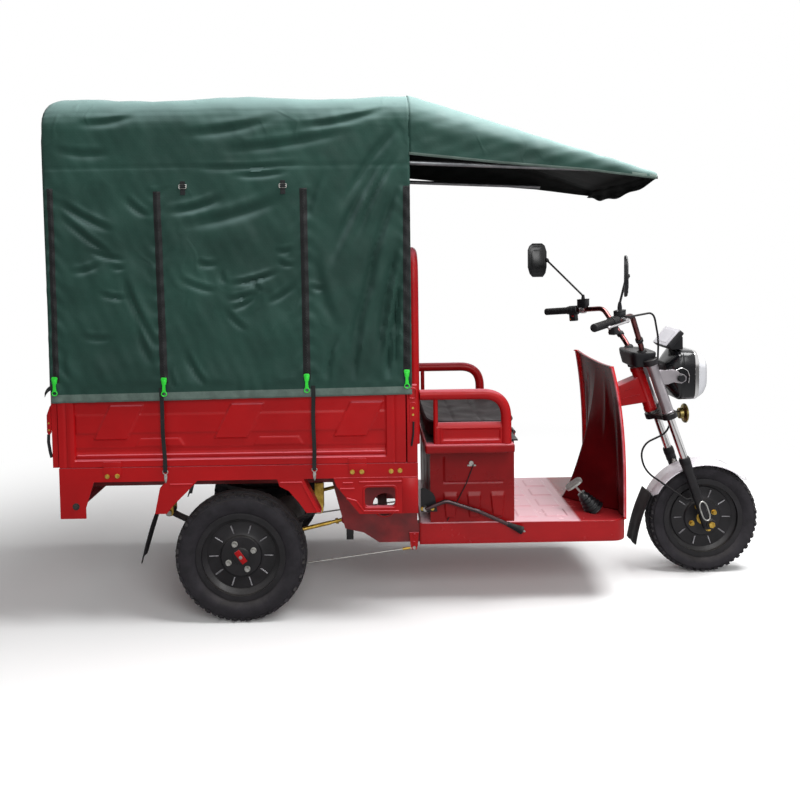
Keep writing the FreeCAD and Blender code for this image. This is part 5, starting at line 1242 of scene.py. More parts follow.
def buildFloorPan(v):
    bm = bmesh.new()
    # the mesh is fine only where the treads are pressed
    tread, plain = v["treads"][0][0] - 0.012, v["treads"][1][1] + 0.012
    xs = np.concatenate([np.linspace(v["rear"], tread, 32), np.linspace(tread, plain, 60)[1:],
        np.linspace(plain, v["front"] - v["corner"], 14)[1:-1],
        v["front"] - v["corner"] + v["corner"] * np.sin(np.linspace(0, math.pi / 2, 14))])
    share = np.linspace(-1, 1, 150)
    rows = []
    for x in xs:
        y = share * floorHalf(x, v)
        u = np.full_like(y, x)
        lift = np.zeros_like(y)
        for start, end in v["treads"]:
            for low, high in zip(v["rows"][::2], v["rows"][1::2]):
                a, b = -v["half"] + v["half"] * 2 * low, -v["half"] + v["half"] * 2 * high
                pad = insideOf(u, y, [(start, a), (end, a), (end, b), (start, b)], 0.0055)
                lift = lift + pad * 0.0032
        lift = lift - 0.0006 * np.exp(-(y / 0.006) ** 2)
        edge = np.minimum(np.minimum((1 - np.abs(share)) * floorHalf(x, v), v["front"] - x), 0.006)
        lift = lift - 0.004 * (1 - np.sqrt(1 - (1 - edge / 0.006) ** 2 * 0.98))
        rows.append(np.stack([u - midX, y, v["top"] + lift - 0.0001], axis=1))
    points = np.array(rows)
    made = addGrid(bm, points)
    n, m = points.shape[:2]
    left = [made[i * m + m - 1] for i in range(n - 2, -1, -1)]
    rim = [made[i * m] for i in range(n)] + made[(n - 1) * m + 1:] + left
    last = rim
    for z, push in ((0.318, 0.0006), (0.3, 0.0), (0.262, 0.0), (0.2465, 0.0004), (0.2425, 0.0018),
            (0.2428, 0.0055)):
        ring = []
        for vert in rim:
            inward = Vector((0, -math.copysign(1, vert.co.y), 0))
            ring.append(bm.verts.new(Vector((vert.co.x, vert.co.y, z)) + inward * push))
        for i in range(len(rim) - 1):
            bm.faces.new((last[i], last[i + 1], ring[i + 1], ring[i]))
        last = ring
    piece = finishPiece("footboard", bm, "chassis", [floorEnamel], ("floor_pan",), 40)
    faceTowards(piece, 0, 0, 1)
    thicken(piece, 0.0022)


buildFloorPan(floorValues)


# leg shield: two rolled edges, two hollows and a ridge that runs down to the floor

shieldValues = {"low": 0.328, "high": 0.93, "half": 0.315, "edge": 1.505, "curl": 0.043,
    "ridgeIn": 0.189, "wall": 0.0028, "rows": 78, "columns": 131}


def shieldDepth(y, share, v):
    # how far ahead of the axle the sheet stands at one place
    edge = v["edge"] - v["curl"] * share ** 3
    ridge = v["edge"] + 0.001 - v["ridgeIn"]
    ridge = ridge + (edge - ridge) * share ** 0.75
    half = v["half"] * (1 - 0.1 * share ** 3)
    t = np.abs(y) / half
    run = np.clip(1 - t / 0.62, 0, 1)
    hump = run ** 0.92
    hump = hump + 0.05 * np.sin(run * math.pi) * (1 - share)
    x = edge - 0.003 - (edge - ridge - 0.004) * hump
    # each flank is dished, with a flat land beside the rolled edge
    rise = math.sin(min(share * 1.15 + 0.1, 1) * math.pi) ** 0.5
    x = x - 0.011 * np.exp(-((t - 0.74) / 0.09) ** 2) * rise
    band = 0.004 * np.exp(-((t - 0.42) / 0.05) ** 2)
    x = x - band * smooth(share, 0.35, 0.6) * smooth(1 - share, 0.05, 0.3)
    return x


def buildShield(v):
    bm = bmesh.new()
    rows = []
    for i in range(v["rows"]):
        share = i / (v["rows"] - 1)
        z = v["low"] + (v["high"] - v["low"]) * share
        half = v["half"] * (1 - 0.1 * share ** 3) - 0.0015
        y = np.linspace(-half, half, v["columns"])
        x = shieldDepth(y, share, v)
        t = np.abs(y) / (half + 0.0015)
        curl = smooth(t, 0.955, 1.0)
        x = x - 0.012 * curl ** 1.5
        top = z - 0.011 * (1 - t ** 2) * share ** 6
        rows.append(np.stack([x - midX, y, top], axis=1))
    # the top edge is rolled back as well
    last = rows[-1].copy()
    for push, drop in ((-0.003, 0.0012), (-0.007, 0.0006), (-0.01, -0.003)):
        row = last.copy()
        row[:, 0] += push
        row[:, 2] += drop - 0.0012
        rows.append(row)
    addGrid(bm, np.array(rows))
    # the outer band of each flank gets a brighter red as painted light
    for face in bm.faces:
        middle = face.calc_center_median()
        share = min(max((middle.z - v["low"]) / (v["high"] - v["low"]), 0), 1)
        if abs(middle.y) > v["half"] * (1 - 0.1 * share ** 3) * 0.9:
            face.material_index = 1
    piece = finishPiece("legShield", bm, "chassis", [shadeDarkenedShieldEnamel, lightBrightenedBandEnamel], ("leg_shield",), 60,
        outward=False)
    faceTowards(piece, 1, 0, 0)
    thicken(piece, v["wall"])
    # a bead trims the outer flange, coloured pale pink as a painted highlight
    bm = bmesh.new()
    for side in (-1, 1):
        path = []
        for i in range(46):
            share = i / 45
            z = v["low"] + 0.012 + (v["high"] - v["low"] - 0.016) * share
            half = v["half"] * (1 - 0.1 * share ** 3) - 0.0022
            path.append(at(v["edge"] - v["curl"] * share ** 3 - 0.015, side * half, z))
        addTube(bm, path, 0.0034, 10)
    finishPiece("shieldTrim", bm, "chassis", [highlightPinkTrim])


# the shield's enamel, darkened as painted shade and the glossiest, with a painted pink highlight facing
# up
shadeDarkenedShieldEnamel = makeSurface("shadeDarkenedShieldEnamel", "#6f1015", "#4f0a0f", cloud=0.3, rough=0.18, roughSpread=0.06,
    specular=0.09, grain=0.02, grainDepth=0.0008, grainStrength=0.08, lit="#c0606a", litShare=0.6,
    litFrom=0.5)
# the outer band of the shield, a brighter red as painted light
lightBrightenedBandEnamel = makeSurface("lightBrightenedBandEnamel", "#dc1820", "#bd0f17", cloud=0.1, rough=0.2, roughSpread=0.1,
    specular=0.3, grain=0.012, grainStrength=0.1)
# the flange's rolled bead, coloured pale pink as a painted highlight
highlightPinkTrim = makeSurface("highlightPinkTrim", "#d9808a", "#b5303c", cloud=0.06, rough=0.25, roughSpread=0.1,
    specular=0.4, grain=0.01, grainStrength=0.08)
buildShield(shieldValues)
print("floor and shield ready")


# steering head, fork and wheel guard

headValues = {"rake": math.radians(19.2), "legX": 1.905, "legZ": 0.235, "legY": 0.094, "offset": 0.04}
steerUp = Vector((-math.sin(headValues["rake"]), 0, math.cos(headValues["rake"])))
steerAhead = Vector((math.cos(headValues["rake"]), 0, math.sin(headValues["rake"])))


def legAt(z, side):
    v = headValues
    return at(v["legX"] - (z - v["legZ"]) * math.tan(v["rake"]), side * v["legY"], z)


def headAt(z):
    return legAt(z, 0) - Vector((headValues["offset"] / math.cos(headValues["rake"]), 0, 0))


lowBase = headAt(0.7) - steerUp * 0.032
topBase = headAt(0.888) + steerUp * 0.008


def buildNeck():
    # head tube, a boxed gusset and the tube that runs down behind the shield
    bm = bmesh.new()
    length = (headAt(0.888) - headAt(0.7)).length
    tube = [(0.0187, 0), (0.0262, 0), (0.0275, 0.002), (0.0275, 0.016), (0.0255, 0.019),
        (0.0252, length - 0.019), (0.0275, length - 0.016), (0.0275, length - 0.002), (0.0262, length),
        (0.0187, length)]
    addLathe(bm, tube, headAt(0.7), steerUp, 48, closed=True)
    outline = mm(1634, 846, 1552, 812, 1546, 806, 1546, 724, 1551.5, 722.5, 1673, 740.5)
    addPrism(bm, outline, (-0.0375, 0.0375), sideways, 0, 0.004, 3)
    # a pressed stiffener along each side of the gusset
    for side in (-1, 1):
        for stiffener in (mm(1565, 752, 1640, 770, 1640, 776, 1565, 758),
                mm(1580, 788, 1612, 802, 1612, 806, 1580, 792)):
            addPlate(bm, stiffener, side, 0.037, 0.0395, 0, 0.001, 1)
    path = roundPath([at(1.569, 0, 0.786), at(1.505, 0, 0.682), at(1.386, 0, 0.3285)], 0.06, 8)
    addTube(bm, path, 0.024, 24)
    finishPiece("headFrame", bm, "chassis", [redEnamel], ("neck_frame",), 35)


buildNeck()


def buildFork():
    bm = bmesh.new()
    for side in (-1, 1):
        foot = legAt(0.213, side)
        height = (legAt(0.492, side) - foot).length
        full = (legAt(0.93, side) - foot).length
        # slider with a drain boss, a dust cover and the chromed leg above it
        slider = [(0.0, 0.0), (0.016, 0.0), (0.0205, 0.004), (0.0215, 0.012), (0.0215, 0.06),
            (0.02, 0.066), (0.02, height - 0.034), (0.0218, height - 0.03), (0.0218, height - 0.002),
            (0.02, height), (0.0165, height + 0.001)]
        addLathe(bm, slider, foot, steerUp, 40, 0)
        seal = [(0.0162, height - 0.004), (0.0228, height - 0.004), (0.0232, height + 0.002),
            (0.0228, height + 0.018), (0.0205, height + 0.024), (0.0162, height + 0.024)]
        addLathe(bm, seal, foot, steerUp, 40, 2, closed=True)
        leg = [(0.0157, height), (0.0158, full - 0.003), (0.0145, full), (0.006, full),
            (0.0055, full - 0.002), (0.0, full - 0.002)]
        addLathe(bm, leg, foot, steerUp, 40, 1)
        # boss round the wheel's axle at the slider's foot, with its nut
        lug = at(frontAxle[0], side * 0.094, frontAxle[1])
        addLathe(bm, mm(0, -24, 19, -24, 21, -21, 21, 21, 19, 24, 0, 24), lug, steps=36, slot=0)
        addLathe(bm, [(0.0, side * 0.0235), (0.0125, side * 0.0235), (0.0135, side * 0.026),
            (0.0135, side * 0.032), (0.0, side * 0.032)], lug, steps=6, slot=3)
        # long eye of flat strip on the slider's outer face, for the cable's tie
        eye = legAt(0.292, side) + Vector((0.004, side * 0.0212, 0))
        loop = []
        for a in np.linspace(0.2, 2 * math.pi + 0.2, 33):
            rise = math.sin(a) * 0.028 + (0.014 if math.sin(a) > 0 else -0.014)
            loop.append(eye + steerUp * rise + steerAhead * math.cos(a) * 0.0155)
        addTube(bm, loop, 0.0034, 10, 4, caps=False)
    addTube(bm, [at(frontAxle[0], y, frontAxle[1]) for y in (-0.09, 0.09)], 0.0088, 24, 1)
    finishPiece("fork", bm, "steering", [blackEnamel, chromePlate, softRubber, goldZinc, zincPlate],
        ("fork_legs",), 35)


buildFork()


def addTilted(bm, outline, base, thick, slot=0, bevel=0.002):
    # a plate square to the steering axis: outline runs ahead of and across the axis
    def make(u, w, d):
        return base + steerAhead * u + Vector((0, w, 0)) + steerUp * d
    addPrism(bm, outline, (0.0, thick), make, slot, bevel, 2)


def buildClamps():
    bm = bmesh.new()
    for base in (lowBase, topBase):
        bar = mm(6, -94, 64, -100, 66, -60, 56, -35, 46, 0, 56, 35, 66, 60, 64, 100, 6, 94, -2, 50,
            -18, 24, -18, -24, -2, -50)
        addTilted(bm, bar, base + steerUp * 0.002, 0.02)
        addLathe(bm, mm(18.5, 0, 30, 0, 31.5, 2, 31.5, 22.5, 30, 24, 18.5, 24), base, steerUp, 40,
            closed=True)
        for side in (-1, 1):
            eye = base + steerAhead * 0.04 + Vector((0, side * 0.094, 0))
            addLathe(bm, mm(16.5, 0, 30, 0, 31.8, 2, 31.8, 22, 30, 24, 16.5, 24), eye, steerUp, 40,
                closed=True)
            # pinch bolt across the split of each eye
            bolt = eye + steerAhead * 0.026 + steerUp * 0.012
            addTube(bm, [bolt + Vector((0, -0.013, 0)), bolt + Vector((0, 0.013, 0))], 0.0045, 6, 1)
    addTube(bm, [lowBase + steerUp * 0.023, topBase], 0.0178, 24, 1)
    addLathe(bm, mm(0, 0, 18, 0, 18, 8, 0, 8), topBase + steerUp * 0.0243, steerUp, 6, 1)
    finishPiece("forkClamps", bm, "steering", [blackEnamel, zincPlate], ("fork_clamps",), 35)


buildClamps()


def buildShrouds():
    # silver covers round the upper legs, each with a cast ear that holds the lamp
    bm = bmesh.new()
    for side in (-1, 1):
        start = lowBase + steerUp * 0.026 + steerAhead * 0.04 + Vector((0, side * 0.094, 0))
        length = (topBase - lowBase).length - 0.028
        addLathe(bm, [(0.0166, 0.0), (0.0252, 0.0), (0.0252, 0.004), (0.0236, 0.006),
            (0.0236, length * 0.55), (0.0228, length * 0.62), (0.0228, length - 0.006),
            (0.024, length - 0.004), (0.024, length), (0.0166, length)], start, steerUp, 40, closed=True)
        ear = mm(1675, 838, 1700, 826, 1735, 826, 1760, 836, 1792, 828, 1812, 840, 1814, 856, 1802, 868,
            1784, 872, 1776, 884, 1752, 890, 1728, 884, 1700, 888, 1670, 886)
        addPlate(bm, ear, side, 0.1005, 0.104, 0, 0.0014, 2)
        # knob and its curled spring clip
        knob = at(1.79, side * 0.1035, 0.852)
        addLathe(bm, [(0.0, 0.0), (0.014, 0.0), (0.016, side * 0.003), (0.016, side * 0.01),
            (0.013, side * 0.0135), (0.0, side * 0.0135)], knob, steps=30, slot=1)
        clip = [at(1.768, side * 0.1075, 0.886), at(1.792, side * 0.1075, 0.896),
            at(1.816, side * 0.1075, 0.884), at(1.824, side * 0.1075, 0.858),
            at(1.82, side * 0.1075, 0.832)]
        addTube(bm, roundPath(clip, 0.02, 5), 0.0032, 12, 2, flat=0.6)
    finishPiece("forkCovers", bm, "steering", [silverPaint, blackPlastic, chromePlate],
        ("fork_shrouds",), 35)


buildShrouds()


def facetedShell(bm, sections, slot=0, ends=True):
    # rings of a soft-cornered outline along X: (x, half width, low, high, roundness)
    rows = []
    count = 64
    for x, half, low, high, power in sections:
        middle, rise = (low + high) / 2, (high - low) / 2
        rows.append([list(at(x, y * half, middle + z * rise)) for y, z in softSquare(count, power, 0.5)])
    made = addGrid(bm, np.array(rows), slot, True)
    if ends:
        bm.faces.new(made[:count]).material_index = slot
        bm.faces.new(made[-count:]).material_index = slot


# sections as (place, half width, low edge, high edge, squareness)
lampValues = {"shell": ((1.7425, 0.056, 0.815, 0.905, 3.2), (1.7435, 0.062, 0.81, 0.911, 3.4),
    (1.758, 0.074, 0.796, 0.926, 3.6), (1.781, 0.094, 0.766, 0.951, 4.0),
    (1.789, 0.0975, 0.757, 0.959, 4.4), (1.812, 0.0985, 0.753, 0.963, 5.0),
    (1.846, 0.099, 0.753, 0.963, 5.0), (1.852, 0.0985, 0.755, 0.961, 5.0)),
    "belt": ((1.796, 0.099, 0.754, 0.9632, 5.0), (1.798, 0.0997, 0.7525, 0.9637, 5.0),
    (1.806, 0.0997, 0.7525, 0.9637, 5.0), (1.808, 0.099, 0.754, 0.9632, 5.0)),
    "rim": ((1.85, 0.096, 0.7575, 0.9585, 4.6), (1.8525, 0.1, 0.7535, 0.9625, 4.8),
    (1.862, 0.1003, 0.753, 0.9625, 4.6), (1.868, 0.0985, 0.7555, 0.9605, 4.4)),
    "lens": ((1.8655, 0.0975, 0.757, 0.959, 4.4), (1.88, 0.095, 0.7615, 0.9545, 4.0),
    (1.897, 0.088, 0.772, 0.944, 3.6), (1.91, 0.074, 0.79, 0.926, 3.2),
    (1.917, 0.052, 0.815, 0.902, 3.0), (1.9192, 0.026, 0.838, 0.879, 2.6)), "bowls": (-0.042, 0.042)}


def buildHeadlamp(v):
    bm = bmesh.new()
    facetedShell(bm, v["shell"])
    # a raised belt round the shell
    facetedShell(bm, v["belt"], ends=False)
    finishPiece("headlampShell", bm, "steering", [glossPlastic], ("headlamp_body",), 30)
    bm = bmesh.new()
    facetedShell(bm, v["rim"], 1)
    facetedShell(bm, v["lens"])
    # stepped reflector bowls behind the lens
    for y in v["bowls"]:
        addLathe(bm, mm(0, 0, 12, 2, 26, 8, 34, 18, 36, 20, 33, 16, 0, -4), at(1.872, y, 0.866),
            (1, 0, 0), 36, 1)
    finishPiece("headlampLens", bm, "steering", [reflectionWhitenedLens, chromePlate], ("headlamp_lens",), 30)


buildHeadlamp(lampValues)


dashValues = {"middle": (1.772, 0, 1.01), "tilt": 50}


def buildDash(v):
    # a display whose pale bezel leans back over a black wedge
    tilt = math.radians(v["tilt"])
    along = Vector((math.cos(tilt), 0, math.sin(tilt)))
    out = Vector((-math.sin(tilt), 0, math.cos(tilt)))
    middle = at(*v["middle"])
    bm = bmesh.new()

    def make(u, w, d):
        return middle + along * u + Vector((0, w, 0)) + out * d
    body = mm(-45, -78, -36, -87, 40, -87, 45.5, -80, 45.5, 80, 40, 87, -36, 87, -45, 78)
    addPrism(bm, body, (-0.0125, 0.0095), make, 0, 0.0035, 3)
    addPrism(bm, mm(-43.5, -78, 44.5, -84, 44.5, 84, -43.5, 78), (0.0085, 0.0125), make, 1, 0.0012, 2)
    addPrism(bm, mm(-30, -60, 32, -64, 32, 64, -30, 60), (0.012, 0.0132), make, 1, 0.0008, 1)
    wedge = mm(1747.5, 982, 1765, 964.5, 1815, 964.5, 1814, 1018, 1799, 1036)
    addPrism(bm, wedge, (-0.06, 0.06), sideways, 0, 0.004, 3)
    finishPiece("display", bm, "steering", [blackPlastic, greyPlastic], ("dash",), 35)


buildDash(dashValues)


coverValues = {"rear": 1.586, "front": 1.694, "top": 0.9615, "low": 0.898, "half": 0.106}


def buildCover(v):
    # moulded cover over the top clamp, narrower at its foot, with a collar where each riser comes through
    bm = bmesh.new()
    rows = []
    middle = (v["rear"] + v["front"]) / 2
    long = (v["front"] - v["rear"]) / 2
    for z, share in ((v["low"], 0.8), (v["low"] + 0.004, 0.815), (v["top"] - 0.026, 0.96),
            (v["top"] - 0.008, 1.0), (v["top"] - 0.003, 0.985), (v["top"], 0.94),
            (v["top"] + 0.0005, 0.5), (v["top"] + 0.0005, 0.01)):
        across = 0.3 + 0.7 * share if share > 0.5 else share
        rows.append([list(at(middle + x * long * share, y * v["half"] * across, z))
            for x, y in softSquare(56, 6, 0.5)])
    addGrid(bm, np.array(rows), 0, True)
    piece = finishPiece("headCover", bm, "steering", [blackPlastic], ("steering_cover",), 30,
        merge=0.0006)
    faceTowards(piece, 0, 0, 1)
    thicken(piece, 0.0026)
    bm = bmesh.new()
    for side in (-1, 1):
        foot = at(1.6325, side * 0.0865, 0.957)
        addLathe(bm, mm(11.8, 0, 20.5, 0, 20.5, 6, 17.5, 12, 15, 14, 11.8, 14), foot, steerUp, 36,
            closed=True)
    finishPiece("riserCollars", bm, "steering", [softRubber])


buildCover(coverValues)


hornValues = {"x": 1.851, "z": 0.684}


def buildHorn(v):
    bm = bmesh.new()
    x, z = v["x"], v["z"]
    addLathe(bm, mm(0, -33, 20, -33, 23, -30, 24.5, -16, 34, -13, 39.5, -10, 41.5, -7, 41.5, -3,
        39, -0.5, 36.5, -1, 30, -6, 22, -4, 19, -7, 10, -6, 0, -4), at(x, 0, z), (1, 0, 0), 48)
    mount = lowBase + steerAhead * 0.0403 + steerUp * 0.012
    strap = [mount + steerAhead * 0.003, mount + steerAhead * 0.024, at(x - 0.022, 0, z + 0.004),
        at(x - 0.02, 0, z)]
    addTube(bm, roundPath(strap, 0.015, 5), 0.0052, 12, 1, flat=0.5)
    finishPiece("horn", bm, "steering", [hornBrass, blackEnamel], ("horn",), 30)


buildHorn(hornValues)


fenderValues = {"inner": 0.2502, "front": 43, "rear": 155, "half": 0.058, "drop": 0.0178, "wall": 0.0016}


def buildFender(v):
    bm = bmesh.new()
    rows = []
    for degrees in np.linspace(v["front"], v["rear"], 70):
        a = math.radians(degrees)
        near = min(degrees - v["front"], v["rear"] - degrees)
        half = v["half"] - 0.012 * (1 - smooth(np.array(near), 0, 5.0))
        y = np.linspace(-half, half, 29)
        t = y / v["half"]
        r = v["inner"] + 0.002 - v["drop"] * np.abs(t) ** 3.2
        r = r + 0.0012 * np.exp(-((np.abs(t) - 0.45) / 0.06) ** 2)
        rows.append(np.stack([frontAxle[0] + r * math.cos(a) - midX, y, frontAxle[1] + r * math.sin(a)],
            axis=1))
    addGrid(bm, np.array(rows))
    piece = finishPiece("frontFender", bm, "steering", [reflectionWhitenedGuard], ("front_fender",), 60, outward=False)
    faceTowards(piece, 0, 0, 1)
    thicken(piece, v["wall"])
    bm = bmesh.new()
    ends = legAt(0.47, 0).x + midX
    for side in (-1, 1):
        low, high = side * 0.0535, side * 0.0715
        addBox(bm, (ends - 0.0055, low, 0.4465), (ends + 0.0055, high, 0.4695), 0, 0.0012)
    finishPiece("fenderStays", bm, "steering", [zincPlate])


buildFender(fenderValues)


frontFlapValues = {"half": 0.058, "top": (1.688, 0.352), "foot": (1.621, 0.13), "belly": 0.014,
    "crease": 0.0014, "fray": 0.004, "rows": 40, "columns": 61, "wall": 0.0032}


def buildFrontFlap(v):
    # a thin rubber flap, creased by its rivets and frayed at its foot
    bm = bmesh.new()
    rows = []
    (xTop, zTop), (xFoot, zFoot) = v["top"], v["foot"]
    for i in range(v["rows"]):
        t = i / (v["rows"] - 1)
        y = np.linspace(-v["half"], v["half"], v["columns"])
        x = xTop + (xFoot - xTop) * t - v["belly"] * math.sin(t * math.pi) * 0.6
        x = np.full_like(y, x) - 0.0028 + v["crease"] * np.sin(y * 95 + 1.2) * t
        z = np.full_like(y, zTop + (zFoot - zTop) * t)
        if i == v["rows"] - 1:
            z = z + v["fray"] * (rng(77).random(v["columns"]) + 0.2)
        rows.append(np.stack([x - midX, y, z], axis=1))
    addGrid(bm, np.array(rows))
    piece = finishPiece("frontFlap", bm, "steering", [softRubber], ("front_mud_flap",), 50)
    thicken(piece, v["wall"])


buildFrontFlap(frontFlapValues)
print("head ready")


# handlebar, grips, switches, levers, reservoirs and mirrors

barValues = {"radius": 0.011, "bend": 0.045, "ribs": 30,
    "path": ((1.6435, 0.086, 0.9251), (1.6304, 0.086, 0.9629), (1.6227, 0.106, 0.985),
    (1.552, 0.205, 1.124), (1.342, 0.415, 1.096))}


def barPoint(number, side):
    x, y, z = barValues["path"][number]
    return at(x, side * y, z)


def handAxes(side):
    # the way in along the bar, the way out ahead of it, and up
    along = (barPoint(3, side) - barPoint(4, side)).normalized()
    out = Vector((0.70711, side * 0.70711, 0))
    return along, out, out.cross(along) * -side


def buildHandlebar(v):
    bm = bmesh.new()
    for side in (-1, 1):
        addTube(bm, roundPath([barPoint(i, side) for i in range(5)], v["bend"], 12), v["radius"], 24)
        # a clip for the cables at the foot of each riser
        spot = barPoint(2, side) + (barPoint(3, side) - barPoint(2, side)) * 0.22
        lean = (barPoint(3, side) - barPoint(2, side)).normalized()
        addLathe(bm, mm(11.2, -8, 15, -8, 15.8, -6, 15.8, 6, 15, 8, 11.2, 8), spot, lean, 28, 1,
            closed=True)
    finishPiece("barTube", bm, "steering", [reflectionTintedChrome, softRubber], ("handlebar",), 40)


def buildGrips(v):
    bm = bmesh.new()
    for side in (-1, 1):
        along = handAxes(side)[0]
        end = barPoint(4, side)
        profile = mm(0, -4, 12, -4, 15, -2.5, 16, 1, 16, 5)
        for i in range(v["ribs"]):
            a = 0.0065 + i * 0.0035
            profile += [(0.0159, a), (0.0159, a + 0.0018), (0.0151, a + 0.0023), (0.0151, a + 0.003)]
        profile += mm(16, 114, 18.2, 116, 18.6, 118, 18.6, 122.5, 17.8, 124.5, 11.3, 124.5, 11.3, 1, 0, 1)
        addLathe(bm, profile, end, along, 40, closed=True)
    finishPiece("handGrips", bm, "steering", [softRubber], ("grips",), 30)


def buildHandControls():
    bm = bmesh.new()
    for side in (-1, 1):
        along, out, up = handAxes(side)
        start = barPoint(4, side) + along * 0.1253
        tank = start + along * (0.046 + 0.026)
        stop = start + along * 0.046
        # two clamped halves of a switch housing with a parting line
        shell = mm(11.3, 0, 19.5, 0, 21, 2, 21, 21.5, 20.3, 22.5, 20.3, 23.5, 21, 24.5, 21, 43, 19, 45.7,
            11.3, 45.7)
        addLathe(bm, shell, start, along, 40, closed=True)

        def local(base):
            return lambda a, b, c: base + along * a + out * b + up * c
        # the switch pod hangs under the bar on its inner side
        addPrism(bm, mm(3, -14, 36, -14, 36, 13, 3, 13), (-0.05, -0.01), local(start), 0, 0.004, 3)
        addPrism(bm, mm(6, -16.5, 13, -16.5, 13, -13, 6, -13), (-0.044, -0.037), local(start), 3, 0.001,
            1)
        addPrism(bm, mm(19, -16.5, 30, -16.5, 30, -13, 19, -13), (-0.03, -0.023), local(start), 2, 0.001,
            1)
        # reservoir: a waisted cup, its lid and two screws
        cup = mm(-24, -14, -17, -16.5, 17, -16.5, 24, -14, 25.5, 0, 24, 14, 17, 16.5, -17, 16.5, -24, 14,
            -25.5, 0)
        tall = 0.0 if side < 0 else 0.012

        def flatUp(a, b, c):
            return tank + along * a + out * b + Vector((0, 0, c))
        addPrism(bm, [(a * 0.86, b * 0.86) for a, b in cup], (0.006, 0.02), flatUp, 0, 0.002, 2)
        addPrism(bm, cup, (0.015, 0.0315 + tall), flatUp, 0, 0.002, 2)
        addPrism(bm, [(a * 1.02, b * 1.02) for a, b in cup], (0.0305 + tall, 0.037 + tall), flatUp, 0,
            0.0016, 2)
        for a in (-0.017, 0.017):
            addLathe(bm, [(0.0, 0.0366 + tall), (0.0034, 0.0366 + tall), (0.003, 0.038 + tall),
                (0.0, 0.0384 + tall)], tank + along * a, (0, 0, 1), 16, 1)
        # saddle round the bar and the lever's perch with its pivot screw
        addLathe(bm, mm(11.3, -12, 16.5, -12, 17.2, -10, 17.2, 10, 16.5, 12, 11.3, 12), tank, along, 32,
            1, closed=True)
        perch = mm(-14, 12, 12, 12, 10, 36, -4, 44, -16, 34)
        addPrism(bm, perch, (-0.008, 0.006), local(tank), 1, 0.002, 2)
        addLathe(bm, mm(0, -10.5, 5.2, -10.5, 5.2, -7.5, 4, -7, 4, 7, 5.2, 7.2, 5.2, 9.5, 0, 9.5),
            tank + out * 0.034 - along * 0.004, up, 16, 1)
        lever = [tank + out * 0.02, tank + out * 0.035 - along * 0.004, stop + out * 0.05,
            barPoint(4, side) + out * 0.05 + along * 0.023]
        lever = roundPath(lever, 0.03, 8)
        radii = [0.0058 + 0.001 * math.sin(i / (len(lever) - 1) * 3.1) for i in range(len(lever))]
        addTube(bm, lever, radii, 16, 1, flat=0.62)
        tip = lever[-1]
        addLathe(bm, mm(0, -7.2, 4.5, -5.8, 7.2, 0, 4.5, 5.8, 0, 7.2), tip, along, 20, 1)
    finishPiece("handControls", bm, "steering", [blackPlastic, satinAluminium, redLens, amberLens],
        ("hand_controls",), 32)


mirrorValues = {"wide": 0.09, "tall": 0.16, "stem": 0.0045,
    "outline": ((-0.5, -0.2), (-0.4, -0.4), (-0.25, -0.5), (0.3, -0.5), (0.44, -0.38), (0.5, -0.2),
    (0.5, 0.25), (0.4, 0.43), (0.25, 0.5), (-0.25, 0.5), (-0.42, 0.42), (-0.5, 0.3))}


def buildMirrors(v):
    bm = bmesh.new()
    for side, centre, degrees, end in ((-1, at(1.5, -0.2986, 1.286), 71, at(1.5, -0.2986, 1.286)),
            (1, at(1.3, 0.42, 1.342), 0, at(1.345, 0.42, 1.342))):
        turn = Matrix.Rotation(math.radians(degrees), 3, "Z")
        outline = [(x * v["wide"], z * v["tall"]) for x, z in v["outline"]]

        def make(u, w, d):
            return centre + turn @ Vector((u, d, w))
        addPrism(bm, outline, (-0.0015, 0.0075), make, 0, 0.0018, 2)
        # the back is domed in three steps
        for share, low, high in ((0.96, -0.0045, -0.001), (0.84, -0.0066, -0.004),
                (0.62, -0.008, -0.006)):
            addPrism(bm, [(u * share, w * share) for u, w in outline], (low, high), make, 0, 0.0014, 2)
        addPrism(bm, [(u * 0.92, w * 0.95) for u, w in outline], (0.007, 0.0083), make, 1, 0.0004, 1)
        foot = at(1.4809, side * 0.2761, 1.1518)
        path = roundPath([foot, foot + Vector((0, 0, 0.026)), end], 0.03, 8)
        addTube(bm, path, v["stem"], 16, 2)
        # locknut and a rubber boot at the stem's foot, a ball joint at the head
        addLathe(bm, mm(0, -0.5, 8.5, -0.5, 8.5, 6, 0, 6), foot, (0, 0, 1), 6, 2)
        addLathe(bm, mm(0, 6, 9, 6, 8.8, 12, 6.6, 26, 5, 32, 0, 32), foot, (0, 0, 1), 24, 3)
        addLathe(bm, mm(0, -11, 7, -9, 10, 0, 7, 8, 0, 10), path[-1] + turn @ Vector((0, -0.004, 0)),
            path[-1] - path[-2], 24, 0)
    finishPiece("mirrorPair", bm, "steering", [glossPlastic, mirrorGlass, blackEnamel, softRubber],
        ("mirrors",), 32)


buildHandlebar(barValues)
buildGrips(barValues)
buildHandControls()
buildMirrors(mirrorValues)
print("handlebar ready")


# what the hood carries: zips, pulls, buckles, straps and their hooks

zipValues = {"lines": (((-0.655, 1.637), (-0.656, 0.93)), ((-0.267, 1.622), (-0.257, 0.922)),
    ((0.264, 1.628), (0.266, 0.928)), ((0.64, 1.632), (0.634, 0.94))), "tape": 0.027, "pitch": 0.0095}


def zipPlaces(line, t, off, stand, near):
    (x0, z0), (x1, z1) = line
    return hoodSides(x0 + (x1 - x0) * t + off, z0 + (z1 - z0) * t, stand, near)


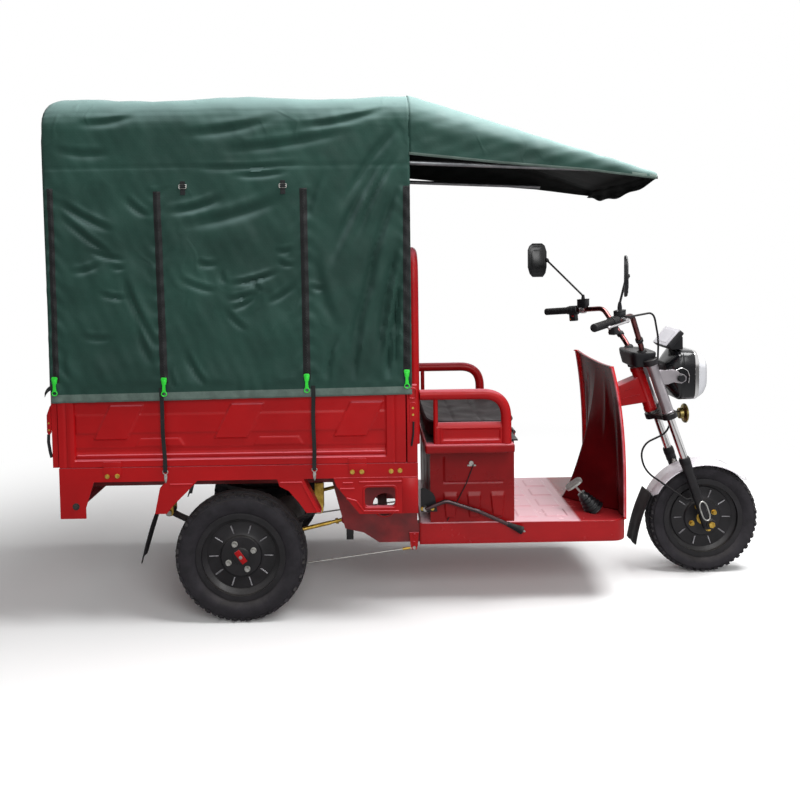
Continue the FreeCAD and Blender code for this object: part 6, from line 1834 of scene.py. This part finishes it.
def buildZips(v):
    for near, label in ((True, "Right"), (False, "Left")):
        bm = bmesh.new()
        teeth = []
        side = -1 if near else 1
        for number, line in enumerate(v["lines"]):
            # the outermost tapes lie partly on the bed's posts and are cut to the cloth's edge
            low, high = -v["tape"] / 2, v["tape"] / 2
            if number == 0:
                low = -0.008
            if number == 3:
                high = 0.012
            t = np.linspace(0, 1, 110)
            columns = [zipPlaces(line, t, low + (high - low) * share, stand,
                near) for share, stand in zip((0, 0.04, 0.35, 0.42, 0.5, 0.58, 0.65, 0.96, 1),
                (0.0004, 0.0012, 0.0014, 0.0028, 0.0032, 0.0028, 0.0014, 0.0012, 0.0004))]
            addGrid(bm, np.stack(columns, axis=1))
            count = int((line[0][1] - line[1][1]) / v["pitch"])
            for off, half in ((-0.0022, 0.0), (0.0022, 0.5)):
                t = (np.arange(1, count) + half) / count
                teeth += [tuple(p) for p in zipPlaces(line, t, (low + high) / 2 + off, 0.003, near)]
        piece = finishPiece("zipTapes" + label, bm, "chassis", [nylonTape], (), 60, outward=False)
        faceTowards(piece, 0, side, 0)
        thicken(piece, 0.0008)
        grow("zipTeeth" + label, boltTree, "chassis",
            {"Head": 0.002, "Rise": 0.0012, "Washer": 0.0014, "Sides": 4, "Seed": 2,
            "Turn": (-side * math.pi / 2, 0, 0), "Material": blackPlastic}, teeth)


pullValues = {"ring": 0.0088, "tops": (0.93, 0.922, 0.928, 0.938)}


def buildPulls(v):
    for near, label in ((True, "Right"), (False, "Left")):
        side = -1 if near else 1
        bm = bmesh.new()
        for line, top in zip(zipValues["lines"], v["tops"]):
            x = line[1][0] - 0.001
            y = side * 0.4835

            def make(u, w, d):
                return at(x + u * 1.3, y + side * d, top + w * 1.15)
            # slider, a stepped tab that narrows in the middle, and the ring at its end
            addPrism(bm, mm(-8.5, 14, -6.5, 19, 6.5, 19, 8.5, 14, 6, -4, -6, -4), (-0.0015, 0.0025),
                make, 0, 0.0012, 2)
            addPrism(bm, mm(-5, 10, 5, 10, 4, -12, 5.5, -28, -5.5, -28, -4, -12), (0.002, 0.005), make,
                0, 0.001, 2)
            ring = [make(v["ring"] * 0.8 * math.cos(a), -0.0335 + v["ring"] * 0.8 * math.sin(a),
                0.0035) for a in np.linspace(0, 2 * math.pi, 29)]
            addTube(bm, ring, 0.002, 12, 0, caps=False)
        finishPiece("zipPulls" + label, bm, "chassis", [greenNylon], (), 35)


buckleValues = {"spots": ((-0.172, 1.634), (0.191, 1.633)), "wide": 0.026, "tall": 0.014}


def buildBuckles(v):
    bm = bmesh.new()
    for side in (-1, 1):
        for x, z in v["spots"]:
            base = hoodSide(x, z, 0.0006, side < 0)

            def make(u, w, d):
                return base + Vector((u, side * d * 0.75, w))
            # a bent wire frame over a woven tab
            frameLine = [make(u * v["wide"] / 2, w * v["tall"] / 2 + 0.004, 0.004) for u, w in ((-1, -1),
                (1, -1), (1, 1), (-1, 1), (-1, -1), (1, -1))]
            addTube(bm, roundPath(frameLine, 0.003, 4), 0.0016, 10, 0)
            addTube(bm, [make(-v["wide"] / 2, 0.004, 0.0048), make(v["wide"] / 2, 0.004, 0.0048)],
                0.0012, 10, 0)
            addPrism(bm, mm(-9, -26, 9, -26, 9, 24, -9, 24), (0.0004, 0.0024), make, 1, 0.0006, 1)
            addPrism(bm, mm(-8.5, 0, 8.5, 0, 8.5, 12, -8.5, 12), (0.0052, 0.0068), make, 1, 0.0005, 1)
    finishPiece("hoodBuckles", bm, "chassis", [zincPlate, nylonTape], (), 35)


strapValues = {"spots": ((-0.271, -0.263), (0.287, 0.287)), "wide": 0.015, "top": 0.905, "low": 0.592,
    "y": 0.4791}


def buildStraps(v):
    bm = bmesh.new()
    for side in (-1, 1):
        for number, (xTop, xLow) in enumerate(v["spots"]):
            rows = []
            for i in range(60):
                t = i / 59
                z = v["top"] + (v["low"] - v["top"]) * t
                x = xTop + (xLow - xTop) * t + 0.0012 * math.sin(t * 9 + number)
                y = v["y"] + 0.0009 * math.sin(t * math.pi) + 0.0005 * math.sin(t * 13 + number)
                half = v["wide"] / 2
                row = [list(at(x + half * w, side * (y + d), z)) for w, d in ((-1, 0), (-0.85, 0.0008),
                    (-0.3, 0.0006), (0.3, 0.0006), (0.85, 0.0008), (1, 0), (0.85, -0.0008),
                    (0.3, -0.0006), (-0.3, -0.0006), (-0.85, -0.0008))]
                rows.append(row)
            made = addGrid(bm, np.array(rows), 0, True)
            bm.faces.new(made[:10])
            bm.faces.new(made[-10:])
            # the strap is doubled through the hook's eye and sewn back
            y0, y1 = side * (v["y"] + 0.0008), side * (v["y"] + 0.0024)
            addBox(bm, (xLow - v["wide"] / 2, y0, v["low"] - 0.001),
                (xLow + v["wide"] / 2, y1, v["low"] + 0.045), 0, 0.0005, 1)
            middle = at(xLow, side * (v["y"] - 0.0005), v["low"])
            eye = [middle + Vector((u, 0, w)) for u, w in ((-0.009, 0.004), (0.009, 0.004),
                (0.009, -0.003), (0.003, -0.009), (-0.003, -0.009), (-0.009, -0.003), (-0.009, 0.004))]
            addTube(bm, roundPath(eye, 0.003, 4), 0.0016, 10, 1)
            # the hook's flat shank and the claw that goes round the bed's edge
            addPlate(bm, [(xLow - 0.0045, 0.584), (xLow + 0.0045, 0.584), (xLow + 0.006, 0.575),
                (xLow + 0.0045, 0.556), (xLow - 0.0045, 0.556), (xLow - 0.006, 0.575)], side, 0.4745,
                0.4775, 1, 0.0008, 1)
            claw = [at(xLow, side * 0.476, 0.56), at(xLow, side * 0.4755, 0.5515),
                at(xLow, side * 0.466, 0.5515)]
            addTube(bm, roundPath(claw, 0.004, 5), 0.003, 12, 1)
    finishPiece("tieStraps", bm, "chassis", [nylonTape, zincPlate], ("tie_straps",), 35)


def buildRearTab():
    # a loose woven tab at each rear corner of the hem
    bm = bmesh.new()
    for side in (-1, 1):
        rows = []
        for i in range(14):
            t = i / 13
            x = -0.662 - 0.034 * t - 0.006 * math.sin(t * 3.0)
            z = 0.915 - 0.032 * t ** 1.4
            rows.append([list(at(x, side * (0.4775 + d), z + w)) for w, d in ((-0.009, 0),
                (-0.003, 0.0008), (0.003, 0.0008), (0.009, 0))])
        addGrid(bm, np.array(rows))
    piece = finishPiece("hemTabs", bm, "chassis", [nylonTape], (), 60)
    thicken(piece, 0.0012)


buildZips(zipValues)
buildPulls(pullValues)
buildBuckles(buckleValues)
buildStraps(strapValues)
buildRearTab()
print("hood trim ready")


# bed: tailgate, headboard, bolts, panels under its edge, lamps and flaps

tailValues = dict(gateValues, field=(-0.409, 0.395), pads=(-0.3165, -0.0094, 0.2977), padHalf=0.044,
    slant=0.0233, flats=(-0.1895, 0.1152), flatHalf=0.061)
bedValues = {"tail": -0.681, "hinge": (-0.684, 0.601), "hingeY": (-0.329, 0.0, 0.329), "edge": 0.47,
    "bolts": ((-0.479, 0.577), (-0.442, 0.578), (0.427, 0.579), (0.462, 0.579), (0.571, 0.579),
    (0.604, 0.581))}


def buildTailgate(v, bed):
    bm = bmesh.new()
    ys = np.arange(-0.4668, 0.4669, v["cell"])
    zs = np.arange(v["low"], v["high"], v["cell"] * 0.8)
    addPressing(bm, ys, zs, lambda u, z: 0.0003 - np.minimum(gateRelief(u, z, v), 0), v["thick"],
        lambda u, z, d: at(bed["tail"] + d, -u, z))
    hx, hz = bed["hinge"]
    for y in bed["hingeY"]:
        ring = mm(3.4, -32, 6.5, -32, 7, -31, 7, 31, 6.5, 32, 3.4, 32)
        addLathe(bm, ring, at(hx, y, hz), (0, 1, 0), 28, closed=True)
        addBox(bm, (hx - 0.002, y - 0.031, hz + 0.003), (hx + 0.004, y + 0.031, 0.64), 0, 0.001, 1)
    for side in (-1, 1):
        # over-centre latch: a red lever with its bolt, and a curved black grip
        lever = mm(-682, 846, -688.5, 838, -700.5, 806, -701, 742, -693.5, 728, -685, 742, -683, 800)
        addPlate(bm, lever, side, 0.4525, 0.4585, 0, 0.0016, 2)
        addPlate(bm, mm(-682, 838, -692, 822, -692, 752, -682, 744), side, 0.46, 0.466, 0, 0.0014, 2)
        for z in (0.752, 0.778):
            addTube(bm, [at(-0.69, side * 0.45, z), at(-0.69, side * 0.467, z)], 0.0034, 12, 2)
        grip = [at(-0.6955, side * 0.456, 0.734), at(-0.697, side * 0.456, 0.706),
            at(-0.692, side * 0.456, 0.668), at(-0.687, side * 0.456, 0.648)]
        addTube(bm, roundPath(grip, 0.03, 6), 0.0056, 16, 1)
    finishPiece("tailPressing", bm, "tailgate", [redEnamel, softRubber, goldZinc], ("tailgate",), 40)


headboardValues = {"half": 0.4375, "low": 0.6085, "high": 0.899, "rear": 0.631, "front": 0.645,
    "fields": (-0.29, 0.0, 0.29), "wall": 0.007}


def buildHeadboard(v):
    bm = bmesh.new()
    ys = np.linspace(-v["half"], v["half"], 130)
    zs = np.linspace(v["low"], v["high"], 52)

    def relief(u, z):
        level = np.zeros_like(u)
        for middle in v["fields"]:
            corners = [(middle - 0.115, 0.65), (middle + 0.115, 0.65), (middle + 0.115, 0.86),
                (middle - 0.115, 0.86)]
            level = level + 0.0035 * insideOf(u, z, corners, 0.012)
            inner = [(middle - 0.08, 0.69), (middle + 0.08, 0.69), (middle + 0.08, 0.82),
                (middle - 0.08, 0.82)]
            level = level - 0.0025 * insideOf(u, z, inner, 0.01)
        return 0.0003 + level
    addPressing(bm, ys, zs, relief, v["wall"], lambda u, z, d: at(v["front"] - d, u, z))
    addPressing(bm, ys, zs, relief, v["wall"], lambda u, z, d: at(v["rear"] + d, u, z))
    for side in (-1, 1):
        addPlate(bm, mm(631.5, 609, 670.5, 609, 670.5, 899.5, 631.5, 899.5), side, 0.4385, 0.47, 0,
            0.003, 3)
        # the gate's catch: a bent loop, its backing plate with two slots, and the black grip under it
        y = side * 0.4712
        loop = [at(0.64, y, 0.85), at(0.64, y, 0.888), at(0.666, y, 0.888), at(0.666, y, 0.85),
            at(0.64, y, 0.85), at(0.64, y, 0.87)]
        addTube(bm, roundPath(loop, 0.009, 5), 0.0026, 12, 0)
        addPlate(bm, mm(642, 763, 667, 763, 667, 830, 661, 836, 648, 836, 642, 830), side, 0.4698,
            0.4722, 0, 0.0008, 1)
        for z in (0.79, 0.815):
            addTube(bm, [at(0.6545, side * 0.4715, z), at(0.6545, side * 0.4748, z)], 0.0042, 14, 2)
        grip = [at(0.656, side * 0.4735, 0.764), at(0.655, side * 0.4745, 0.72),
            at(0.648, side * 0.4735, 0.674)]
        addTube(bm, roundPath(grip, 0.03, 6), 0.0058, 16, 1, flat=0.6)
    finishPiece("headPressing", bm, "chassis", [redEnamel, softRubber, goldZinc], ("headboard",), 40)


def addBead(bm, points, side, radius=0.0046, bend=0.006):
    # a bead pressed out of a side panel, half sunk in it
    path = [at(x, side * (bedValues["edge"] - radius * 0.35), z) for x, z in points]
    addTube(bm, roundPath(path, bend, 4) if len(path) > 2 else path, radius, 12, 0)


def buildBeads():
    bm = bmesh.new()
    window = mm(500, 440, 590, 440, 590, 524, 467, 524, 467, 440, 501, 440)
    for side in (-1, 1):
        for line in (((0.391, 0.536), (0.429, 0.536)), ((0.381, 0.514), (0.433, 0.514)),
                ((0.452, 0.5385), (0.609, 0.5385)),
                ((0.404, 0.478), (0.439, 0.468), (0.467, 0.429), (0.598, 0.427))):
            addBead(bm, line, side)
        addBead(bm, window, side, 0.0034, 0.015)
        addPlate(bm, mm(611.5, 419.5, 670.5, 419.5, 670.5, 553, 611.5, 553), side, 0.4695, 0.4712, 0,
            0.0007, 1)
        addBead(bm, ((0.159, 0.541), (0.238, 0.541), (0.294, 0.43)), side, 0.004)
        addBead(bm, ((-0.249, 0.541), (-0.166, 0.541)), side, 0.004)
        # seam where the lower panels meet the bed's edge
        addBead(bm, ((0.358, 0.5552), (0.669, 0.5552)), side, 0.0022)
        # lip round the crescent cut in the rail
        arc = [at(0.5482 + 0.0472 * math.cos(a), side * 0.3062,
            0.402 + 0.0472 * math.sin(a)) for a in np.linspace(-2.9, -0.25, 24)]
        addTube(bm, arc, 0.0032, 10)
    finishPiece("pressedBeads", bm, "chassis", [redEnamel], (), 60)


def buildFasteners(v):
    for side, label in ((-1, "Right"), (1, "Left")):
        turn = (-side * math.pi / 2, 0, 0)
        points = [at(x, side * 0.4706 if abs(x) > 0.48 else side * 0.4728, z) for x, z in v["bolts"]]
        grow("edgeBolts" + label, boltTree, "chassis",
            {"Head": 0.0068, "Rise": 0.0046, "Washer": 0.0088, "Sides": 18, "Seed": 3, "Turn": turn,
            "Material": goldZinc}, points)
        grow("panelBolt" + label, boltTree, "chassis",
            {"Head": 0.009, "Rise": 0.007, "Washer": 0.013, "Sides": 6, "Seed": 5, "Turn": turn,
            "Material": dirtyIron}, [at(-0.598, side * 0.4706, 0.465)])
        if side < 0:
            points = [at(0.696, side * 0.313, 0.385), at(0.735, side * 0.313, 0.385)]
            grow("quadrantBolts", boltTree, "chassis",
                {"Head": 0.0052, "Rise": 0.004, "Washer": 0.0075, "Sides": 6, "Seed": 6, "Turn": turn,
                "Material": goldZinc}, points)


tailLampValues = {"y": 0.376, "half": 0.065, "low": 0.4485, "high": 0.5255, "lens": -0.6688,
    "bulge": 0.004, "flute": 0.0055, "cell": 0.0012, "shares": ((0.46, 1), (0.3, 2), (0.24, 3))}


def buildTailLamps(v):
    # a black box, its rim, and three fluted lenses beside each other: red, amber and clear
    bm = bmesh.new()
    for side in (-1, 1):
        low, high = side * v["y"] - v["half"], side * v["y"] + v["half"]
        for inset, depth, bevel, steps in ((0, (-0.659, -0.6275), 0.003, 2),
                (0.001, (-0.662, -0.6585), 0.001, 1)):
            left, right, foot, top = low + inset, high - inset, v["low"] + inset, v["high"] - inset
            outline = [(left, foot), (right, foot), (right, top), (left, top)]
            addPrism(bm, outline, depth, lengthways, 0, bevel, steps)
        inner, outer = (low, high) if side > 0 else (high, low)
        start = outer
        for share, slot in v["shares"]:
            stop = start + (inner - outer) * share
            a, b = sorted((start, stop))
            ys = np.linspace(a + v["cell"], b - v["cell"], int((b - a) / v["cell"]))
            zs = np.linspace(v["low"] + 0.003, v["high"] - 0.003, 40)

            def face(u, z):
                edge = np.minimum(np.minimum(u - ys[0], ys[-1] - u), np.minimum(z - zs[0], zs[-1] - z))
                past = 1 - np.clip(edge / v["bulge"], 0, 1)
                curve = v["bulge"] * (1 - np.sqrt(np.clip(1 - past ** 2, 0, 1)))
                return curve + 0.0005 * (1 + np.sin(u * 2 * math.pi / v["flute"]))
            addPressing(bm, ys, zs, face, 0.0078, lambda u, z, d: at(v["lens"] + d, u, z), slot)
            start = stop
        for y in (low + 0.008, high - 0.008):
            addTube(bm, [at(-0.6675, y, 0.487), at(-0.6698, y, 0.487)], 0.0026, 10, 4)
    finishPiece("tailLampPair", bm, "chassis", [blackPlastic, redLens, amberLens, reflectionWhitenedLens, zincPlate],
        ("tail_lamps",), 40)


rearFlapValues = {"inner": 0.348, "outer": 0.452, "top": 0.451, "foot": 0.246, "crease": 0.0016,
    "rows": 34, "columns": 40, "wall": 0.0034}


def buildRearFlaps(v):
    bm = bmesh.new()
    for side in (-1, 1):
        rows = []
        for i in range(v["rows"]):
            t = i / (v["rows"] - 1)
            y = np.linspace(v["inner"], v["outer"], v["columns"])
            z = v["top"] + (v["foot"] - v["top"]) * t
            lean = -0.3075 + 0.0034 * (1 - t) if t < 0.1 else -0.3085 - 0.06 * ((t - 0.1) / 0.9) ** 0.85
            x = lean - 0.0022 + v["crease"] * np.sin(y * 90 + side) * t
            drop = (0.012 * smooth(y, 0.4, v["outer"]) - 0.004) * t ** 4
            rows.append(np.stack([x - midX, side * y, z - drop + 0.002], axis=1))
        addGrid(bm, np.array(rows))
    piece = finishPiece("rearFlaps", bm, "chassis", [softRubber], ("rear_mud_flaps",), 60)
    thicken(piece, v["wall"])


buildTailgate(tailValues, bedValues)
buildHeadboard(headboardValues)
buildBeads()
buildFasteners(bedValues)
buildTailLamps(tailLampValues)
buildRearFlaps(rearFlapValues)
print("bed ready")


# under the bed: shackles, radius rods, brake rods with their cranks

linkValues = {"rail": 0.286, "eye": (0.292, 0.388), "rod": ((0.038, 0.249), (0.392, 0.33)), "rodY": 0.25,
    "brake": ((0.0, 0.145), (0.662, 0.231)), "brakeY": 0.3098}


def buildLinks(v):
    bm = bmesh.new()
    for side in (-1, 1):
        for end in (-1, 1):
            x, z = end * v["eye"][0], v["eye"][1]
            for outer in (-1, 1):
                y = side * v["rail"] + outer * 0.0283
                plate = [(x - 0.0165, 0.494), (x - 0.0165, z), (x - 0.012, z - 0.012), (x, z - 0.0158),
                    (x + 0.012, z - 0.012), (x + 0.0165, z), (x + 0.0165, 0.494)]
                addPrism(bm, plate, (y - 0.0028, y + 0.0028), sideways, 0, 0.0012, 1)
            edge = sorted((side * v["rail"] - 0.0385, side * v["rail"] + 0.0385))
            addTube(bm, [at(x, edge[0], z), at(x, edge[1], z)], 0.0062, 16, 1)
            for y in edge:
                addLathe(bm, mm(0, -4, 11.5, -4, 11.5, 4, 0, 4), at(x, y, z), steps=6, slot=1)
            low, high = side * v["rail"] - 0.031, side * v["rail"] + 0.031
            addBox(bm, (x - 0.0165, low, 0.4895), (x + 0.0165, high, 0.4948), 0, 0.001, 1)
        (x0, z0), (x1, z1) = v["rod"]
        start, end = at(x0, side * v["rodY"], z0), at(x1, side * v["rodY"], z1)
        run = (end - start).normalized()
        length = (end - start).length
        addLathe(bm, [(0.0, 0.0), (0.008, 0.0), (0.008, length - 0.06), (0.0066, length - 0.058),
            (0.0066, length - 0.04), (0.0115, length - 0.04), (0.0115, length - 0.03),
            (0.007, length - 0.029), (0.007, length - 0.014), (0.0, length - 0.014)], start, run, 24)
        addLathe(bm, mm(6, -15.5, 15, -15.5, 16, -14, 16, 14, 15, 15.5, 6, 15.5), end, steps=32, slot=2,
            closed=True)
        addTube(bm, [end + Vector((0, -0.019, 0)), end + Vector((0, 0.019, 0))], 0.0072, 16, 2)
        (x0, z0), (x1, z1) = v["brake"]
        start, end = at(x0, side * v["brakeY"], z0), at(x1, side * v["brakeY"], z1)
        run = (end - start).normalized()
        addTube(bm, [start, end], 0.0034, 14, 1)
        for place, reach in ((start, 0.03), (end - run * 0.045, 0.03)):
            addTube(bm, [place, place + run * reach], 0.0052, 12, 0)
        y = side * v["brakeY"]
        # brake arm on the backing plate, and the red crank that pulls the rod
        addPrism(bm, mm(-9.5, 218.5, -8, 152, 0, 144.5, 8, 152, 9.5, 218.5), (y - 0.0034, y + 0.0034),
            sideways, 3, 0.001, 1)
        addPrism(bm, mm(652.5, 222.5, 671.5, 222.5, 676, 240, 681.5, 291.5, 642.5, 291.5, 648, 240),
            (y - 0.0034, y + 0.0034), sideways, 2, 0.001, 1)
        for x, z in ((0.662, 0.231), (0.662, 0.25), (0.665, 0.28)):
            addLathe(bm, mm(0, -6.5, 6.2, -6.5, 7, -5, 7, 5, 6.2, 6.5, 0, 6.5), at(x, y, z), steps=18,
                slot=2 if z > 0.24 else 1)
        # rubber stop under the rail's step
        low, high = side * 0.272, side * 0.3
        addBox(bm, (0.396, low, 0.262), (0.424, high, 0.318), 3, 0.003, 2)
    finishPiece("axleLinks", bm, "chassis", [goldZinc, zincPlate, redEnamel, blackEnamel],
        ("axle_links",), 35)


buildLinks(linkValues)


# controls at the floor: brake pedal with its boot, parking lever on its quadrant

pedalValues = {"pad": (1.318, -0.2, 0.442), "foot": (1.405, -0.2, 0.333), "tilt": 35, "long": 0.074,
    "wide": 0.06, "rings": 5}


def buildPedal(v):
    bm = bmesh.new()
    pad, foot = at(*v["pad"]), at(*v["foot"])
    lean = math.radians(v["tilt"])
    ahead = Vector((math.cos(lean), 0, math.sin(lean)))
    face = Vector((-math.sin(lean), 0, math.cos(lean)))

    def make(u, w, d):
        return pad + ahead * u + Vector((0, w, 0)) + face * d
    outline = [(x * v["long"] / 2, y * v["wide"] / 2) for x, y in softSquare(28, 4)]
    addPrism(bm, outline, (-0.0055, 0.0015), make, 0, 0.0015, 2)
    addPrism(bm, [(u * 0.94, w * 0.94) for u, w in outline], (0.001, 0.0042), make, 1, 0.0012, 2)
    # ribs moulded across the tread
    for i in range(8):
        u = -0.028 + i * 0.008
        half = v["wide"] / 2 * 0.86 * math.sqrt(max(1 - (abs(u) / (v["long"] / 2)) ** 4, 0.1))
        addTube(bm, [make(u, -half, 0.004), make(u, half, 0.004)], 0.0019, 8, 1)
    up = (pad - foot).normalized()
    addTube(bm, [pad - up * 0.004, foot], 0.005, 16, 0)
    finishPiece("brakePedal", bm, "chassis", [zincPlate, treadRubber], ("brake_pedal",), 35)
    bm = bmesh.new()
    profile = [(0.0058, -0.004)]
    height = 0.078
    for i in range(v["rings"]):
        a = 0.002 + height * i / v["rings"]
        r = 0.043 + (0.0215 - 0.043) * (i / v["rings"]) ** 0.9
        step = height / v["rings"]
        profile += [(r * 0.86, a), (r, a + step * 0.3), (r * 0.98, a + step * 0.5),
            (r * 0.8, a + step * 0.85)]
    profile += [(0.0185, height + 0.002), (0.0165, height + 0.014), (0.0058, height + 0.016)]
    base = foot - up * 0.002
    addLathe(bm, profile, base, up, 44, closed=True)
    for vert in bm.verts:
        vert.co.z = max(vert.co.z, 0.3292)
    finishPiece("pedalBoot", bm, "chassis", [bootRubber], ("pedal_boot",), 30)


# worn grey tread rubber on the pedal
treadRubber = makeSurface("treadRubber", "#8f8a88", "#6f6b69", cloud=0.01, rough=0.6, grain=0.002,
    grainStrength=0.3, dust=0.2)
# the pedal's bellows: black, soft and oiled
bootRubber = makeSurface("bootRubber", "#111216", "#0b0b0e", cloud=0.03, rough=0.28, roughSpread=0.12,
    specular=0.4, grain=0.004, grainStrength=0.15)
buildPedal(pedalValues)

brakeValues = {"plate": (0.69, 0.372), "leverY": -0.328,
    "route": ((0.706, 0.388), (0.788, 0.42), (0.915, 0.376), (1.031, 0.322)), "radius": 0.008}


def buildParkingBrake(v):
    bm = bmesh.new()
    px, pz = v["plate"]
    outline = [(px, pz), (px, pz + 0.09), (px + 0.006, pz + 0.097)]
    for i in range(12):
        # notched edge that the lever's pawl rides on
        t = i / 11
        outline.append((px + 0.01 + 0.038 * t, pz + (0.0965 if i % 2 else 0.0925) - 0.022 * t ** 1.5))
    outline += [(px + 0.056, pz + 0.058), (px + 0.065, pz)]
    addPrism(bm, outline[::-1], (-0.311, -0.3065), sideways, 0, 0.0008, 1)
    points = [at(x, v["leverY"], z) for x, z in v["route"]]
    addTube(bm, roundPath(points, 0.04, 8), v["radius"], 22, 1)
    addTube(bm, [at(0.706, -0.33, 0.388), at(0.706, -0.3065, 0.388)], 0.0095, 18, 2)
    run = (points[-1] - points[-2]).normalized()
    grip = [(0.0, -0.004), (0.0088, -0.004), (0.0098, -0.001)]
    for i in range(8):
        a = 0.001 + i * 0.0064
        r = 0.0098 + 0.0052 * (i / 7) ** 1.5
        grip += [(r, a), (r, a + 0.004), (r - 0.0008, a + 0.0047), (r - 0.0008, a + 0.006)]
    grip += mm(15.5, 54, 16, 58, 14, 60.5, 0, 61)
    addLathe(bm, grip, points[-1], run, 28, 3)
    addLathe(bm, mm(0, 60.5, 4, 60.5, 4, 70, 3, 71.5, 0, 71.5), points[-1], run, 16, 2)
    finishPiece("parkingBrake", bm, "chassis", [blackEnamel, leverEnamel, zincPlate, softRubber],
        ("parking_brake",), 35)
    # thin dark line drawn as a tube from the seat lock down to the floor behind the lever
    bm = bmesh.new()
    addTube(bm, [at(0.897, -0.3105, 0.556), at(0.868, -0.3105, 0.48), at(0.792, -0.3105, 0.334)], 0.002,
        10)
    finishPiece("lockRod", bm, "chassis", [softRubber])


# lacquered dark steel lever
leverEnamel = makeSurface("leverEnamel", "#4a3034", "#2a1c1f", cloud=0.08, metal=0.6, rough=0.25,
    coat=0.4, grain=0.006)
buildParkingBrake(brakeValues)


# three bows of tube in sockets on the bed, and two tubes that reach ahead under the visor
bowValues = {"places": (-0.6247, -0.0213, 0.6145), "half": 0.4335, "low": 0.608, "top": 1.9583,
    "crown": 1.9832, "radius": 0.0125, "bend": 0.13, "visor": ((0.6145, 1.722), (1.316, 1.69)),
    "visorRadius": 0.009}


def buildBows(v):
    bm = bmesh.new()
    for x in v["places"]:
        half, top = v["half"], v["top"]
        path = roundPath([at(x, -half, v["low"]), at(x, -half, top), at(x, 0, v["crown"]),
            at(x, half, top), at(x, half, v["low"])], v["bend"], 14)
        addTube(bm, path, v["radius"], 20)
        for side in (-1, 1):
            # socket that each foot stands in, with its clamp screw
            addLathe(bm, mm(12.8, 0, 17, 0, 17.6, 2, 17.6, 70, 16.5, 72, 12.8, 72),
                at(x, side * half, v["low"] + 0.0035), (0, 0, 1), 28, 1, closed=True)
            addTube(bm, [at(x, side * half, 0.655), at(x, side * (half - 0.025), 0.655)], 0.0042, 6, 2)
    (x0, z0), (x1, z1) = v["visor"]
    for side in (-1, 1):
        addTube(bm, [at(x0, side * v["half"], z0), at(x1, side * v["half"], z1)], v["visorRadius"], 18)
    finishPiece("hoodBows", bm, "chassis", [bowTube, redEnamel, zincPlate], ("canopy_bows",), 40)


buildBows(bowValues)
print("links and controls ready")


# floor, backdrop and light

# lamps as (name, place, size, power); the floor turns white between the two reaches
stageValues = {"half": 30, "white": (1.7, 3.4), "yard": 0.42, "worldLight": 0.27,
    "lamps": (("skyLamp", (1.5, -0.45, 4.5), 2.6, 290), ("sideLamp", (0.9, -4.8, 3.1), 3.0, 115))}


def buildStage(v):
    bm = bmesh.new()
    corners = [(x * v["half"], y * v["half"], 0) for x, y in ((-1, -1), (1, -1), (1, 1), (-1, 1))]
    bm.faces.new([bm.verts.new(p) for p in corners])
    mesh = bpy.data.meshes.new("studioFloor")
    bm.to_mesh(mesh)
    bm.free()
    floor = bpy.data.objects.new("studioFloor", mesh)
    bpy.context.collection.objects.link(floor)
    material = bpy.data.materials.new("paleFloor")
    material.use_nodes = True
    tree = material.node_tree
    shader = tree.nodes["Principled BSDF"]
    shader.inputs["Roughness"].default_value = 0.9
    shader.inputs["Specular IOR Level"].default_value = 0.1
    rays = addNode(tree, "ShaderNodeLightPath")
    # the camera sees a white floor with its shadows; light bounced off it is that of a grey yard
    seen = addNode(tree, "ShaderNodeMix", {"data_type": "RGBA", 6: (v["yard"],) * 3 + (1,),
        7: (1, 1, 1, 1)}, {0: rays.outputs["Is Camera Ray"]})
    tree.links.new(seen.outputs[2], shader.inputs["Base Color"])
    # far from the vehicle the floor is the same white as the backdrop
    place = addNode(tree, "ShaderNodeTexCoord")
    reach = addNode(tree, "ShaderNodeVectorMath", {"operation": "LENGTH"}, {0: place.outputs["Object"]})
    far = addNode(tree, "ShaderNodeMapRange",
        {"interpolation_type": "SMOOTHSTEP", "From Min": v["white"][0], "From Max": v["white"][1]},
        {"Value": reach.outputs["Value"]})
    whole = reckon(tree, "MULTIPLY", far.outputs["Result"], rays.outputs["Is Camera Ray"])
    white = addNode(tree, "ShaderNodeEmission", {"Color": (1, 1, 1, 1), "Strength": 1.0})
    blend = addNode(tree, "ShaderNodeMixShader", {},
        {0: whole, 1: shader.outputs[0], 2: white.outputs[0]})
    tree.links.new(blend.outputs[0], tree.nodes["Material Output"].inputs["Surface"])
    mesh.materials.append(material)
    world = bpy.data.worlds.new("studioWorld")
    bpy.context.scene.world = world
    world.use_nodes = True
    tree = world.node_tree
    back = tree.nodes["Background"]
    rays = addNode(tree, "ShaderNodeLightPath")
    both = reckon(tree, "MAXIMUM", rays.outputs["Is Camera Ray"], rays.outputs["Is Glossy Ray"])
    every = reckon(tree, "MAXIMUM", both, rays.outputs["Is Transmission Ray"])
    back.inputs["Color"].default_value = (1, 1, 1, 1)
    level = addNode(tree, "ShaderNodeMapRange", {"To Min": v["worldLight"], "To Max": 1.0},
        {"Value": every})
    tree.links.new(level.outputs["Result"], back.inputs["Strength"])
    for name, place, size, power in v["lamps"]:
        lamp = bpy.data.lights.new(name, "AREA")
        lamp.shape = "SQUARE"
        lamp.size = size
        lamp.energy = power
        holder = bpy.data.objects.new(name, lamp)
        holder.location = place
        holder.rotation_euler = (Vector((0, 0, 0.9)) - Vector(place)).to_track_quat("-Z", "Y").to_euler()
        bpy.context.collection.objects.link(holder)


buildStage(stageValues)


# the solids that stay as they are get their finishes: the deck, the panels under the bed's edge and
# the guards' brackets are red like the bed

nodeFinishes = {"chassis_rails": chassisEnamel, "cross_members": chassisEnamel, "rear_axle": dirtyIron,
    "leaf_springs": blackEnamel, "battery": batteryCase, "seat_pan": blackEnamel,
    "front_brake_hose": softRubber}
for node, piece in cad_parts.items():
    finish = nodeFinishes.get(node, redEnamel)
    for slotPlace in piece.material_slots:
        slotPlace.material = finish
